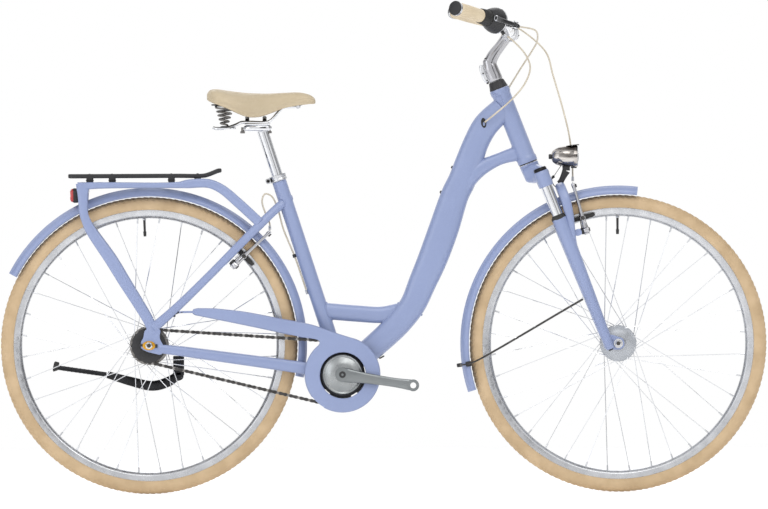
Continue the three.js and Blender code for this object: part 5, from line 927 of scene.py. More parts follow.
def strap(rows, sides, power):
    """Rings of a body from rows of an upper and a lower edge point in the side view and a width across."""
    rings = []
    for top, low in zip(smooth_rows([(x, 0, z, w, 0) for x, z, _, _, w in rows], 6),
            smooth_rows([(x, 0, z, w, 0) for _, _, x, z, w in rows], 6)):
        span, middle = top[:3] - low[:3], (top[:3] + low[:3]) / 2
        rings.append(ring(middle, Y, unit(span), top[3] / 2, np.linalg.norm(span) / 2, sides, power))
    return rings


def weld(path_rings, into, width):
    """A bead where a swept tube enters another mesh: rays along the tube's own length find the line."""
    verts, faces = into
    tree = BVHTree.FromPolygons([Vector(p) for p in verts], [list(f) for f in faces])
    hits = []
    for a, b in zip(path_rings[0], path_rings[1]):
        d = Vector(unit(b - a))
        hit = tree.ray_cast(Vector(a) - d * 2, d, 160)[0]
        if hit is not None:
            hits.append(np.array(hit))
    if len(hits) < len(path_rings[0]) * 0.6:
        return None
    loop = np.array(hits)
    rows = smooth_rows(np.vstack([loop, loop[:1]]), 6)[:-1]
    size = width * (1 + 0.18 * np.sin(np.arange(len(rows)) * 2.1)) * 0.8
    return rod(rows, size, 10, 1)


def rings_of(rows, sides, power, first, last):
    """Two rings of a sweep, given by their places in the station list, for a weld's rays."""
    v, _ = sweep([rows[first], rows[last]], sides, power, per_span=1)
    return v[:sides], v[sides:2 * sides]


print("main tube spans", round(float(np.linalg.norm(SPAN))), "mm")

# %% Tubes
head_rows = [(0, 3), (23.6, 3), (23.8, 4), (23.8, 14), (22.6, 17), (22, 19)]
head_rows += [(r, HEAD_LENGTH - z) for r, z in ((22, 16), (22.6, 14), (23.8, 11), (23.8, 1), (23.4, 0.2), (0, 0.2))]
head_tube = lathe(head_rows, HEAD_BOTTOM, HEAD_UP, 64)
main = [(*share(r, z), w * TUBE_DEPTH, d * TUBE_DEPTH) for r, z, d, w in MAIN_SHARES]
gusset = strap(GUSSET_EDGES, 36, 2.8)
seat_tube = bar(BB, SEAT_TOP, 17, sides=56)
shell = lathe([(0, -34), (20.4, -34), (21, -33.4), (21, 33.4), (20.4, 34), (0, 34)], BB, Y, 64)
strut = [(*share(r, z), 27, 39) for r, z in STRUT_SHARES]

piece("main_tube_skin", [sweep(main, 48, 2.6, per_span=8), skin(gusset)], PAINT, "frame", ["main_tube"])
piece("head_tube_skin", [head_tube], PAINT, "frame")
piece("seat_tube_skin", [seat_tube, sweep(strut, 36, 2.6, per_span=8), shell], PAINT, "frame", ["seat_tube"])
chainstays = [sweep(stay(CHAINSTAY_ROWS, BB, s), 32, 2.3, per_span=8) for s in (-1, 1)]
seatstays = [sweep(stay(SEATSTAY_ROWS, STAY_JOINT, s), 28, 2.1, per_span=8) for s in (-1, 1)]
outline = round_corners([(REAR[0] + x * DROPOUT_SIZE, REAR[2] + z * DROPOUT_SIZE) for x, z in DROPOUT_SHARES], 9)
dropouts = [plate(outline, s * DROPOUT_SIDE, DROPOUT_SHEET, [(REAR[0], REAR[2], AXLE_HOLE)]) for s in (-1, 1)]


def bridge(degrees, radius, side):
    """A cross tube between two stays, just outside the mudguard."""
    at = around(REAR, MUDGUARD_OUTER + PAINT_GAP + radius, degrees)
    return bar(at - Y * side, at + Y * side, radius, sides=28)


piece("chainstay_tubes", chainstays + [bridge(-8.8, 9, 36)], PAINT, "frame", ["chainstays"])
tube_way = unit(V(13, 0, 7.1))
piece("main_tube_plug", [block((14, 22, 3.4), V(-4.6, 0, 320.6), basis(tube_way, Y), 1.2)], BLACK, "frame")
piece("rear_dropouts", dropouts, PAINT, "frame")
piece("seatstay_tubes", seatstays + [bridge(46.8, 7, 40)], PAINT, "frame", ["seatstays"])
print("frame tubes", made[-5:])

# %% Weld beads
welds = [weld(rings_of(main, 40, 2.6, 2, 1), head_tube, 5.5), weld((gusset[9], gusset[6]), head_tube, 4.5),
    weld(rings_of(main, 40, 2.6, -2, -1), shell, 5.5), weld(rings_of(strut, 36, 2.6, 1, 0), seat_tube, 5),
    weld(rings_of(strut, 36, 2.6, 2, 3), sweep(main, 48, 2.6), 5)]
for side in (-1, 1):
    welds += [weld(rings_of(stay(CHAINSTAY_ROWS, BB, side), 28, 2.3, -2, -1), shell, 4.5),
        weld(rings_of(stay(SEATSTAY_ROWS, STAY_JOINT, side), 28, 2.1, -2, -1), seat_tube, 4)]
welds = [w for w in welds if w]
piece("weld_beads", welds, PAINT, "frame", angle=60)
print("welds", len(welds))


# %% [markdown]
# ## Carrier, mudguards and lights at the rear
# The carrier's rails run into the seat stays and its legs down to the dropouts, painted with the frame. Their
# stations are shares of the carrier's own length and height, so both sides come from one table. A black platform
# lies on top.

# %% Carrier
RAIL_REAR, RAIL_FRONT, RAIL_TOP = -715.0, -408.0, 738.0
RAIL_ROWS = [(-0.02, 0.976, 55, 12, 18), (0.18, 0.98, 55, 12, 15), (0.76, 0.98, 55, 12, 15),
    (0.825, 0.986, 54, 12, 20), (0.985, 0.988, 52, 13, 21), (1.085, 0.955, 49, 14, 22), (1.22, 0.865, 45, 14, 23),
    (1.375, 0.75, 42, 13, 23)]
LEG_ROWS = [(0.018, 0.99, 55, 12, 32), (0.02, 0.91, 55, 12, 24), (0.026, 0.81, 55.5, 12, 21),
    (0.049, 0.755, 56, 12, 22), (0.084, 0.7, 57, 12, 25), (0.234, 0.525, 61, 12, 29), (0.329, 0.4, 65, 11, 28),
    (0.52, 0.15, DROPOUT_SIDE, 9, 24), (0.56, 0.075, DROPOUT_SIDE, 7, 24)]


def rail_point(along, height, side):
    return V(RAIL_REAR + along * (RAIL_FRONT - RAIL_REAR), side, REAR[2] + height * (RAIL_TOP - REAR[2]))


rails = []
for s in (-1, 1):
    for rows in (RAIL_ROWS, LEG_ROWS):
        rails.append(sweep([(*rail_point(a, h, s * y), w, d) for a, h, y, w, d in rows], 28, 2.6, per_span=8))
for along, height in ((0.045, 0.945), (1.0, 0.985)):
    rails.append(bar(rail_point(along, height, -55), rail_point(along, height, 55), 6, sides=24))
piece("carrier_rails", rails, PAINT, "frame", ["carrier_frame"])
print("carrier rails", len(rails))

# %% [markdown]
# The platform is a flat grid of moulded bars: two long ones that close in towards the front, cross bars between
# them, and short feet on the rails. Its front is turned up so that luggage can't slide onto the saddle.

# %% Platform
PLATFORM = {"bottom": 747.0, "deep": 10.0, "wide": 9.0, "rear": -748.0, "bend": -424.0, "front": -387.0, "lift": 12.0,
    "halves": (58.0, 40.0, 30.0), "feet": (-693, -640, -500, -438)}
P_MID = PLATFORM["bottom"] + PLATFORM["deep"] / 2


def platform_side(x):
    t = (x - PLATFORM["rear"]) / (PLATFORM["bend"] - PLATFORM["rear"])
    return PLATFORM["halves"][0] + t * (PLATFORM["halves"][1] - PLATFORM["halves"][0]) - PLATFORM["wide"] / 2


def platform_parts():
    """The outer loop, turned up in front, with its cross and long bars."""
    w, d, lift = PLATFORM["wide"], PLATFORM["deep"], PLATFORM["lift"]
    rear, bend, front = PLATFORM["rear"] + w, PLATFORM["bend"], PLATFORM["front"]
    loop = []
    for s in (-1, 1):
        line = [(rear, s * (platform_side(rear) - 6), P_MID), (rear + 1, s * (platform_side(rear) - 2), P_MID)]
        line += [(x, s * platform_side(x), P_MID) for x in np.linspace(rear + 8, bend, 6)]
        line += [(bend + 14, s * (platform_side(bend) - 2.5), P_MID + 3.6), (front - 4, s * 31, P_MID + lift - 1),
            (front, s * 27, P_MID + lift), (front + 1, s * 18, P_MID + lift)]
        loop.append(line)
    outline = loop[0] + loop[1][::-1]
    parts = [sweep([(*p, d, w) for p in outline], 20, 3.6, V(0, 0, 1), 6, closed=True)]
    for x in list(np.linspace(PLATFORM["rear"], bend, 5)[1:]) + [rear + 30, bend - 40]:
        y = platform_side(x)
        parts.append(sweep([(x, -y, P_MID - 0.6, w - 1.5, d - 3), (x, y, P_MID - 0.6, w - 1.5, d - 3)],
            16, 4, V(1, 0, 0), 1))
    for y in (-12, 12):
        parts.append(sweep([(rear, y, P_MID - 0.8, 6, 6), (bend, y, P_MID - 0.8, 6, 6)], 16, 3, Y, 1))
    return parts


def foot_parts():
    """The feet on the rails and the screws in them."""
    feet, screws = [], []
    for x in PLATFORM["feet"]:
        for s in (-1, 1):
            y = s * platform_side(x)
            low = RAIL_TOP - 0.6
            feet.append(block((15, 8.5, P_MID - low + 1), (x, y, (P_MID + low) / 2), edge=1.2))
            feet.append(block((17, 12, 3), (x, y, low + 4.5), edge=1.0))
            screws.append(bar(V(x, y, P_MID + 4.4), V(x, y, P_MID + 5.6), 2.6, 2.3, 16, 0.3))
    return feet, screws


feet, screws = foot_parts()
piece("platform_grid", platform_parts() + feet, BLACK, "frame", ["carrier_platform"])
piece("platform_screws", screws, ANODISED, "frame")
print("platform feet", len(feet) // 2)

# %% [markdown]
# The rear light is a red lens with vertical flutes in a black housing, bolted to the carrier's cross tube. Both
# are short sweeps from back to front, whose sections shrink at the ends; that rounds all edges at once.

# %% Rear light
LIGHT = {"wide": 76.0, "high": 35.0, "lens": 8.0, "body": 11.0, "top": 724.0, "rear": -739.0}
light_z = LIGHT["top"] - LIGHT["high"] / 2
lens_x, body_x = LIGHT["rear"], LIGHT["rear"] + LIGHT["lens"] + 0.4
cross_at = rail_point(0.045, 0.945, 0)
housing = [sweep([(body_x + x, 0, light_z, LIGHT["wide"] - i, LIGHT["high"] - i)
    for x, i in ((-1.5, 3), (-1.2, 1.2), (0.5, 0), (8, 0.5), (10.4, 4), (11, 8))], 40, 5, Y, 1),
    bar(V(body_x + 8, 0, cross_at[2]), cross_at - V(5.6, 0, 0), 6, sides=24)]
for s in (-1, 1):
    housing.append(bar(V(body_x + 10, s * 25, light_z + 4), V(body_x + 14, s * 25, light_z + 4),
        4, sides=6, edge=0.5))
piece("rear_light_shell", housing, BLACK, "frame", ["rear_light_housing"])
lens = [sweep([(lens_x + x, 0, light_z, LIGHT["wide"] - i, LIGHT["high"] - i)
    for x, i in ((0, 14), (0.4, 9), (1.6, 5), (4, 2.6), (7.6, 2.2))], 40, 5, Y, 1)]
piece("rear_light_cover", lens, RED, "frame", ["rear_light_lens"])
flutes = [sweep([(lens_x + 0.2, y, light_z + s * 11, 2.2, 1.2), (lens_x + 0.2, y, light_z + s * 4, 2.2, 1.2)], 10, 2,
    Y, 1) for y in np.arange(-30, 31, 4.0) for s in (-1, 1)]
piece("rear_light_flutes", flutes, RED, "frame")
print("light flutes", len(flutes))

# %% [markdown]
# ## Mudguards
# Each is a bowed channel with rolled edges and two shallow ribs. It is skinned from copies of one cross section,
# set round the axle, rather than bent from a strip, so it keeps the same distance from its tyre everywhere.

# %% Mudguards
BOW = [(-27.0, 354.2), (-26.9, 357.0), (-26.2, 359.4), (-24.2, 363.2), (-20.5, 367.0), (-15.5, 370.0), (-10.5, 371.7),
    (-9.2, 372.9), (-7.8, 372.2), (-3.5, 372.9), (0.0, 373.0)]
BOW += [(-y, r) for y, r in reversed(BOW[:-1])]


def bowed_guard(centre, low, high, taper=3.0):
    """A curved shell between two directions from its axle, a little narrower at the ends."""
    section = BOW + [(y * 0.955, r - 1.5) for y, r in reversed(BOW)]
    rings = []
    degrees = np.linspace(low, high, int((high - low) * 1.1))
    for d in degrees:
        near = min(d - low, high - d)
        narrow = 1 - 0.10 * max(0.0, 1 - near / taper) ** 2
        rings.append(np.array([around(centre, r, d, y * narrow) for y, r in section]))
    return skin(rings)


def rolled_edges(centre, low, high):
    """The wire-like edges on both sides of a mudguard."""
    return [rod([around(centre, 355.2, d, s * 26.4) for d in np.linspace(low + 0.6, high - 0.6, 60)], 2.6, 10, 2)
        for s in (-1, 1)]


for end, centre, low, high, body in (("rear", REAR, -12.0, 152.5, "frame"),
        ("front", FRONT, 82.5, 197.8, "fork_lower")):
    piece(end + "_mudguard_shell", [bowed_guard(centre, low, high)] + rolled_edges(centre, low, high), PAINT, body,
        [end + "_mudguard"], angle=40)
print("pieces so far", len(made))

# %% [markdown]
# ## Drive
# A half-inch chain runs round a chainring with twice the sprocket's teeth. The path is the belt line round both
# pitch circles; Geometry Nodes set outer and inner links on its points, each turned along the line.

# %% Toothed wheels
PITCH, CHAINLINE = 12.7, 50.0
RING_TEETH, SPROCKET_TEETH, TOOTH_SHEET = 38, 19, 2.2
TOOTH = ((-0.5, 0.0), (-0.36, 0.04), (-0.25, 0.42), (-0.13, 0.86), (-0.05, 1.0), (0.05, 1.0), (0.13, 0.86),
    (0.25, 0.42), (0.36, 0.04))


def pitch_radius(teeth):
    return PITCH / (2 * sin(pi / teeth))


def toothed(centre, teeth, holes):
    """A flat toothed wheel from its number of teeth."""
    root, tip = pitch_radius(teeth) - 4.6, pitch_radius(teeth) + 2.6
    line = []
    for i in range(teeth):
        for place, rise in TOOTH:
            a = 2 * pi * (i + place + 0.5) / teeth
            r = root + rise * (tip - root)
            line.append((centre[0] + r * cos(a), centre[2] + r * sin(a)))
    return plate(line, -CHAINLINE, TOOTH_SHEET, holes, bevel=0.35)


print("pitch radii", round(pitch_radius(RING_TEETH), 1), round(pitch_radius(SPROCKET_TEETH), 1), "mm")

# %% [markdown]
# The pins lie on the belt line: two straight runs that touch both pitch circles, and the arc round each wheel.
# Because the line's length is divided by a whole number of links, the chain closes without a short link.

# %% The belt line
def chain_points():
    """The pins' places, and the two straight runs as pairs of ends."""
    big, small = pitch_radius(RING_TEETH), pitch_radius(SPROCKET_TEETH)
    between = BB - REAR
    apart, slope = np.linalg.norm(between), atan2(between[2], between[0])
    open_angle = asin((big - small) / apart)
    run = sqrt(apart**2 - (big - small)**2)
    upper, lower = slope + pi / 2 + open_angle, slope - pi / 2 - open_angle
    wrap = big * (upper - lower)
    total = 2 * run + wrap + small * (2 * pi - (upper - lower))
    links = 2 * round(total / PITCH / 2)
    ends = [around(c, r, degrees(a)) for c, r, a in ((REAR, small, upper), (BB, big, upper),
        (BB, big, lower), (REAR, small, lower))]

    def at(d):
        if d < run:
            return ends[0] + (ends[1] - ends[0]) * d / run
        if d < run + wrap:
            return around(BB, big, degrees(upper - (d - run) / big))
        if d < 2 * run + wrap:
            return ends[2] + (ends[3] - ends[2]) * (d - run - wrap) / run
        return around(REAR, small, degrees(lower - (d - 2 * run - wrap) / small))

    pins = np.array([at(total * i / links) for i in range(links)]) - Y * CHAINLINE
    return pins, ((ends[0], ends[1]), (ends[2], ends[3]))


print("straight runs", [np.round(b - a) for a, b in chain_points()[1]])

# %% Links set on the pins
def named_aim(new, link, given):
    """The given points, each turned by its own aim."""
    aim = new("GeometryNodeInputNamedAttribute")
    aim.data_type, aim.inputs["Name"].default_value = "FLOAT", "aim"
    return given["Geometry"], aim.outputs["Attribute"]


AIMED = copies_tree("aimed copies", [], named_aim)


def aimed_copies(name, parts, material, places, aims):
    mesh = bpy.data.meshes.new(name)
    mesh.from_pydata((np.asarray(places) * MM).tolist(), [], [])
    mesh.attributes.new("aim", "FLOAT", "POINT").data.foreach_set("value", np.asarray(aims, np.float32))
    return copies(name, parts, mesh, AIMED, Material=material)


def link_plate(y, sheet, high):
    """A waisted side plate about its middle, with a round end at each pin."""
    half = PITCH / 2
    line = []
    for end in (1, -1):
        for a in np.linspace(-100, 100, 11):
            r = radians(a)
            line.append((end * (half + high / 2 * cos(r)), end * high / 2 * sin(r)))
        line.append((0, end * (high / 2 - 1.0)))
    return plate(line, y, sheet, bevel=0.2, resolution=1)


pins, chain_runs = chain_points()
following = np.roll(pins, -1, 0)
middles, steps = (pins + following) / 2, following - pins
aims = -np.arctan2(steps[:, 2], steps[:, 0])
outer_link = [link_plate(s * 3.2, 1.0, 8.2) for s in (-1, 1)]
inner_link = [link_plate(s * 2.1, 0.9, 8.0) for s in (-1, 1)]
for x in (-PITCH / 2, PITCH / 2):
    outer_link.append(bar(V(x, -4.1, 0), V(x, 4.1, 0), 1.8, sides=12, edge=0.2))
    inner_link.append(bar(V(x, -1.7, 0), V(x, 1.7, 0), 3.8, sides=16, edge=0.3))
obj = aimed_copies("chain_outer_links", outer_link, DARK_STEEL, middles[::2], aims[::2])
piece(obj.name, obj, DARK_STEEL, "frame", ["chain"])
obj = aimed_copies("chain_inner_links", inner_link, STEEL, middles[1::2], aims[1::2])
piece(obj.name, obj, STEEL, "frame")
print("chain links", len(pins))

# %% Chainring and sprocket
ring_holes = [(BB[0], BB[2], 18)] + [(*around(BB, 59, -60 + 72 * k)[::2], 9.5) for k in range(5)]
piece("chainring_plate", [toothed(BB, RING_TEETH, ring_holes)], DARK_STEEL, "cranks", ["chainring"])
sprocket_body = hollow([(5.6, -61), (14, -61), (16, -60), (17, -57), (22, -54), (24, -52), (24, -46), (23, -44),
    (5.6, -44)], REAR, Y, 48)
piece("sprocket_wheel", [toothed(REAR, SPROCKET_TEETH, [(REAR[0], REAR[2], 20)]), sprocket_body], DARK_STEEL,
    "rear_sprocket", ["sprocket"])
dust_disc = hollow([(14, -54.4), (39, -54.4), (40.4, -55), (40.4, -56), (39, -56.6), (26, -57.6), (14, -57.6)],
    REAR, Y, 80)
piece("sprocket_dust_disc", [dust_disc], BLACK, "rear_sprocket")
print("toothed wheels", made[-3:])

# %% [markdown]
# ## Cranks
# The right arm is one forging with the spider; both arms taper to the threaded pedal eye. The pedals are not fitted.
# An arm is a sweep whose sections are rounded boxes; the eye is then drilled through it, as on the real forging.

# %% Cranks
ARM = {"inner": 65.0, "thick": 13.0, "eye": 14.0, "bore": 7.0, "length": 169.0, "degrees": -8.9}
ARM_OUT = unit(around(V(0, 0, 0), 1, ARM["degrees"]))


def crank_arm(side):
    """One arm with its drilled eye and the boss at the spindle."""
    turn, y, rows = -side, side * (ARM["inner"] + ARM["thick"] / 2), []
    for t, deep, thick in ((0, 34, 13), (0.08, 33, 13), (0.18, 30, 13.2), (0.32, 26, 12.6), (0.5, 23, 11.4),
            (0.68, 22, 10.8), (0.84, 23.4, 11.4), (0.93, 25.6, 12.6), (1.0, 26.4, 13)):
        rows.append((*(BB + ARM_OUT * turn * t * ARM["length"] + Y * y), thick, deep))
    arm = sweep(rows, 32, 3.2, per_span=5)
    eye_at = BB + ARM_OUT * turn * ARM["length"]
    low, high = sorted((side * ARM["inner"], side * (ARM["inner"] + ARM["thick"])))
    eye_rows = [(ARM["bore"], low), (ARM["eye"] - 0.8, low), (ARM["eye"], low + 0.8), (ARM["eye"], high - 0.8),
        (ARM["eye"] - 0.8, high), (ARM["bore"], high)]
    eye = hollow(eye_rows, eye_at, Y, 48)
    boss = lathe([(0, low), (16.2, low), (17, low + 0.8), (17, high - 1.2), (15.8, high), (9, high),
        (8.4, high - 1.5), (0, high - 1.5)], BB, Y, 48)
    drill = bar(eye_at - Y * 120, eye_at + Y * 240, ARM["bore"] + 0.4, sides=40, edge=0.1)
    return [carve(arm, drill), eye, boss]


def crank_cap(side):
    y = side * (ARM["inner"] + ARM["thick"])
    rows = [(0, 0), (8.2, 0), (8.2, 1.2), (6.8, 2.4), (3.0, 2.6), (2.6, 1.0), (0, 1.0)]
    return lathe(rows, BB + Y * (y - side * 1.4), Y * side, 40)


print("arm direction", ARM_OUT.round(3))

# %% Dome, spider and bolts
dome = [hollow([(8, -63), (17, -62.8), (24, -62), (30, -60.6), (36, -58), (39.8, -55.8), (41, -55.3), (42, -55.8),
    (45, -56.6), (46.2, -56), (46.6, -54.6), (46, -53), (8, -53)], BB, Y, 96)]
dark_ring = [hollow([(43, -54.6), (52.4, -54.6), (53.4, -53.8), (53.4, -52), (43, -51.4)], BB, Y, 96)]
spider, spider_degrees = [], [-24 + 72 * k for k in range(5)]
for a in spider_degrees:
    rows = [(*around(BB, r, a, -52.4), w, 2.6) for r, w in ((44, 22), (52, 17), (60, 14), (66, 13))]
    side_dir = np.cross(unit(around(BB, 10, a) - BB), Y)
    spider.append(sweep(rows, 24, 3.5, side_dir, 4))
neck = hollow([(8.6, -72), (15.5, -72), (17, -66), (17, -60), (17, -36), (15, -34.3), (8.6, -34.3)], BB, Y, 48)
spindle = bar(BB - Y * 66, BB + Y * 64.8, 8.6, sides=24)
piece("right_crank_forging", crank_arm(-1) + [neck, spindle], CRANK_ALLOY, "cranks", ["right_crank"], angle=40)
piece("crank_dome", dome, DOME_ALLOY, "cranks", angle=40)
piece("crank_spider", spider + dark_ring, ANODISED, "cranks", angle=40)
piece("left_crank_forging", crank_arm(1), CRANK_ALLOY, "cranks", ["left_crank"], angle=40)
piece("crank_caps", [crank_cap(s) for s in (-1, 1)], BLACK, "cranks")
bolts = [bar(around(BB, 62, a, -56), around(BB, 62, a, -47.5), 4.6, 4.6, 24, 0.6) for a in spider_degrees]
piece("chainring_bolts", bolts, CHROME, "cranks")
cups = [hollow([(10, 0), (20, 0), (20.4, 1.0), (20.4, 2.2), (18, 3.0), (10, 3.0)], BB + Y * s * 34.1, Y * s, 48)
    for s in (-1, 1)]
piece("bottom_bracket_cups", cups, DARK_STEEL, "frame")
print("crank pieces", made[-7:])

# %% [markdown]
# ## Chain guard
# The guard is a painted shell: a disc with a round opening over the cranks and an arm along the upper run.
# Its rim turns inwards except where the chain passes.

# %% Chain guard
GUARD = {"radius": 88.6, "opening": 54.4, "outer": 63.5, "inner": 45.5, "shift": (1.0, -1.9)}
GUARD_ARM = [(-0.17, 1.10), (-0.80, 1.32), (-1.73, 1.51), (-2.61, 1.68), (-3.38, 1.77), (-3.85, 1.78), (-3.99, 1.69),
    (-3.91, 1.61), (-2.28, 1.27), (-1.12, 1.01), (-0.62, 0.90)]


def guard_outline():
    """The side view of the guard: most of a circle, then out along the arm and back."""
    ring_part = [around(V(0, 0, 0), 1, a)[::2] for a in np.linspace(128, 438, 120)]
    top = smooth_rows([(x, z, 0) for x, z in [ring_part[-1]] + GUARD_ARM[:5]], 8)[1:, :2]
    low = smooth_rows([(x, z, 0) for x, z in GUARD_ARM[7:] + [ring_part[0]]], 8)[:-1, :2]
    tip = [GUARD_ARM[5], (-3.96, 1.755), GUARD_ARM[6], (-3.97, 1.64)]
    pts = np.vstack([ring_part, top, tip, low]) * GUARD["radius"]
    return pts + np.array([BB[0], BB[2]])


def near_chain(p):
    """How far a point of the rim is from the nearer chain run."""
    gaps = []
    for a, b in chain_runs:
        a, b = a[::2], b[::2]
        t = np.clip(np.dot(p - a, b - a) / np.dot(b - a, b - a), 0, 1)
        gaps.append(np.linalg.norm(p - (a + t * (b - a))))
    return min(gaps)


print("guard reaches", round(float(np.ptp(guard_outline()[:, 0]))), "mm")

# %% Chain guard shell
rim = guard_outline()
hole_at, hole_radius = BB + V(GUARD["shift"][0], 0, GUARD["shift"][1]), GUARD["opening"]
face = plate(rim, -(GUARD["outer"] - 2.4), 4.8, [(hole_at[0], hole_at[2], hole_radius)], bevel=2.3, resolution=4)
walls, run_of_points = [], []
for p in np.vstack([rim, rim[:1]]):
    if near_chain(p) > 8.0:
        run_of_points.append(p)
    elif len(run_of_points) > 2:
        walls.append(run_of_points)
        run_of_points = []
if len(run_of_points) > 2:
    walls.append(run_of_points)
wall_mid, wall_deep = -(GUARD["inner"] + GUARD["outer"] - 4) / 2, GUARD["outer"] - GUARD["inner"] - 4
skirts = [sweep([(p[0], wall_mid, p[1], wall_deep, 2.2) for p in w], 12, 8, Y, 1) for w in walls]
tab = rod([(-449, -60, 430), (-466, -60, 430), (-480, -60, 429.5), (-483.4, -61, 429)], 5.0, 16)
hole_rim = hollow([(hole_radius + r, y) for r, y in ((-0.1, -59.0), (2.2, -59.0), (2.2, -56.5), (-0.1, -56.5))],
    hole_at, Y, 96)
piece("chain_guard_shell", [face, tab, hole_rim] + skirts, PAINT, "frame", ["chain_guard"], angle=40)

print("guard walls", len(skirts))

# %% [markdown]
# ## Kickstand
# The stand is folded up here. Its leg is a cast arm that turns on a leaning pin, with a round slide that sets the
# length and a rubber shoe. The leg's rows start on the pin itself, so it stays joined when the pin is moved.

# %% Kickstand
KICK_PIVOT, KICK_LEAN = V(-486, 66, 274), radians(25)
KICK_AXIS = V(0, cos(KICK_LEAN), sin(KICK_LEAN))


def on_pin(out):
    """A point on the leaning pin that the leg turns on."""
    return KICK_PIVOT + KICK_AXIS * out


leg_side = on_pin(16)[1]
end_at, knee_at = V(-778, leg_side, 300), V(-655, leg_side, 282)
slide_way = end_at - knee_at
leg_rows = [(*on_pin(16), 12, 20), (-512, leg_side, 264, 13, 24), (-548, leg_side, 255, 15, 24),
    (-600, leg_side, 266, 15.5, 22), (*knee_at, 14.5, 17)]
hub_ring = hollow([(5.3, 7.4), (10.5, 7.4), (11.5, 8.4), (11.5, 24), (10.5, 25), (5.3, 25)],
    KICK_PIVOT, KICK_AXIS, 40)
print("slide length", round(float(np.linalg.norm(slide_way))), "mm")

# %% Slide, shoe and bracket
slide = [bar(knee_at + slide_way * 0.02, end_at, 5.5, sides=28)]
slide += [bar(knee_at + slide_way * t, knee_at + slide_way * (t + 0.03), 5.9, sides=28, edge=0.3)
    for t in np.linspace(0.2, 0.82, 9)]
shoe = [sweep([(*(end_at + V(x, 0, z)), w, d) for x, z, w, d in ((0, -9, 16, 9), (-0.5, -7, 19.4, 12),
    (1, 2, 19, 12.4), (3.5, 11, 17, 12), (4, 13, 14, 9))], 24, 3.4, Y, 4)]
piece("kickstand_leg_casting", [sweep(leg_rows, 28, 2.6, per_span=7), hub_ring], ANODISED, "kickstand",
    ["kickstand_leg"], angle=40)
piece("kickstand_slide", slide, ANODISED, "kickstand")
piece("kickstand_shoe", shoe, RUBBER, "kickstand")
knob = [bar(knee_at + Y * 6, knee_at + Y * 10.5, 4.2, 3.8, 6, 0.5)]
piece("kickstand_clamp_screw", knob, CHROME, "kickstand", slot="steel")
stand_top = stay(CHAINSTAY_ROWS, BB, 1)[1][2] - 12
bracket = [block((26, 14, stand_top - 279), (-486, 66, (stand_top + 279) / 2), edge=1.6),
    block((15, 14, 14), (-486, 66, 281), edge=2), lathe([(0, -7), (4.6, -7), (5, -6.6), (5, 25.6), (0, 25.6)],
    KICK_PIVOT, KICK_AXIS, 32), bar(on_pin(25.2), on_pin(27.5), 7.4, 7, 6, 0.6)]
piece("kickstand_bracket_block", bracket, ANODISED, "frame", ["kickstand_bracket"])
print("drive done", len(made))

# %% [markdown]
# ## Suspension fork
# The crown and the bright stanchions steer with the bar; the lower legs and their arch slide on them. Every
# station is given along the steering axis and ahead of it, because that is how a fork is drawn and made: the rake
# and the head angle then need no second set of numbers.

# %% Stations of the fork
LEG_SIDE, LEG_FORWARD, LEG_TOP, TRAVEL = 58.0, 19.5, 328.0, 50.0
CROWN_BOTTOM, ARCH_TOP, ARCH_FORWARD = 401.0, 403.0, 49.0
STEM_FOOT = FORK_LENGTH + HEAD_LENGTH + 26
BRAKE = {"pivot": 278.0, "pad": 308.0, "top": 392.0, "rear": 43.0, "front": 105.5, "side": 40.0}


def leg_at(up, side):
    return head(up, LEG_FORWARD, side * LEG_SIDE)


def brake_point(centre, degrees, radius, turn, side):
    """A point by a brake: so far out from the axle, so far along the rim, and to the side."""
    a = radians(degrees)
    return centre + V(cos(a), 0, sin(a)) * radius + V(-sin(a), 0, cos(a)) * turn + Y * side


print("leg top at", leg_at(LEG_TOP, 1).round(1))

# %% Crown and stanchions
crown_rows = [(*head(447, -21), 26, 16), (*head(447, -19.6), 38, 28), (*head(448, -10), 56, 42),
    (*head(447, 2), 80, 47), (*head(441, 12), 108, 44), (*head(434, 22), 126, 40), (*head(430.5, 31), 126, 33),
    (*head(429, 34.6), 112, 20)]
risen = FRONT + HEAD_UP * TRAVEL
wheel_room = bar(risen - Y * 31, risen + Y * 31, MUDGUARD_OUTER + 3, sides=160, edge=1.0)
crown = [carve(sweep(crown_rows, 44, 3.4, Y, 6), wheel_room)]
crown.append(lathe([(0, 436), (19, 436), (21.4, 446), (22.4, 462), (22.6, 471.4), (21.8, 472.3), (0, 472.3)],
    HEAD_FOOT, HEAD_UP, 56))
stanchions, seals, tops = [], [], []
clamp_rows = [(13.9, 6), (15.8, 6), (17.0, 7.4), (17.4, 13), (17.4, 36), (16.6, 43), (15.6, 44.4), (0, 44.6)]
top_rows = [(0, 43.5), (14.6, 43.5), (15.8, 45), (15.8, 49.5), (14, 52.6), (7, 53.6), (5.6, 52), (0, 52)]
seal_rows = [(13.9, -4), (18.2, -4), (18.4, -1), (18.0, 1.6), (15.6, 3.4), (15.2, 6.2), (14.2, 7), (13.9, 6.6)]
for s in (-1, 1):
    crown.append(lathe(clamp_rows, leg_at(CROWN_BOTTOM, s), HEAD_UP, 44))
    tops.append(lathe(top_rows, leg_at(CROWN_BOTTOM, s), HEAD_UP, 32))
    stanchions.append(bar(leg_at(LEG_TOP - 60, s), leg_at(CROWN_BOTTOM + 20, s), 13.7, sides=48))
    seals.append(hollow(seal_rows, leg_at(LEG_TOP, s), HEAD_UP, 44))
piece("fork_crown_casting", crown, PAINT, "steering", ["fork_crown"], angle=40)
piece("fork_top_caps", tops, ANODISED, "steering")
piece("fork_stanchions", stanchions, CHROME, "steering")
piece("steerer_tube", [bar(head(470), head(STEM_FOOT + 40), 14, sides=40)], CHROME, "steering")
piece("fork_seals", seals, RUBBER, "fork_lower")
print("stanchions", len(stanchions))

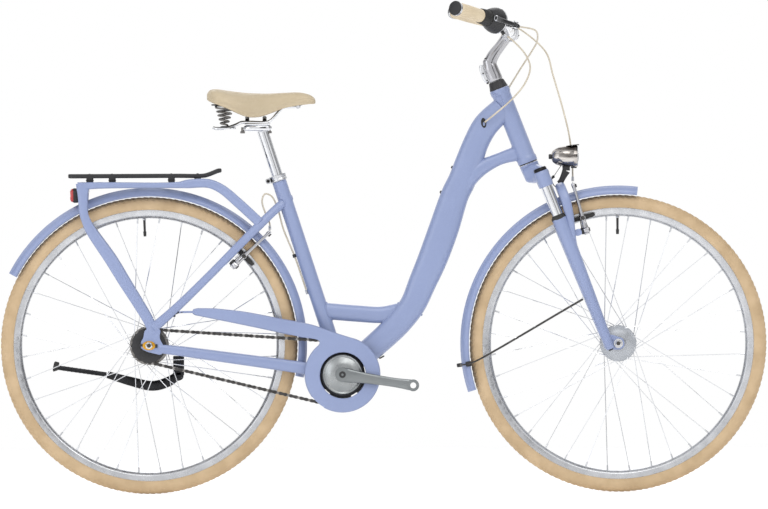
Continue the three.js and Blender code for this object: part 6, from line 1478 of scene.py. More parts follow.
# %% Lower legs and arch
lowers = []
for s in (-1, 1):
    rows = [(*leg_at(up, s), w, w * d) for up, w, d in ((-6, 17, 1.0), (-3, 21, 1.0), (20, 23, 1.02),
        (90, 26.4, 1.02), (170, 30.5, 1.0), (240, 33.4, 1.0), (300, 35.6, 1.0), (322, 36.2, 1.0),
        (328, 35.8, 1.0), (329.5, 34, 1.0))]
    lowers.append(sweep(rows, 40, 2.05, per_span=5))
    leg, ax = head(17, LEG_FORWARD), FRONT
    corners = [(leg[0] - 12, leg[2] + 6), (leg[0] + 9, leg[2] + 14), (ax[0] + 13, ax[2] + 11),
        (ax[0] + 15, ax[2] - 6), (ax[0] + 6, ax[2] - 15), (ax[0] - 12, ax[2] - 15), (leg[0] - 6, leg[2] - 22)]
    lowers.append(plate(round_corners(corners, 7), s * 53.5, 6, [(ax[0], ax[2], AXLE_HOLE)], bevel=1.2))
    boss, ahead = (brake_point(FRONT, BRAKE["front"], BRAKE["pivot"], turn, s * BRAKE["side"]) for turn in (0, 1))
    tangent = unit(ahead - boss)
    lowers.append(bar(boss + tangent * 5, boss + tangent * 22, 6.4, 7.4, 28, 0.8))
    lug_rows = [(*(boss + tangent * back + Y * s * out), w, d)
        for back, out, w, d in ((20, 17, 16, 17), (19, 0, 15, 15), (18, -5, 11, 11))]
    lowers.append(sweep(lug_rows, 24, 2.4, HEAD_UP, 5))
arch_rows = [(245, 28, 58, 14, 14), (272, 33, 58, 15, 18), (300, 40, 58, 17, 21), (335, 46.5, 58, 22, 21),
    (363, 50, 57, 22.5, 20), (383, 50, 49, 23, 19.5), (393, 50, 30, 23, 20), (393.5, 50, 10, 23, 20.5)]
arch = [[(*head(up, f, s * y), w, d) for up, f, y, w, d in arch_rows] for s in (-1, 1)]
lowers.append(sweep(arch[0] + arch[1][::-1], 32, 2.8, HEAD_FWD, 6))
piece("fork_lower_legs", lowers, PAINT, "fork_lower", ["fork_lowers"], angle=40)
caps = [bar(leg_at(-9, s), leg_at(-5.2, s), 5.5, 6.5, 6, 0.5) for s in (-1, 1)]
piece("fork_foot_bolts", caps, ANODISED, "fork_lower")
print("parts of the lowers", len(lowers))

# %% Headset
ring_rows = [(15.6, 0.3), (21.6, 0.3), (22.4, 1.0), (22.4, 2.2), (21.6, 2.9), (15.6, 2.9)]
piece("headset_lower_ring", [hollow(ring_rows, HEAD_BOTTOM, HEAD_UP, 56)], BLACK, "frame",
    ["headset_lower"], "black_metal")
cone = [(15.6, 0.3), (21.4, 0.3), (22.3, 1.2), (22.2, 3.4), (21.2, 6), (19.2, 15), (18.4, 18),
    (17.4, 19.6), (16.4, 20), (15.6, 20)]
piece("headset_upper_cone", [hollow(cone, HEAD_TOP, HEAD_UP, 56)], BLACK, "steering",
    ["headset_upper"], "black_metal")

print("headset", made[-2:])

# %% [markdown]
# One wire runs from leg to leg round the back of the front mudguard, held to it by a small clip. It is a round rod
# along a bowed line, whose middle points lie on an arc just outside the mudguard's rolled edges.

# %% Front mudguard stay
STAY_DEGREES = 187.6
bow = []
for d in (90, 60, 30, 0, -30, -60, -90):
    a = radians(d)
    bow.append(around(FRONT, 354 + 24 * cos(a), STAY_DEGREES, -(27 + 5) * sin(a)))


def stay_foot(s):
    return head(128, LEG_FORWARD - 13.75, s * 57)


piece("front_stay_wire", [rod([stay_foot(-1)] + bow + [stay_foot(1)], 4.2, 14, 8)], DARK_STEEL, "fork_lower",
    ["front_mudguard_stay"], "black_metal")
outwards = basis(around(FRONT, 1, STAY_DEGREES) - around(FRONT, 0, STAY_DEGREES), Y)
clip = [block((15, 12, 9), around(FRONT, 377.5, STAY_DEGREES), outwards, 1.5)]
clip += [block((14, 5, 12), around(FRONT, 357, STAY_DEGREES, s * 30.5), outwards, 1.2) for s in (-1, 1)]
ends = [bar(stay_foot(s) - Y * s * 1.0, stay_foot(s) + Y * s * 3.4, 5.2, 4.6, 6, 0.6) for s in (-1, 1)]
piece("front_stay_clips", clip, BLACK, "fork_lower")
piece("front_stay_bolts", ends, CHROME, "fork_lower", slot="steel")
print("fork done", len(made))

# %% [markdown]
# ## Cockpit
# The bar's centre line is one spline from the stem out to the grip; every control is placed by its distance in
# from the bar's end, as a mechanic would measure it.

# %% Line of the handlebar
BAR_AT = V(302, 0, 1086)
BAR_SHARES = [(0, 0, 0), (0, 0.12, 0), (0, 0.25, 0.13), (0.054, 0.393, 0.345), (0.12, 0.4355, 0.3908),
    (0.29, 0.545, 0.509), (0.527, 0.697, 0.6733), (0.763, 0.8488, 0.8368), (1, 1.001, 1)]
BAR_REACH = (130.0, 300.0, 55.0)


def run_lengths(line):
    """How far along a line each of its points is."""
    return np.r_[0, np.cumsum(np.linalg.norm(np.diff(line, axis=0), axis=1))]


def along_line(line, lengths, d):
    return np.array([np.interp(d, lengths, line[:, k]) for k in range(3)])


bar_lines = {}
for s in (-1, 1):
    points = [BAR_AT + V(-b * BAR_REACH[0], s * o * BAR_REACH[1], u * BAR_REACH[2]) for b, o, u in BAR_SHARES]
    line = smooth_rows(points, 30)
    bar_lines[s] = (line, run_lengths(line))


def on_bar(side, inward):
    """A place and the outward direction on the bar, so far in from its end."""
    line, lengths = bar_lines[side]
    d = lengths[-1] - inward
    at, after, before = (along_line(line, lengths, x) for x in (d, min(d + 2, lengths[-1]), d - 2))
    return at, unit(after - before)


def sleeve(side, rows, sides=44):
    """A closed sleeve on the bar from (inward, radius) pairs; it follows the bar's bend."""
    rings = []
    for inward, radius in rows:
        at, out = on_bar(side, max(inward, 0))
        if inward < 0:
            at = at + out * -inward
        across = unit(V(1, 0, 0) - out * out[0])
        rings.append(ring(at, across, np.cross(out, across), radius, radius, sides, 2))
    return skin(rings)


print("bar half length", round(float(bar_lines[1][1][-1])), "mm")

# %% Handlebar
tube_line = np.vstack([bar_lines[-1][0][::-1], bar_lines[1][0][1:]])[::4]
sizes = [22.2 + 9.4 * max(0, min(1, (42 - abs(p[1])) / 14)) ** 1.5 for p in tube_line]
piece("handlebar_tube", [rod(tube_line, sizes, 40, 1)], CHROME, "steering", ["handlebar"], "silver")
print("widest", round(max(sizes), 1), "mm, in the clamp")

# %% Stem
stem_foot = STEM_FOOT + 0.6
joint = head(stem_foot + 44, 4)
up_to_bar = unit(BAR_AT - joint)
extension = [(*head(stem_foot + u, f), w, w) for u, f, w in ((6, 0, 29), (22, 0, 31), (36, 1.5, 31))]
extension += [(*(joint + (BAR_AT - joint) * t), w, d) for t, w, d in ((0.16, 28.5, 28.5), (0.5, 25.5, 25),
    (0.8, 27, 26), (0.95, 34, 30), (1.02, 36, 26))]
quill = [sweep([(*head(stem_foot + u, f), w, d) for u, f, w, d in ((-6.2, 0, 31, 31), (-4.4, 0, 34, 34),
    (14, 0, 34, 34.4), (28, 0, 33.4, 33.4), (38, 1, 31, 31), (46, 2.4, 28, 28), (50, 3.4, 20, 19))], 40, 2.2, Y, 5)]
ear = [sweep([(*head(stem_foot + u, -f), 16, d) for u, f, d in ((0.4, 17, 10), (3, 19, 15), (20, 20.5, 15),
    (36, 19, 14), (41, 17, 9))], 24, 3.5, Y, 5)]
CLAMP_BOLTS = ((238.3, 990.4), (247.7, 973.8))
ear += [bar(V(x, -9.4, z), V(x, 9.4, z), 4.2, 4.2, 24, 0.6) for x, z in CLAMP_BOLTS]
face_rows = [(15.9, -23), (19.4, -23), (20.8, -21.6), (20.8, -13), (19.6, -11.6)]
faceplate = [hollow(mirrored(face_rows), BAR_AT, Y, 64)]
across_face = unit(np.cross(Y, up_to_bar))
face_lip = {s: BAR_AT + across_face * s * 18.5 for s in (-1, 1)}
for s in (-1, 1):
    faceplate.append(block((9, 40, 10), face_lip[s] + up_to_bar, basis(up_to_bar, Y), 1.6))
piece("stem_casting", [sweep(extension, 40, 2.4, Y, 6)] + quill, STEM_CHROME, "steering", ["stem"], angle=40)
piece("stem_faceplate", faceplate + ear, CHROME, "steering", slot="silver", angle=35)
big_head = [(0, 0), (4.4, 0), (4.4, 4.6), (3.8, 5.2), (2.4, 5.2), (2.2, 2.6), (0, 2.6)]
small_head = [(0, 0), (3.4, 0), (3.4, 3.6), (2.9, 4.0), (1.8, 4.0), (1.7, 2.0), (0, 2.0)]
bolts = [lathe(big_head, V(x, 0, z), -HEAD_FWD * 0.9 + HEAD_UP * 0.2, 24)
    for x, z in ((249, 1022), (243, 989), (251, 970))]
bolts += [lathe(small_head, face_lip[s] + up_to_bar * 5 + Y * y, up_to_bar, 20) for s in (-1, 1) for y in (-14, 14)]
for s in (-1, 1):
    bolts += [bar(V(x, s * 9.2, z), V(x, s * 9.9, z), 2.2, 2.0, 6) for x, z in CLAMP_BOLTS]
    bolts.append(block((4.5, 1.6, 13), V(245.4, s * 7.8, 1021), basis(HEAD_FWD, Y), 0.6))
piece("stem_bolts", bolts, DARK_STEEL, "steering", slot="black_metal")
print("stem bolts", len(bolts))

# %% [markdown]
# Grips are soft sleeves with fine rings and a black cap; the shifter's collar and bell housing follow on the right.
# The rings are part of the profile, so they bend with the bar; a bump map would slide over the grip's swelling ends.

# %% Grips
GRIPS = {-1: 105.0, 1: 132.0}


def grip_rows(length):
    rows = [(0.4, 12), (0.4, 14.6), (0.9, 15.6), (2.2, 16.2)]
    for d in np.arange(4.0, length - 5, 1.5):
        t = d / length
        swell = 0.9 * sin(pi * t) + 0.5 * exp(-((d - 8) / 6) ** 2)
        groove = -0.45 if int(d / 1.5) % 4 == 0 and 14 < d < length - 12 else 0.0
        rows.append((d, 15.4 + swell + groove))
    return rows + [(length - 3, 15.8), (length - 1, 16.0), (length - 0.2, 15.2), (length - 0.2, 12)]


for s, word in SIDES:
    piece(word + "_grip_sleeve", [sleeve(s, grip_rows(GRIPS[s]))], CREAM, "steering", [word + "_grip"], angle=60)
    cap = [(0.3, 10), (0.3, 16.6), (-0.4, 17.2), (-1.6, 17.2), (-2.6, 16.2), (-3.2, 13.4), (-3.6, 8), (-3.7, 0.4)]
    piece(word + "_grip_cap", [sleeve(s, cap)], BLACK, "steering")
    collar = [(0.4, 12), (0.4, 17.2), (1.0, 17.6), (6.0, 17.6), (6.6, 17.1), (6.6, 12)]
    at, out = on_bar(s, 3.6)
    up, dashes = unit(V(0, 0, 1) - out * out[2]), []
    for turn in tau / 26 * np.arange(26):
        way = up * cos(turn) + np.cross(out, up) * sin(turn)
        dashes.append(bar(at + way * 16.6, at + way * 17.9, 0.9, sides=8))
    piece(word + "_grip_dashes", dashes, BLACK, "steering")
    piece(word + "_grip_ring", [sleeve(s, collar)], CHROME, "steering")


print("grip rings", len(grip_rows(GRIPS[1])))

# %% Twist shifter
twist_from = GRIPS[-1] + 0.5
twist = [(twist_from, 12), (twist_from, 16.8)]
for d in np.linspace(0.8, 29.4, 26):
    ridge = 0.7 * (0.5 + 0.5 * cos(d * 1.45)) if 3 < d < 24 else 0
    twist.append((twist_from + d, 17.2 + 1.7 * (d / 30) + ridge))
twist += [(twist_from + 30, 18.4), (twist_from + 30, 12)]
piece("shifter_collar", [sleeve(-1, twist, 64)], RUBBER, "twist_shifter", ["shifter_twist"])
house = twist_from + 30.5
bell = [(house, 12), (house, 19.4), (house + 0.8, 20.4), (house + 6, 22.4), (house + 14, 25.6), (house + 22, 28.4),
    (house + 30, 30.2), (house + 37, 31), (house + 41, 30.8), (house + 43.4, 29.6),
    (house + 44, 27), (house + 44, 12)]
piece("shifter_bell", [sleeve(-1, bell, 64)], BLACK, "steering", ["shifter_housing"])
hoop = [(house + 36.6, 29), (house + 36.6, 31.1), (house + 37.4, 31.4), (house + 39, 31.4),
    (house + 39.6, 31.1), (house + 39.6, 29)]
piece("shifter_ring", [sleeve(-1, hoop, 64)], CHROME, "steering")
anchor, SPOUT_TO = on_bar(-1, house + 22)[0], V(287, -166, 1082)
spout = [rod([anchor + V(2, 0, -12), anchor * 0.35 + SPOUT_TO * 0.65 + V(0, 0, -2), SPOUT_TO],
    [16.0] + [11.0] * 5 + [8.6] * 6 + [7.0], 24, 6)]
piece("shifter_spout", spout, BLACK, "steering")

print("shifter reaches in to", house + 44, "mm from the bar's end")

# %% [markdown]
# Each brake lever turns on a pin in a polished perch. The blade curls out and forwards in front of the grip.
# Both sides are made by the same lines, in a frame of three directions found from the bar at that place.

# %% Levers
LEVER = {"from": 186.0, "width": 14.0, "forward": 40.0, "drop": 4.0}


def lever_frame(side):
    at, out = on_bar(side, LEVER["from"] + LEVER["width"] / 2)
    f = V(1, 0, -0.16)
    forward = unit(f - out * np.dot(f, out))
    up = unit(np.cross(forward, out) * side)
    return at, out, forward, up, at + forward * LEVER["forward"] - up * LEVER["drop"]


for s, word in SIDES:
    at, out, forward, up, pivot = lever_frame(s)
    w = LEVER["width"] / 2
    clamp = hollow([(11.4, -w), (14, -w), (15.2, 1 - w), (15.2, w - 1), (14, w), (11.4, w)], at, out, 48)
    body = [sweep([(*(at + forward * 11), 13, 14), (*(at + forward * 17 - up), 14, 18),
        (*(at + forward * 27 - up * 3), 14.5, 19)], 28, 3, up, 6)]
    cheeks = [sweep([(*(p + up * k * 6.6), w_, d) for p, w_, d in ((at + forward * 22 - up * 2, 2.6, 19),
        (pivot, 2.8, 18), (pivot + forward * 7, 2.6, 13), (pivot + forward * 10, 2.2, 6))], 20, 4, up, 6)
        for k in (-1, 1)]
    barrel_from = at + forward * 26 - up * 3 - out * 6
    barrel = bar(barrel_from, pivot - out * 8.6, 5.2, 4.6, 28, 0.6)
    lug = bar(at - forward * 11 + up * 1, at - forward * 21 + up * 1, 5.6, 4.8, 24, 1.0)
    piece(word + "_perch_casting", [clamp, barrel, lug] + body + cheeks, CHROME, "steering",
        [word + "_brake_perch"], "silver", angle=40)
    pins = [bar(pivot - up * 9.4, pivot + up * 9.4, 3.0, sides=20),
        bar(at - forward * 15 - up * 7, at - forward * 15 + up * 9, 2.8, sides=16)]
    adjuster = [hollow([(2.6, 0), (5.4, 0), (5.6, 1.2), (5.6, 6), (4.4, 7.4), (3.6, 12), (2.6, 12)],
        pivot - out * 9, -out, 12)]
    piece(word + "_lever_pins", pins + adjuster, ANODISED, "steering")
    blade, tip = ([(*(pivot + out * o + forward * f), w_, d) for o, f, w_, d in rows]
        for rows in (((-6.5, 1, 8.2, 10), (-2, 1.4, 9.6, 13.6), (6, 3, 9.2, 13), (20, 5.2, 10, 11.4),
        (46, 7, 11, 9.8), (70, 9, 12.2, 8.8), (90, 13, 13, 8), (99, 15.4, 12.4, 7.4), (104, 17.2, 9.4, 5.6)),
        ((93, 12.6, 13.4, 9.0), (98, 14.4, 13.4, 8.8), (103.6, 16.6, 10.6, 6.8))))
    piece(word + "_lever_blade", [sweep(blade, 32, 2.5, up, 7)], ANODISED, "brake_lever_" + word,
        [word + "_brake_lever"], angle=50)
    piece(word + "_lever_tip", [sweep(tip, 28, 2.5, up, 6)], CHROME, "brake_lever_" + word)
print("cockpit done", len(made))

# %% [markdown]
# ## Brakes
# Each alloy arm turns on a boss beside the rim, with its spring behind it and its pad on a threaded stud.
# On the real bike the cable pulls the two tops together, out of a curved noodle and through a rubber boot. The short
# bare length between the arms is not made here; noodle, boot and clamp bolt are.

# %% Brake arms
PAD_DEPTH = 12.0
ARM_ROWS = ((268, 0, 11, 8), (272, 0, 14, 9.6), (279, 0, 15.5, 10), (290, 0, 12, 9.6), (302, 2, 10.4, 9.4),
    (314, 3, 9.2, 9.2), (330, 3, 8, 8.8), (352, 4, 7.4, 8.2), (376, 6.5, 7.2, 8),
    (388, 8, 8.6, 8.4), (393, 8, 8, 6.6))
PAD_ROWS = ((-30, 5), (-29, 6.8), (-27, 7.8), (-14, 8), (0, 8), (14, 8), (27, 7.8), (29, 6.8), (30, 5))
HOLDER_ROWS = ((-28, 5), (-26, 8), (-10, 9.6), (0, 10.6), (10, 9.6), (26, 8), (28, 5))


def brake_arm(word, centre, degrees, side, end):
    """One arm with its pad, spring and studs; one of each pair has the noodle, the other the cable's bolt."""
    def at(radius, y, turn=0.0):
        return brake_point(centre, degrees, radius, turn, side * y)

    def along_pad(rows, share, thick, power):
        """A bar along the pad, bowed with the rim."""
        return sweep([(*at(pad_at + 0.0012 * k * k, pad_y + PAD_DEPTH * share[0] + share[1], k), PAD_DEPTH * thick, h)
            for k, h in rows], 24, power, Y, 4)

    out = unit(at(2, 0) - at(1, 0))
    tangent = unit(at(1, 0, 1) - at(1, 0, 0))
    y, pad_at, pad_y = BRAKE["side"], BRAKE["pad"], 12 + 2.4
    body = "%s_arm_%s" % (end, word)
    parts = [sweep([(*at(r, y - dy), w, d) for r, dy, w, d in ARM_ROWS], 28, 2.7, tangent, 5)]
    parts.append(lathe([(0, -6), (7.6, -6), (8.4, -5), (8.4, 5.6), (7.2, 7), (0, 7)], at(278, y), -tangent, 32))
    parts.append(hollow([(3.4, 0), (6.4, 0), (6.8, 1), (6.4, 2.2), (3.4, 2.2)], at(pad_at, y - 8.4), -Y * side, 28))
    piece("%s_brake_casting_%s" % (end, word), parts, STEM_CHROME, body, ["%s_brake_arm_%s" % (end, word)], angle=40)
    pad = [along_pad(PAD_ROWS, (0.3, 1), 0.62, 4), along_pad(HOLDER_ROWS, (0.78, 0), 0.4, 3.4)]
    spring = [rod([at(270, y - 6, 7), at(276, y - 8, 9), at(292, y - 8, 8), at(320, y - 9.5, 5), at(336, y - 8.6, 3)],
        1.8, 10)]
    piece("%s_brake_pad_%s" % (end, word), pad, RUBBER, body, angle=40)
    coil = [bar(at(278, y, 5), at(278, y, 12.5), 8.2, 7.4, 28, 1.2)]
    piece("%s_brake_spring_%s" % (end, word), spring + coil, BLACK, body)
    stud = [bar(at(pad_at, pad_y + 8), at(pad_at, y + 6), 3.2, sides=20),
        bar(at(pad_at, y + 1), at(pad_at, y + 5.6), 5.2, 5.2, 6, 0.5),
        bar(at(278, y, -6.4), at(278, y, -9.4), 5.4, 4.6, 24, 1.2)]
    piece("%s_brake_stud_%s" % (end, word), stud, DARK_STEEL, body)
    if side == (1 if end == "front" else -1):
        top = at(389, y - 8)
        inwards = -Y * side
        noodle = [rod([top + out * 4.4 + V(0, 0, 0.4), top + out * 1.6 + inwards * 3.5,
            top + inwards * 10 - out * 0.6, top + inwards * 17 - out * 0.6], [4.4] * 18 + [3.6], 16)]
        cradle = [bar(top + Y * side * 2.6, top - Y * side * 3.4, 4.6, sides=24)]
        piece("%s_brake_noodle" % end, noodle + cradle, CHROME, body)
    else:
        top = at(386, y - 8)
        grip_bolt = [bar(top - tangent * 7, top - tangent * 3.6, 4.8, 4.4, 6, 0.6),
            bar(top - tangent * 4, top + tangent * 5, 3.0, sides=16)]
        folds = [(3.4 + 0.8 * (k % 2), 1.6 + 1.5 * k) for k in range(10)]
        boot = [lathe([(0.9, 0), (3.2, 0.4), *folds, (2.2, 17.6), (0.9, 18.2)], top - Y * side * 6, -Y * side, 20)]
        piece("%s_brake_cable_bolt" % end, grip_bolt + boot, BLACK, body)


print("arm sections", len(ARM_ROWS))

# %% Four brake arms
for end, centre, slope in (("front", FRONT, BRAKE["front"]), ("rear", REAR, BRAKE["rear"])):
    for side, word in SIDES:
        brake_arm(word, centre, slope, side, end)
print("brakes done", len(made))

# %% [markdown]
# ## Headlamp
# A chromed bullet with a black switch knob at the back, a peak over the lens and a black reflector foot,
# tilting on a bracket that stands on the fork's arch. Two thin wires go down to it. All of it is turned or swept
# about the lamp's own aim, so its tilt is one number.

# %% Headlamp
LAMP_AT, LAMP_TILT = V(427.6, 0, 793.4), radians(0.5)
AIM = V(cos(LAMP_TILT), 0, sin(LAMP_TILT))
LAMP_UP = V(-sin(LAMP_TILT), 0, cos(LAMP_TILT))


def lamp_at(ahead, up=0.0, drop=0.0):
    """A point by the lamp: along its aim, up from it, and straight down."""
    return LAMP_AT + AIM * ahead + LAMP_UP * up - V(0, 0, drop)


shell = [(0, -28.6), (8, -28.4), (13.6, -25.4), (18.6, -19.0), (22.0, -10.5), (24.2, -0.5), (25.0, 9), (25.0, 22),
    (25.6, 23), (26.0, 25.4), (26.0, 30), (25.4, 32.4), (24.4, 32.9), (23.4, 32.4), (22.8, 26), (0, 25.4)]
peak_rows = [(*lamp_at(a, u), w, d) for a, u, w, d in ((6, 24.2, 18, 1.6), (14, 25.8, 26, 2.2), (24, 26.8, 30, 2.6),
    (33, 27.2, 32, 3.0), (36.2, 27.0, 31, 3.4), (37, 26.8, 28, 2.2))]
# The shell's colour carries painted reflections: bright and dark level bands.
piece("headlamp_shell", [lathe(shell, LAMP_AT, AIM, 72), sweep(peak_rows, 28, 3.2, Y, 5)], LAMP_CHROME_PAINTED_REFLECTION,
    "lamp", ["headlamp"], angle=38)
knob = lathe([(0, -35.4), (4.8, -35.4), (5.8, -34.6), (6.0, -31), (5.6, -28.4), (4.4, -27.4), (0, -27.4)],
    LAMP_AT, AIM, 14)
foot = sweep([(*lamp_at(a, -24.6), w, 7.0) for a, w in ((17, 9), (18.4, 12), (27, 12.4), (30.6, 11))], 20, 4, Y, 3)
lug = sweep([(*lamp_at(6, 0, d), w, t) for d, w, t in ((20.5, 12, 20), (26, 11.6, 18), (31, 11.8, 18),
    (33.6, 12, 18.5))], 24, 3.6, Y, 4)
piece("headlamp_trim", [knob, foot, lug], BLACK, "lamp", angle=38)
bezel = hollow([(22.6, 26), (24.2, 26), (24.2, 33.2), (22.6, 34)], LAMP_AT, AIM, 64)
piece("headlamp_bezel", [bezel], SILVER, "lamp")
glass = [(0, 35.6), (6, 35.4), (12, 34.8), (17, 33.6), (20.4, 31.8), (22.5, 29.0), (22.5, 26.6), (0, 26.4)]
piece("headlamp_glass", [lathe(glass, LAMP_AT, AIM, 64)], CLEAR, "lamp", ["headlamp_lens"])
bulb = [(0, 0), (4, 0.6), (5.6, 3), (4.4, 5.4), (0, 6.2)]
piece("headlamp_bulb", [lathe(bulb, lamp_at(26.8), AIM, 28)], CHROME, "lamp")
print("lamp pieces", made[-4:])

# %% Lamp bracket and wires
foot_up = ARCH_TOP + 2.3
toe, heel = head(foot_up, ARCH_FORWARD + 9), head(foot_up, ARCH_FORWARD - 8)
lamp_seat = lamp_at(6, 0, 36.05)
foot_mid = toe * 0.45 + heel * 0.55 + V(5.5, 0, 0)
strip = [(*(foot_mid * (1 - t) + lamp_seat * t + V(0, 0, 1.9 * t)), 13, d)
    for t, d in ((-0.05, 17), (0.1, 14), (0.3, 13.5), (0.7, 16), (0.9, 18.5), (1.0, 19))]
screw = [bar(head(foot_up - 3, ARCH_FORWARD + 3), head(foot_up + 3.4, ARCH_FORWARD + 3), 4.4, 4.0, 6, 0.5)]
piece("lamp_bracket_strip", [sweep(strip, 20, 5, Y, 4)] + screw, BLACK, "fork_lower",
    ["headlamp_bracket"], "black_metal", angle=40)
wires = [rod([LAMP_AT + AIM * -6 - V(0, s * -3, 22), V(416, s * 4, 764), V(408, s * 5, 752), V(403.4, s * 2.4, 745)],
    1.5, 8) for s in (-1, 1)]
plug = bar(V(405.4, 0, 747.2), V(399.6, 0, 742.4), 3.4, 3.0, 16, 0.5)
tail = rod([V(400, 0, 742.6), V(399.6, 0, 738), head(404, 37), head(396, 41)], 2.2, 10)
piece("lamp_wires", wires + [plug, tail], BLACK, "fork_lower")
print("bracket rises", round(float(lamp_seat[2] - foot_mid[2]), 1), "mm")

# %% [markdown]
# ## Saddle
# A padded cover with its own seam, over a black base, two wide conical springs and bright rails. The post and the
# rails carry it, and only the springs give.

# %% Seatpost
post_top = seat(np.dot(V(-295, 0, 863.9) - BB, SEAT_UP))
post = [bar(seat(SEAT_LENGTH - 190), post_top, 13.4, sides=56)]
head_rows = [(-329, 26, 8), (-327, 34, 12), (-318, 44, 15), (-300, 48, 18.5), (-286, 46, 19),
    (-270, 40, 16), (-262.4, 30, 9)]
post.append(sweep([(x, 0, 864.2 - (0 if x > -310 else 1), w, d) for x, w, d in head_rows], 36, 3.4, Y, 5))
for s in (-1, 1):
    post.append(sweep([(x, s * 22, z, 9, d) for x, z, d in ((-326, 872.6, 3), (-322, 872.8, 5), (-297, 873, 5.4),
        (-270, 872.8, 5), (-266, 872.6, 3))], 20, 3.4, Y, 4))
piece("seatpost_tube", post, CHROME, "seat_support", ["seatpost"], angle=40)
clips, studs, clip_middle, stud_spread = [], [], -299.5, 1.55
clip_rows = ((-27, 879.8), (-24.5, 882.6), (-18, 883.9), (0, 883.6), (18, 883.9), (24.5, 882.6), (27, 879.8))
for x in (-320, -279):
    clips.append(sweep([(x, y, z, 9.5, 4.4) for y, z in clip_rows], 20, 3.6, V(1, 0, 0), 6))
    under = clip_middle + (x - clip_middle) * stud_spread
    studs += [bar(V(x, 0, 862), V(x, 0, 892), 3.4, sides=20), bar(V(under, 0, 853), V(under, 0, 866), 3.4, sides=20),
        bar(V(under, 0, 851.5), V(under, 0, 856.5), 6.4, 6.4, 6, 0.8),
        bar(V(x, 0, 886), V(x, 0, 890.6), 5.6, 5.6, 6, 0.6)]
piece("seat_clamp_clips", clips, DARK_STEEL, "seat_support")
piece("seat_clamp_studs", studs, STEEL, "seat_support")
print("post top", post_top.round(1))

# %% Saddle rails
RAIL = [(-400, 50, 865), (-396, 52, 863.6), (-372, 46, 864), (-346, 24, 872), (-333, 22, 877.5), (-274, 22, 877.5),
    (-264, 20, 882), (-243, 12, 905), (-234, 8, 912), (-212, 6, 914), (-194, 5.4, 914)]
rails = [rod([(x, s * y, z) for x, y, z in RAIL], 7, 20, 8) for s in (-1, 1)]
plate_rows = [(x, 0, 863.4, w, 4.0) for x, w in ((-401, 96), (-399, 116), (-392, 126), (-374, 128), (-356, 126),
    (-349, 116), (-347, 100))]
rails += [sweep(plate_rows, 32, 6, Y, 3), bar(V(-200, -16, 914), V(-200, 16, 914), 4.6, sides=28)]
piece("saddle_rails", rails, CHROME, "seat_support", ["saddle_frame"], "steel", angle=40)
print("rail pieces", len(rails))

# %% Conical springs
SPRING_X, SPRING_Y, SPRING_TURNS = -374, 52, 4.5


def spring_wire(side):
    """A wire wound wider towards the top, led into its two seats."""
    points = []
    for t in np.linspace(0, 1, int(SPRING_TURNS * 40)):
        a, r = 2 * pi * SPRING_TURNS * t, 7.6 + 12.6 * t
        points.append((SPRING_X + r * cos(a), side * (SPRING_Y + r * sin(a)), 870.8 + 41.4 * t))
    lead_in = [(points[0][0] - 0.3, points[0][1] - side * 3, 868)]
    lead_out = [(points[-1][0] + 0.3, points[-1][1] + side * 3, 914.6)]
    return rod(lead_in + points + lead_out, 4.0, 14, 1)


for s, word in SIDES:
    spring = piece("saddle_coil_" + word, [spring_wire(s)], STEEL, "seat_support", ["saddle_spring_" + word])
    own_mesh(spring)
    seats = [lathe([(0, 0), (8.4, 0), (9.2, 0.8), (9.2, 2.6), (5, 3.6), (0, 3.6)],
        V(SPRING_X, s * SPRING_Y, 865.2), V(0, 0, 1), 32)]
    piece("saddle_spring_seat_" + word, seats, BLACK, "seat_support")


print("spring turns", SPRING_TURNS)

# %% Saddle base
base_rows = [(x, 0, z, w, 3.2) for x, z, w in ((-404, 919, 112), (-398, 918.9, 128), (-374, 918.8, 148),
    (-340, 918.8, 118), (-290, 918.8, 62), (-240, 918.8, 44), (-190, 918.8, 30))]
base = [sweep(base_rows, 36, 5, Y, 4)]
for s in (-1, 1):
    base.append(lathe([(0, 0), (22.6, 0), (22.6, 1.6), (20, 2.2), (0, 2.2)],
        V(SPRING_X, s * SPRING_Y, 915.4), V(0, 0, 1), 40))
piece("saddle_base_shell", base, BLACK, "saddle", ["saddle_base"])
print("saddle frame done", len(made))

# %% [markdown]
# The cover is drawn as sections from nose to tail, each with its half width, lip and crown, smoothed both ways.
# Foam swells it a little between the stations; the lip turns under and a stitched line follows it.

# %% Saddle cover
CUSHION = [(-158.5, 9, 923.5, 928), (-160, 15, 921.2, 932.4), (-164, 21.5, 920.4, 937), (-172, 26, 920, 942),
    (-195, 30, 917, 947.5), (-231, 35, 910, 947), (-262, 45, 899, 945.5), (-290, 60, 890, 945.5),
    (-320, 80, 889.5, 947), (-345, 93, 899, 949.5), (-370, 100, 910.5, 953), (-392, 98, 919, 956),
    (-404, 89, 924.4, 955), (-411, 76, 928, 950.6), (-414.6, 60, 931, 944.6)]
CUSHION_SHARES = [(0, 0), (0.80, 0), (0.90, 0.06), (0.955, 0.015), (0.985, 0.13), (0.985, 0.36), (0.995, 0.58),
    (0.955, 0.78), (0.84, 0.91), (0.66, 0.975), (0.42, 1.0), (0.2, 0.99), (0, 0.975)]
stations = smooth_rows([(x, h, lip, top, 0) for x, h, lip, top in CUSHION], 10)
profile = smooth_rows([(y, z, 0) for y, z in CUSHION_SHARES[1:]], 7)[:, :2]
cover_rings, lip_lines = [], {-1: [], 1: []}
for x, half, lip, top, _ in stations:
    floor_z = max(920.8, lip + 1.4)
    right = [(0, floor_z), (half * 0.4, floor_z)]
    for y, z in profile:
        height = lip + z * (top - lip)
        right.append((half * y, max(height, floor_z) if y < 0.86 and z < 0.1 else height))
    left = [(-y, z) for y, z in right[1:-1]][::-1]
    cover_rings.append(np.array([(x, y, z) for y, z in right + left]))
    for s in (-1, 1):
        lip_lines[s].append((x, s * half * 0.992, lip + 0.22 * (top - lip)))
cover = mesh_object("saddle_cover_skin", [skin(cover_rings)], angle=75)
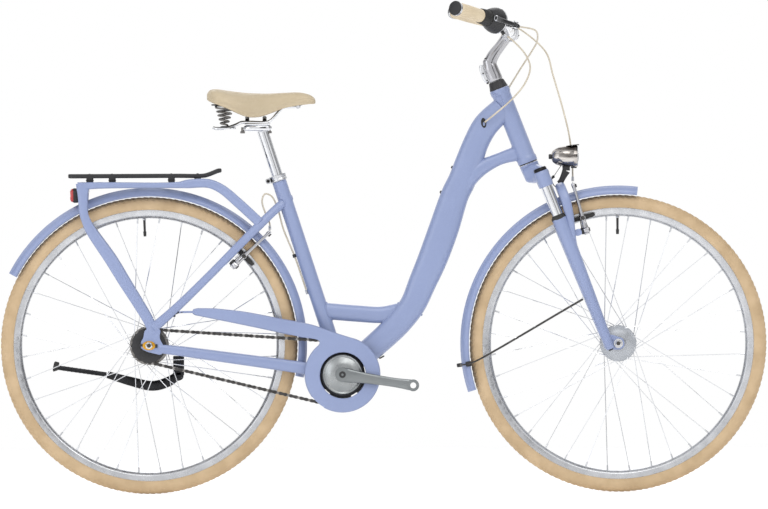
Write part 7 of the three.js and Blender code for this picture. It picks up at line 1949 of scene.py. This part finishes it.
piece("saddle_cover_skin", cover, LEATHER, "saddle", ["saddle_cover"])
print("saddle cover", len(cover.data.polygons), "faces")

# %% Stitched seam
def stitches(line, pitch, length, thick):
    """Short bowed threads along a line."""
    run, parts = run_lengths(line), []
    for d in np.arange(pitch, run[-1] - pitch, pitch):
        a, b = (along_line(line, run, v) for v in (d - length / 2, d + length / 2))
        out = np.array([0, np.sign(a[1]) * thick * 0.3, 0])
        parts.append(rod([a, (a + b) / 2 + out, b], [thick * 0.7, thick, thick, thick, thick * 0.7], 6, 2))
    return parts


seams = [p for s in (-1, 1) for p in stitches(smooth_rows(lip_lines[s][8:-6], 2), 3.4, 2.3, 0.7)]
piece("saddle_seam_threads", seams, CASING, "saddle", slot="cream_leather")
print("threads", len(seams))

# %% [markdown]
# ## Cables
# Cream casings run from the levers and the shifter in free curves. Those that cross the steering or the fork's
# travel are mounted on neither body, because a stiff casing would tear away from one of them. Metal ferrules
# close their ends.

# %% Cable ends
CABLE = 4.0
PORT = V(243, 20.7, 876)


def brake_top(centre, degrees, side):
    return brake_point(centre, degrees, BRAKE["top"], 0, side * (BRAKE["side"] - 8))


def lever_anchor(side):
    """Where a casing leaves its lever, and a point straight on from there."""
    _, out, _, _, pivot = lever_frame(side)
    return [pivot - out * (9.3 + i) for i in (0, 14)]


def port_end(side):
    return [V(PORT[0], side * (PORT[1] + 0.3 + out), PORT[2]) for out in (14, 6, 0)]


FERRULE_LENGTH, FERRULE_RADIUS = 11.0, 3.1


def ferrule(a, b):
    """A crimped metal cap on a casing's end a, reaching along towards b."""
    length, r = FERRULE_LENGTH, FERRULE_RADIUS
    rows = [(0, 0), (r * 0.7, 0), (r, 0.6), (r, length * 0.62), (r * 0.86, length * 0.68), (r, length * 0.74),
        (r, length - 0.8), (r * 0.84, length), (0, length)]
    return lathe(rows, a, unit(b - a), 24)


def cable_piece(name, route, body, node, blend=None):
    """A casing on one body, or on none when it runs between two, and the ferrules for its ends."""
    casing = mesh_object(name + "_casing", [rod(route, CABLE, 16, 10)])
    if blend:
        casing.data.materials.append(CASING)
        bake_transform(casing)
        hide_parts(node)
        made.append(casing.name)
    else:
        piece(name + "_casing", casing, CASING, body, [node])
    return ferrule(route[0], route[1]), ferrule(route[-1], route[-2])


print("right anchor", lever_anchor(-1)[0].round(1))

# %% Cables that steer
front_route = lever_anchor(1) + [V(388, 62, 1040), V(404, 28, 985), V(424, 14, 915), V(440, 22, 850),
    V(447, 33.5, 800), V(449, 34, 765), brake_top(FRONT, BRAKE["front"], 1) + V(0, 0, 6)]
rear_front_route = lever_anchor(-1) + [V(362, -92, 1090), V(366, -40, 1066), V(352, 4, 1040), V(326, 32, 1000),
    V(298, 43, 955), V(264, 44, 905)] + port_end(1)
shift_route = [SPOUT_TO, V(310, -142, 1064), V(340, -98, 1030), V(349, -66, 1000), V(336, -50, 965), V(307, -44, 930),
    V(268, -42, 896)] + port_end(-1)
for name, route, node, low_body, low_name, low_finish, bend in (("front_brake", front_route, "front_brake_cable",
        "fork_lower", "low", SILVER, ((430, 14, 930), (449, 34, 770))),
        ("rear_brake_front", rear_front_route, "rear_brake_cable_front", "frame", "port", BLACK,
        ((352, 4, 1040), (270, 44, 910))), ("shift", shift_route, "shift_cable", "frame", "port", BLACK,
        ((349, -66, 1000), (272, -42, 899)))):
    top_cap, low_cap = cable_piece(name, route, "steering", node, (low_body, *(V(*p) for p in bend)))
    short = name.replace("_front", "")
    piece(short + "_ferrule_top", [top_cap], SILVER, "steering")
    piece(short + "_ferrule_" + low_name, [low_cap], low_finish, low_body)


print("cables so far", len([n for n in made if n.endswith("_casing")]))

# %% Cable down the seat tube
def seat_back(up, out):
    """A point behind the seat tube, clear of its paint by half a casing."""
    return seat(up, -(17 + 0.3 + 2.3 + out))


rear_route = [seat_back(206, 0), seat_back(240, 0), seat_back(300, 1), seat_back(370, 6), V(-250, 0, 676),
    V(-264, -1, 703), V(-279, -3, 708), V(-286, -5, 692), V(-278, -9, 662), V(-268, -21, 638),
    brake_top(REAR, BRAKE["rear"], -1) + V(0, 0, 5)]
piece("rear_brake_ferrules", cable_piece("rear_brake", rear_route, "frame", "rear_brake_cable"), SILVER, "frame")
clip_ring = hollow([(2.4, -4), (4.4, -4), (4.4, 4), (2.4, 4)], seat_back(302, 1), SEAT_UP, 24)
piece("rear_cable_clip", [clip_ring, bar(seat(302, -16), seat(302, -24.5), 2.4, sides=16)], BLACK, "frame")
print("rear route points", len(rear_route))

# %% [markdown]
# ## Small fittings
# The seat collar with its bolt, bottle bosses, the cable port's grommets, mudguard bolts, the guard's wire bracket
# and the gold washers of the rear axle, which keep it from turning in its slot. What sits on a curved tube is placed
# where a ray meets the finished paint, because a computed radius would leave a gap or sink the bolt.

# %% Seat collar
collar_from = SEAT_LENGTH + 0.3
collar_rows = [(13.9, 0), (19.2, 0), (20, 0.8), (20, 5), (19.5, 5.6), (19.5, 9.4), (20, 10),
    (20, 14.2), (19.2, 15), (13.9, 15)]
collar = [hollow(collar_rows, seat(collar_from), SEAT_UP, 64)]
for s in (-1, 1):
    collar.append(sweep([(*seat(collar_from + 7.5, -f, s * 3.4), 4.4, d)
        for f, d in ((17, 12), (22, 12.4), (28, 11.6), (30.4, 8))], 20, 3.6, Y, 3))
piece("seat_collar_band", collar, SILVER, "frame", ["seat_collar"], angle=40)
ear = seat(collar_from + 7.5, -24.6)
piece("seat_collar_bolt", [bar(ear - Y * 12, ear + Y * 12, 2.6, sides=20),
    bar(ear - Y * 12, ear - Y * 7.4, 4.4, 4.4, 24, 0.6), bar(ear + Y * 7.4, ear + Y * 11, 4.4, 4.4, 6, 0.6)],
    DARK_STEEL, "frame")


print("collar from", collar_from)

# %% Bolts and grommets
def button(at, out, r, height):
    """A button-head bolt with its socket."""
    return lathe([(0, -1), (r + 1.4, -1), (r + 1.4, 0), (r, 0.2), (r * 0.9, height * 0.55), (r * 0.6, height),
        (r * 0.45, height), (r * 0.45, height * 0.4), (0, height * 0.4)], at, out, 28)


def on_surface(name, at, out):
    """Where a ray from outside meets a finished piece."""
    hit, place, _, _ = bpy.data.objects[name].ray_cast(Vector((at + out * 80) * MM), Vector(-out))
    return np.array(place) / MM if hit else at


tube_out = unit(V(-0.90, 0, 0.43))
bosses = [button(on_surface("main_tube_skin", V(x, 0, z), tube_out), tube_out, 3.6, 3.0)
    for x, z in ((157.4, 772.6), (134, 712))]
piece("bottle_boss_bolts", bosses, DARK_STEEL, "frame", slot="black_metal")
grommet = [(0, -1.0), (7.6, -0.6), (8.2, 0.4), (7.0, 1.4), (5.6, 1.5), (4.2, 0.6), (0, 0.2)]
stretched = np.stack([HEAD_FWD * 0.8, Y, unit(V(-0.2, 0, 1)) * 1.5], 1)
ports = []
for s in (-1, 1):
    points, faces = lathe(grommet, (0, 0, 0), Y * s, 36)
    ports.append((points @ stretched.T + V(PORT[0] - 4, s * (PORT[1] + 0.6), PORT[2] - 3), faces))
piece("cable_port_grommets", ports, RUBBER, "frame")
guard_bolts = [button(around(REAR, 368.5, d), around(REAR, 1, d) - around(REAR, 2, d), 4, 3) for d in (-8.8, 46.8)]
piece("rear_mudguard_bolts", guard_bolts, DARK_STEEL, "frame")
hook = rod([(-493, -61, 425), (-484, -60.5, 428.6), (-470, -60.2, 429.6), (-452, -60, 429.6)], 4.0, 14)
piece("guard_bracket_wire", [hook, bar(V(-492, -61, 424), V(-497.5, -61, 421.5), 4.4, sides=20)], BLACK,
    "frame", slot="black_metal")


print("boss bolts", len(bosses), "grommets", len(ports))

# %% Oval washers
turns = np.linspace(0, tau, 48, endpoint=False)
oval = [(REAR[0] + 15.5 * cos(a), REAR[2] + 10.6 * sin(a)) for a in turns]
for s, word in SIDES:
    washer = plate(oval, s * 73.3, 1.9, [(REAR[0], REAR[2], AXLE_HOLE)], bevel=0.3)
    tips = [block((6, 3, 8), REAR + V(17.4, s * 73.4, -1), edge=0.8),
        block((8, 3, 6), REAR + V(-18.4, s * 73.4, 1), edge=0.8)]
    piece("rear_%s_turn_washer" % word, [washer], GOLD, "frame")
    piece("rear_%s_washer_tips" % word, tips, BLACK, "frame")
print("all pieces", len(made))

# %% Count of pieces
print("pieces", len(made))
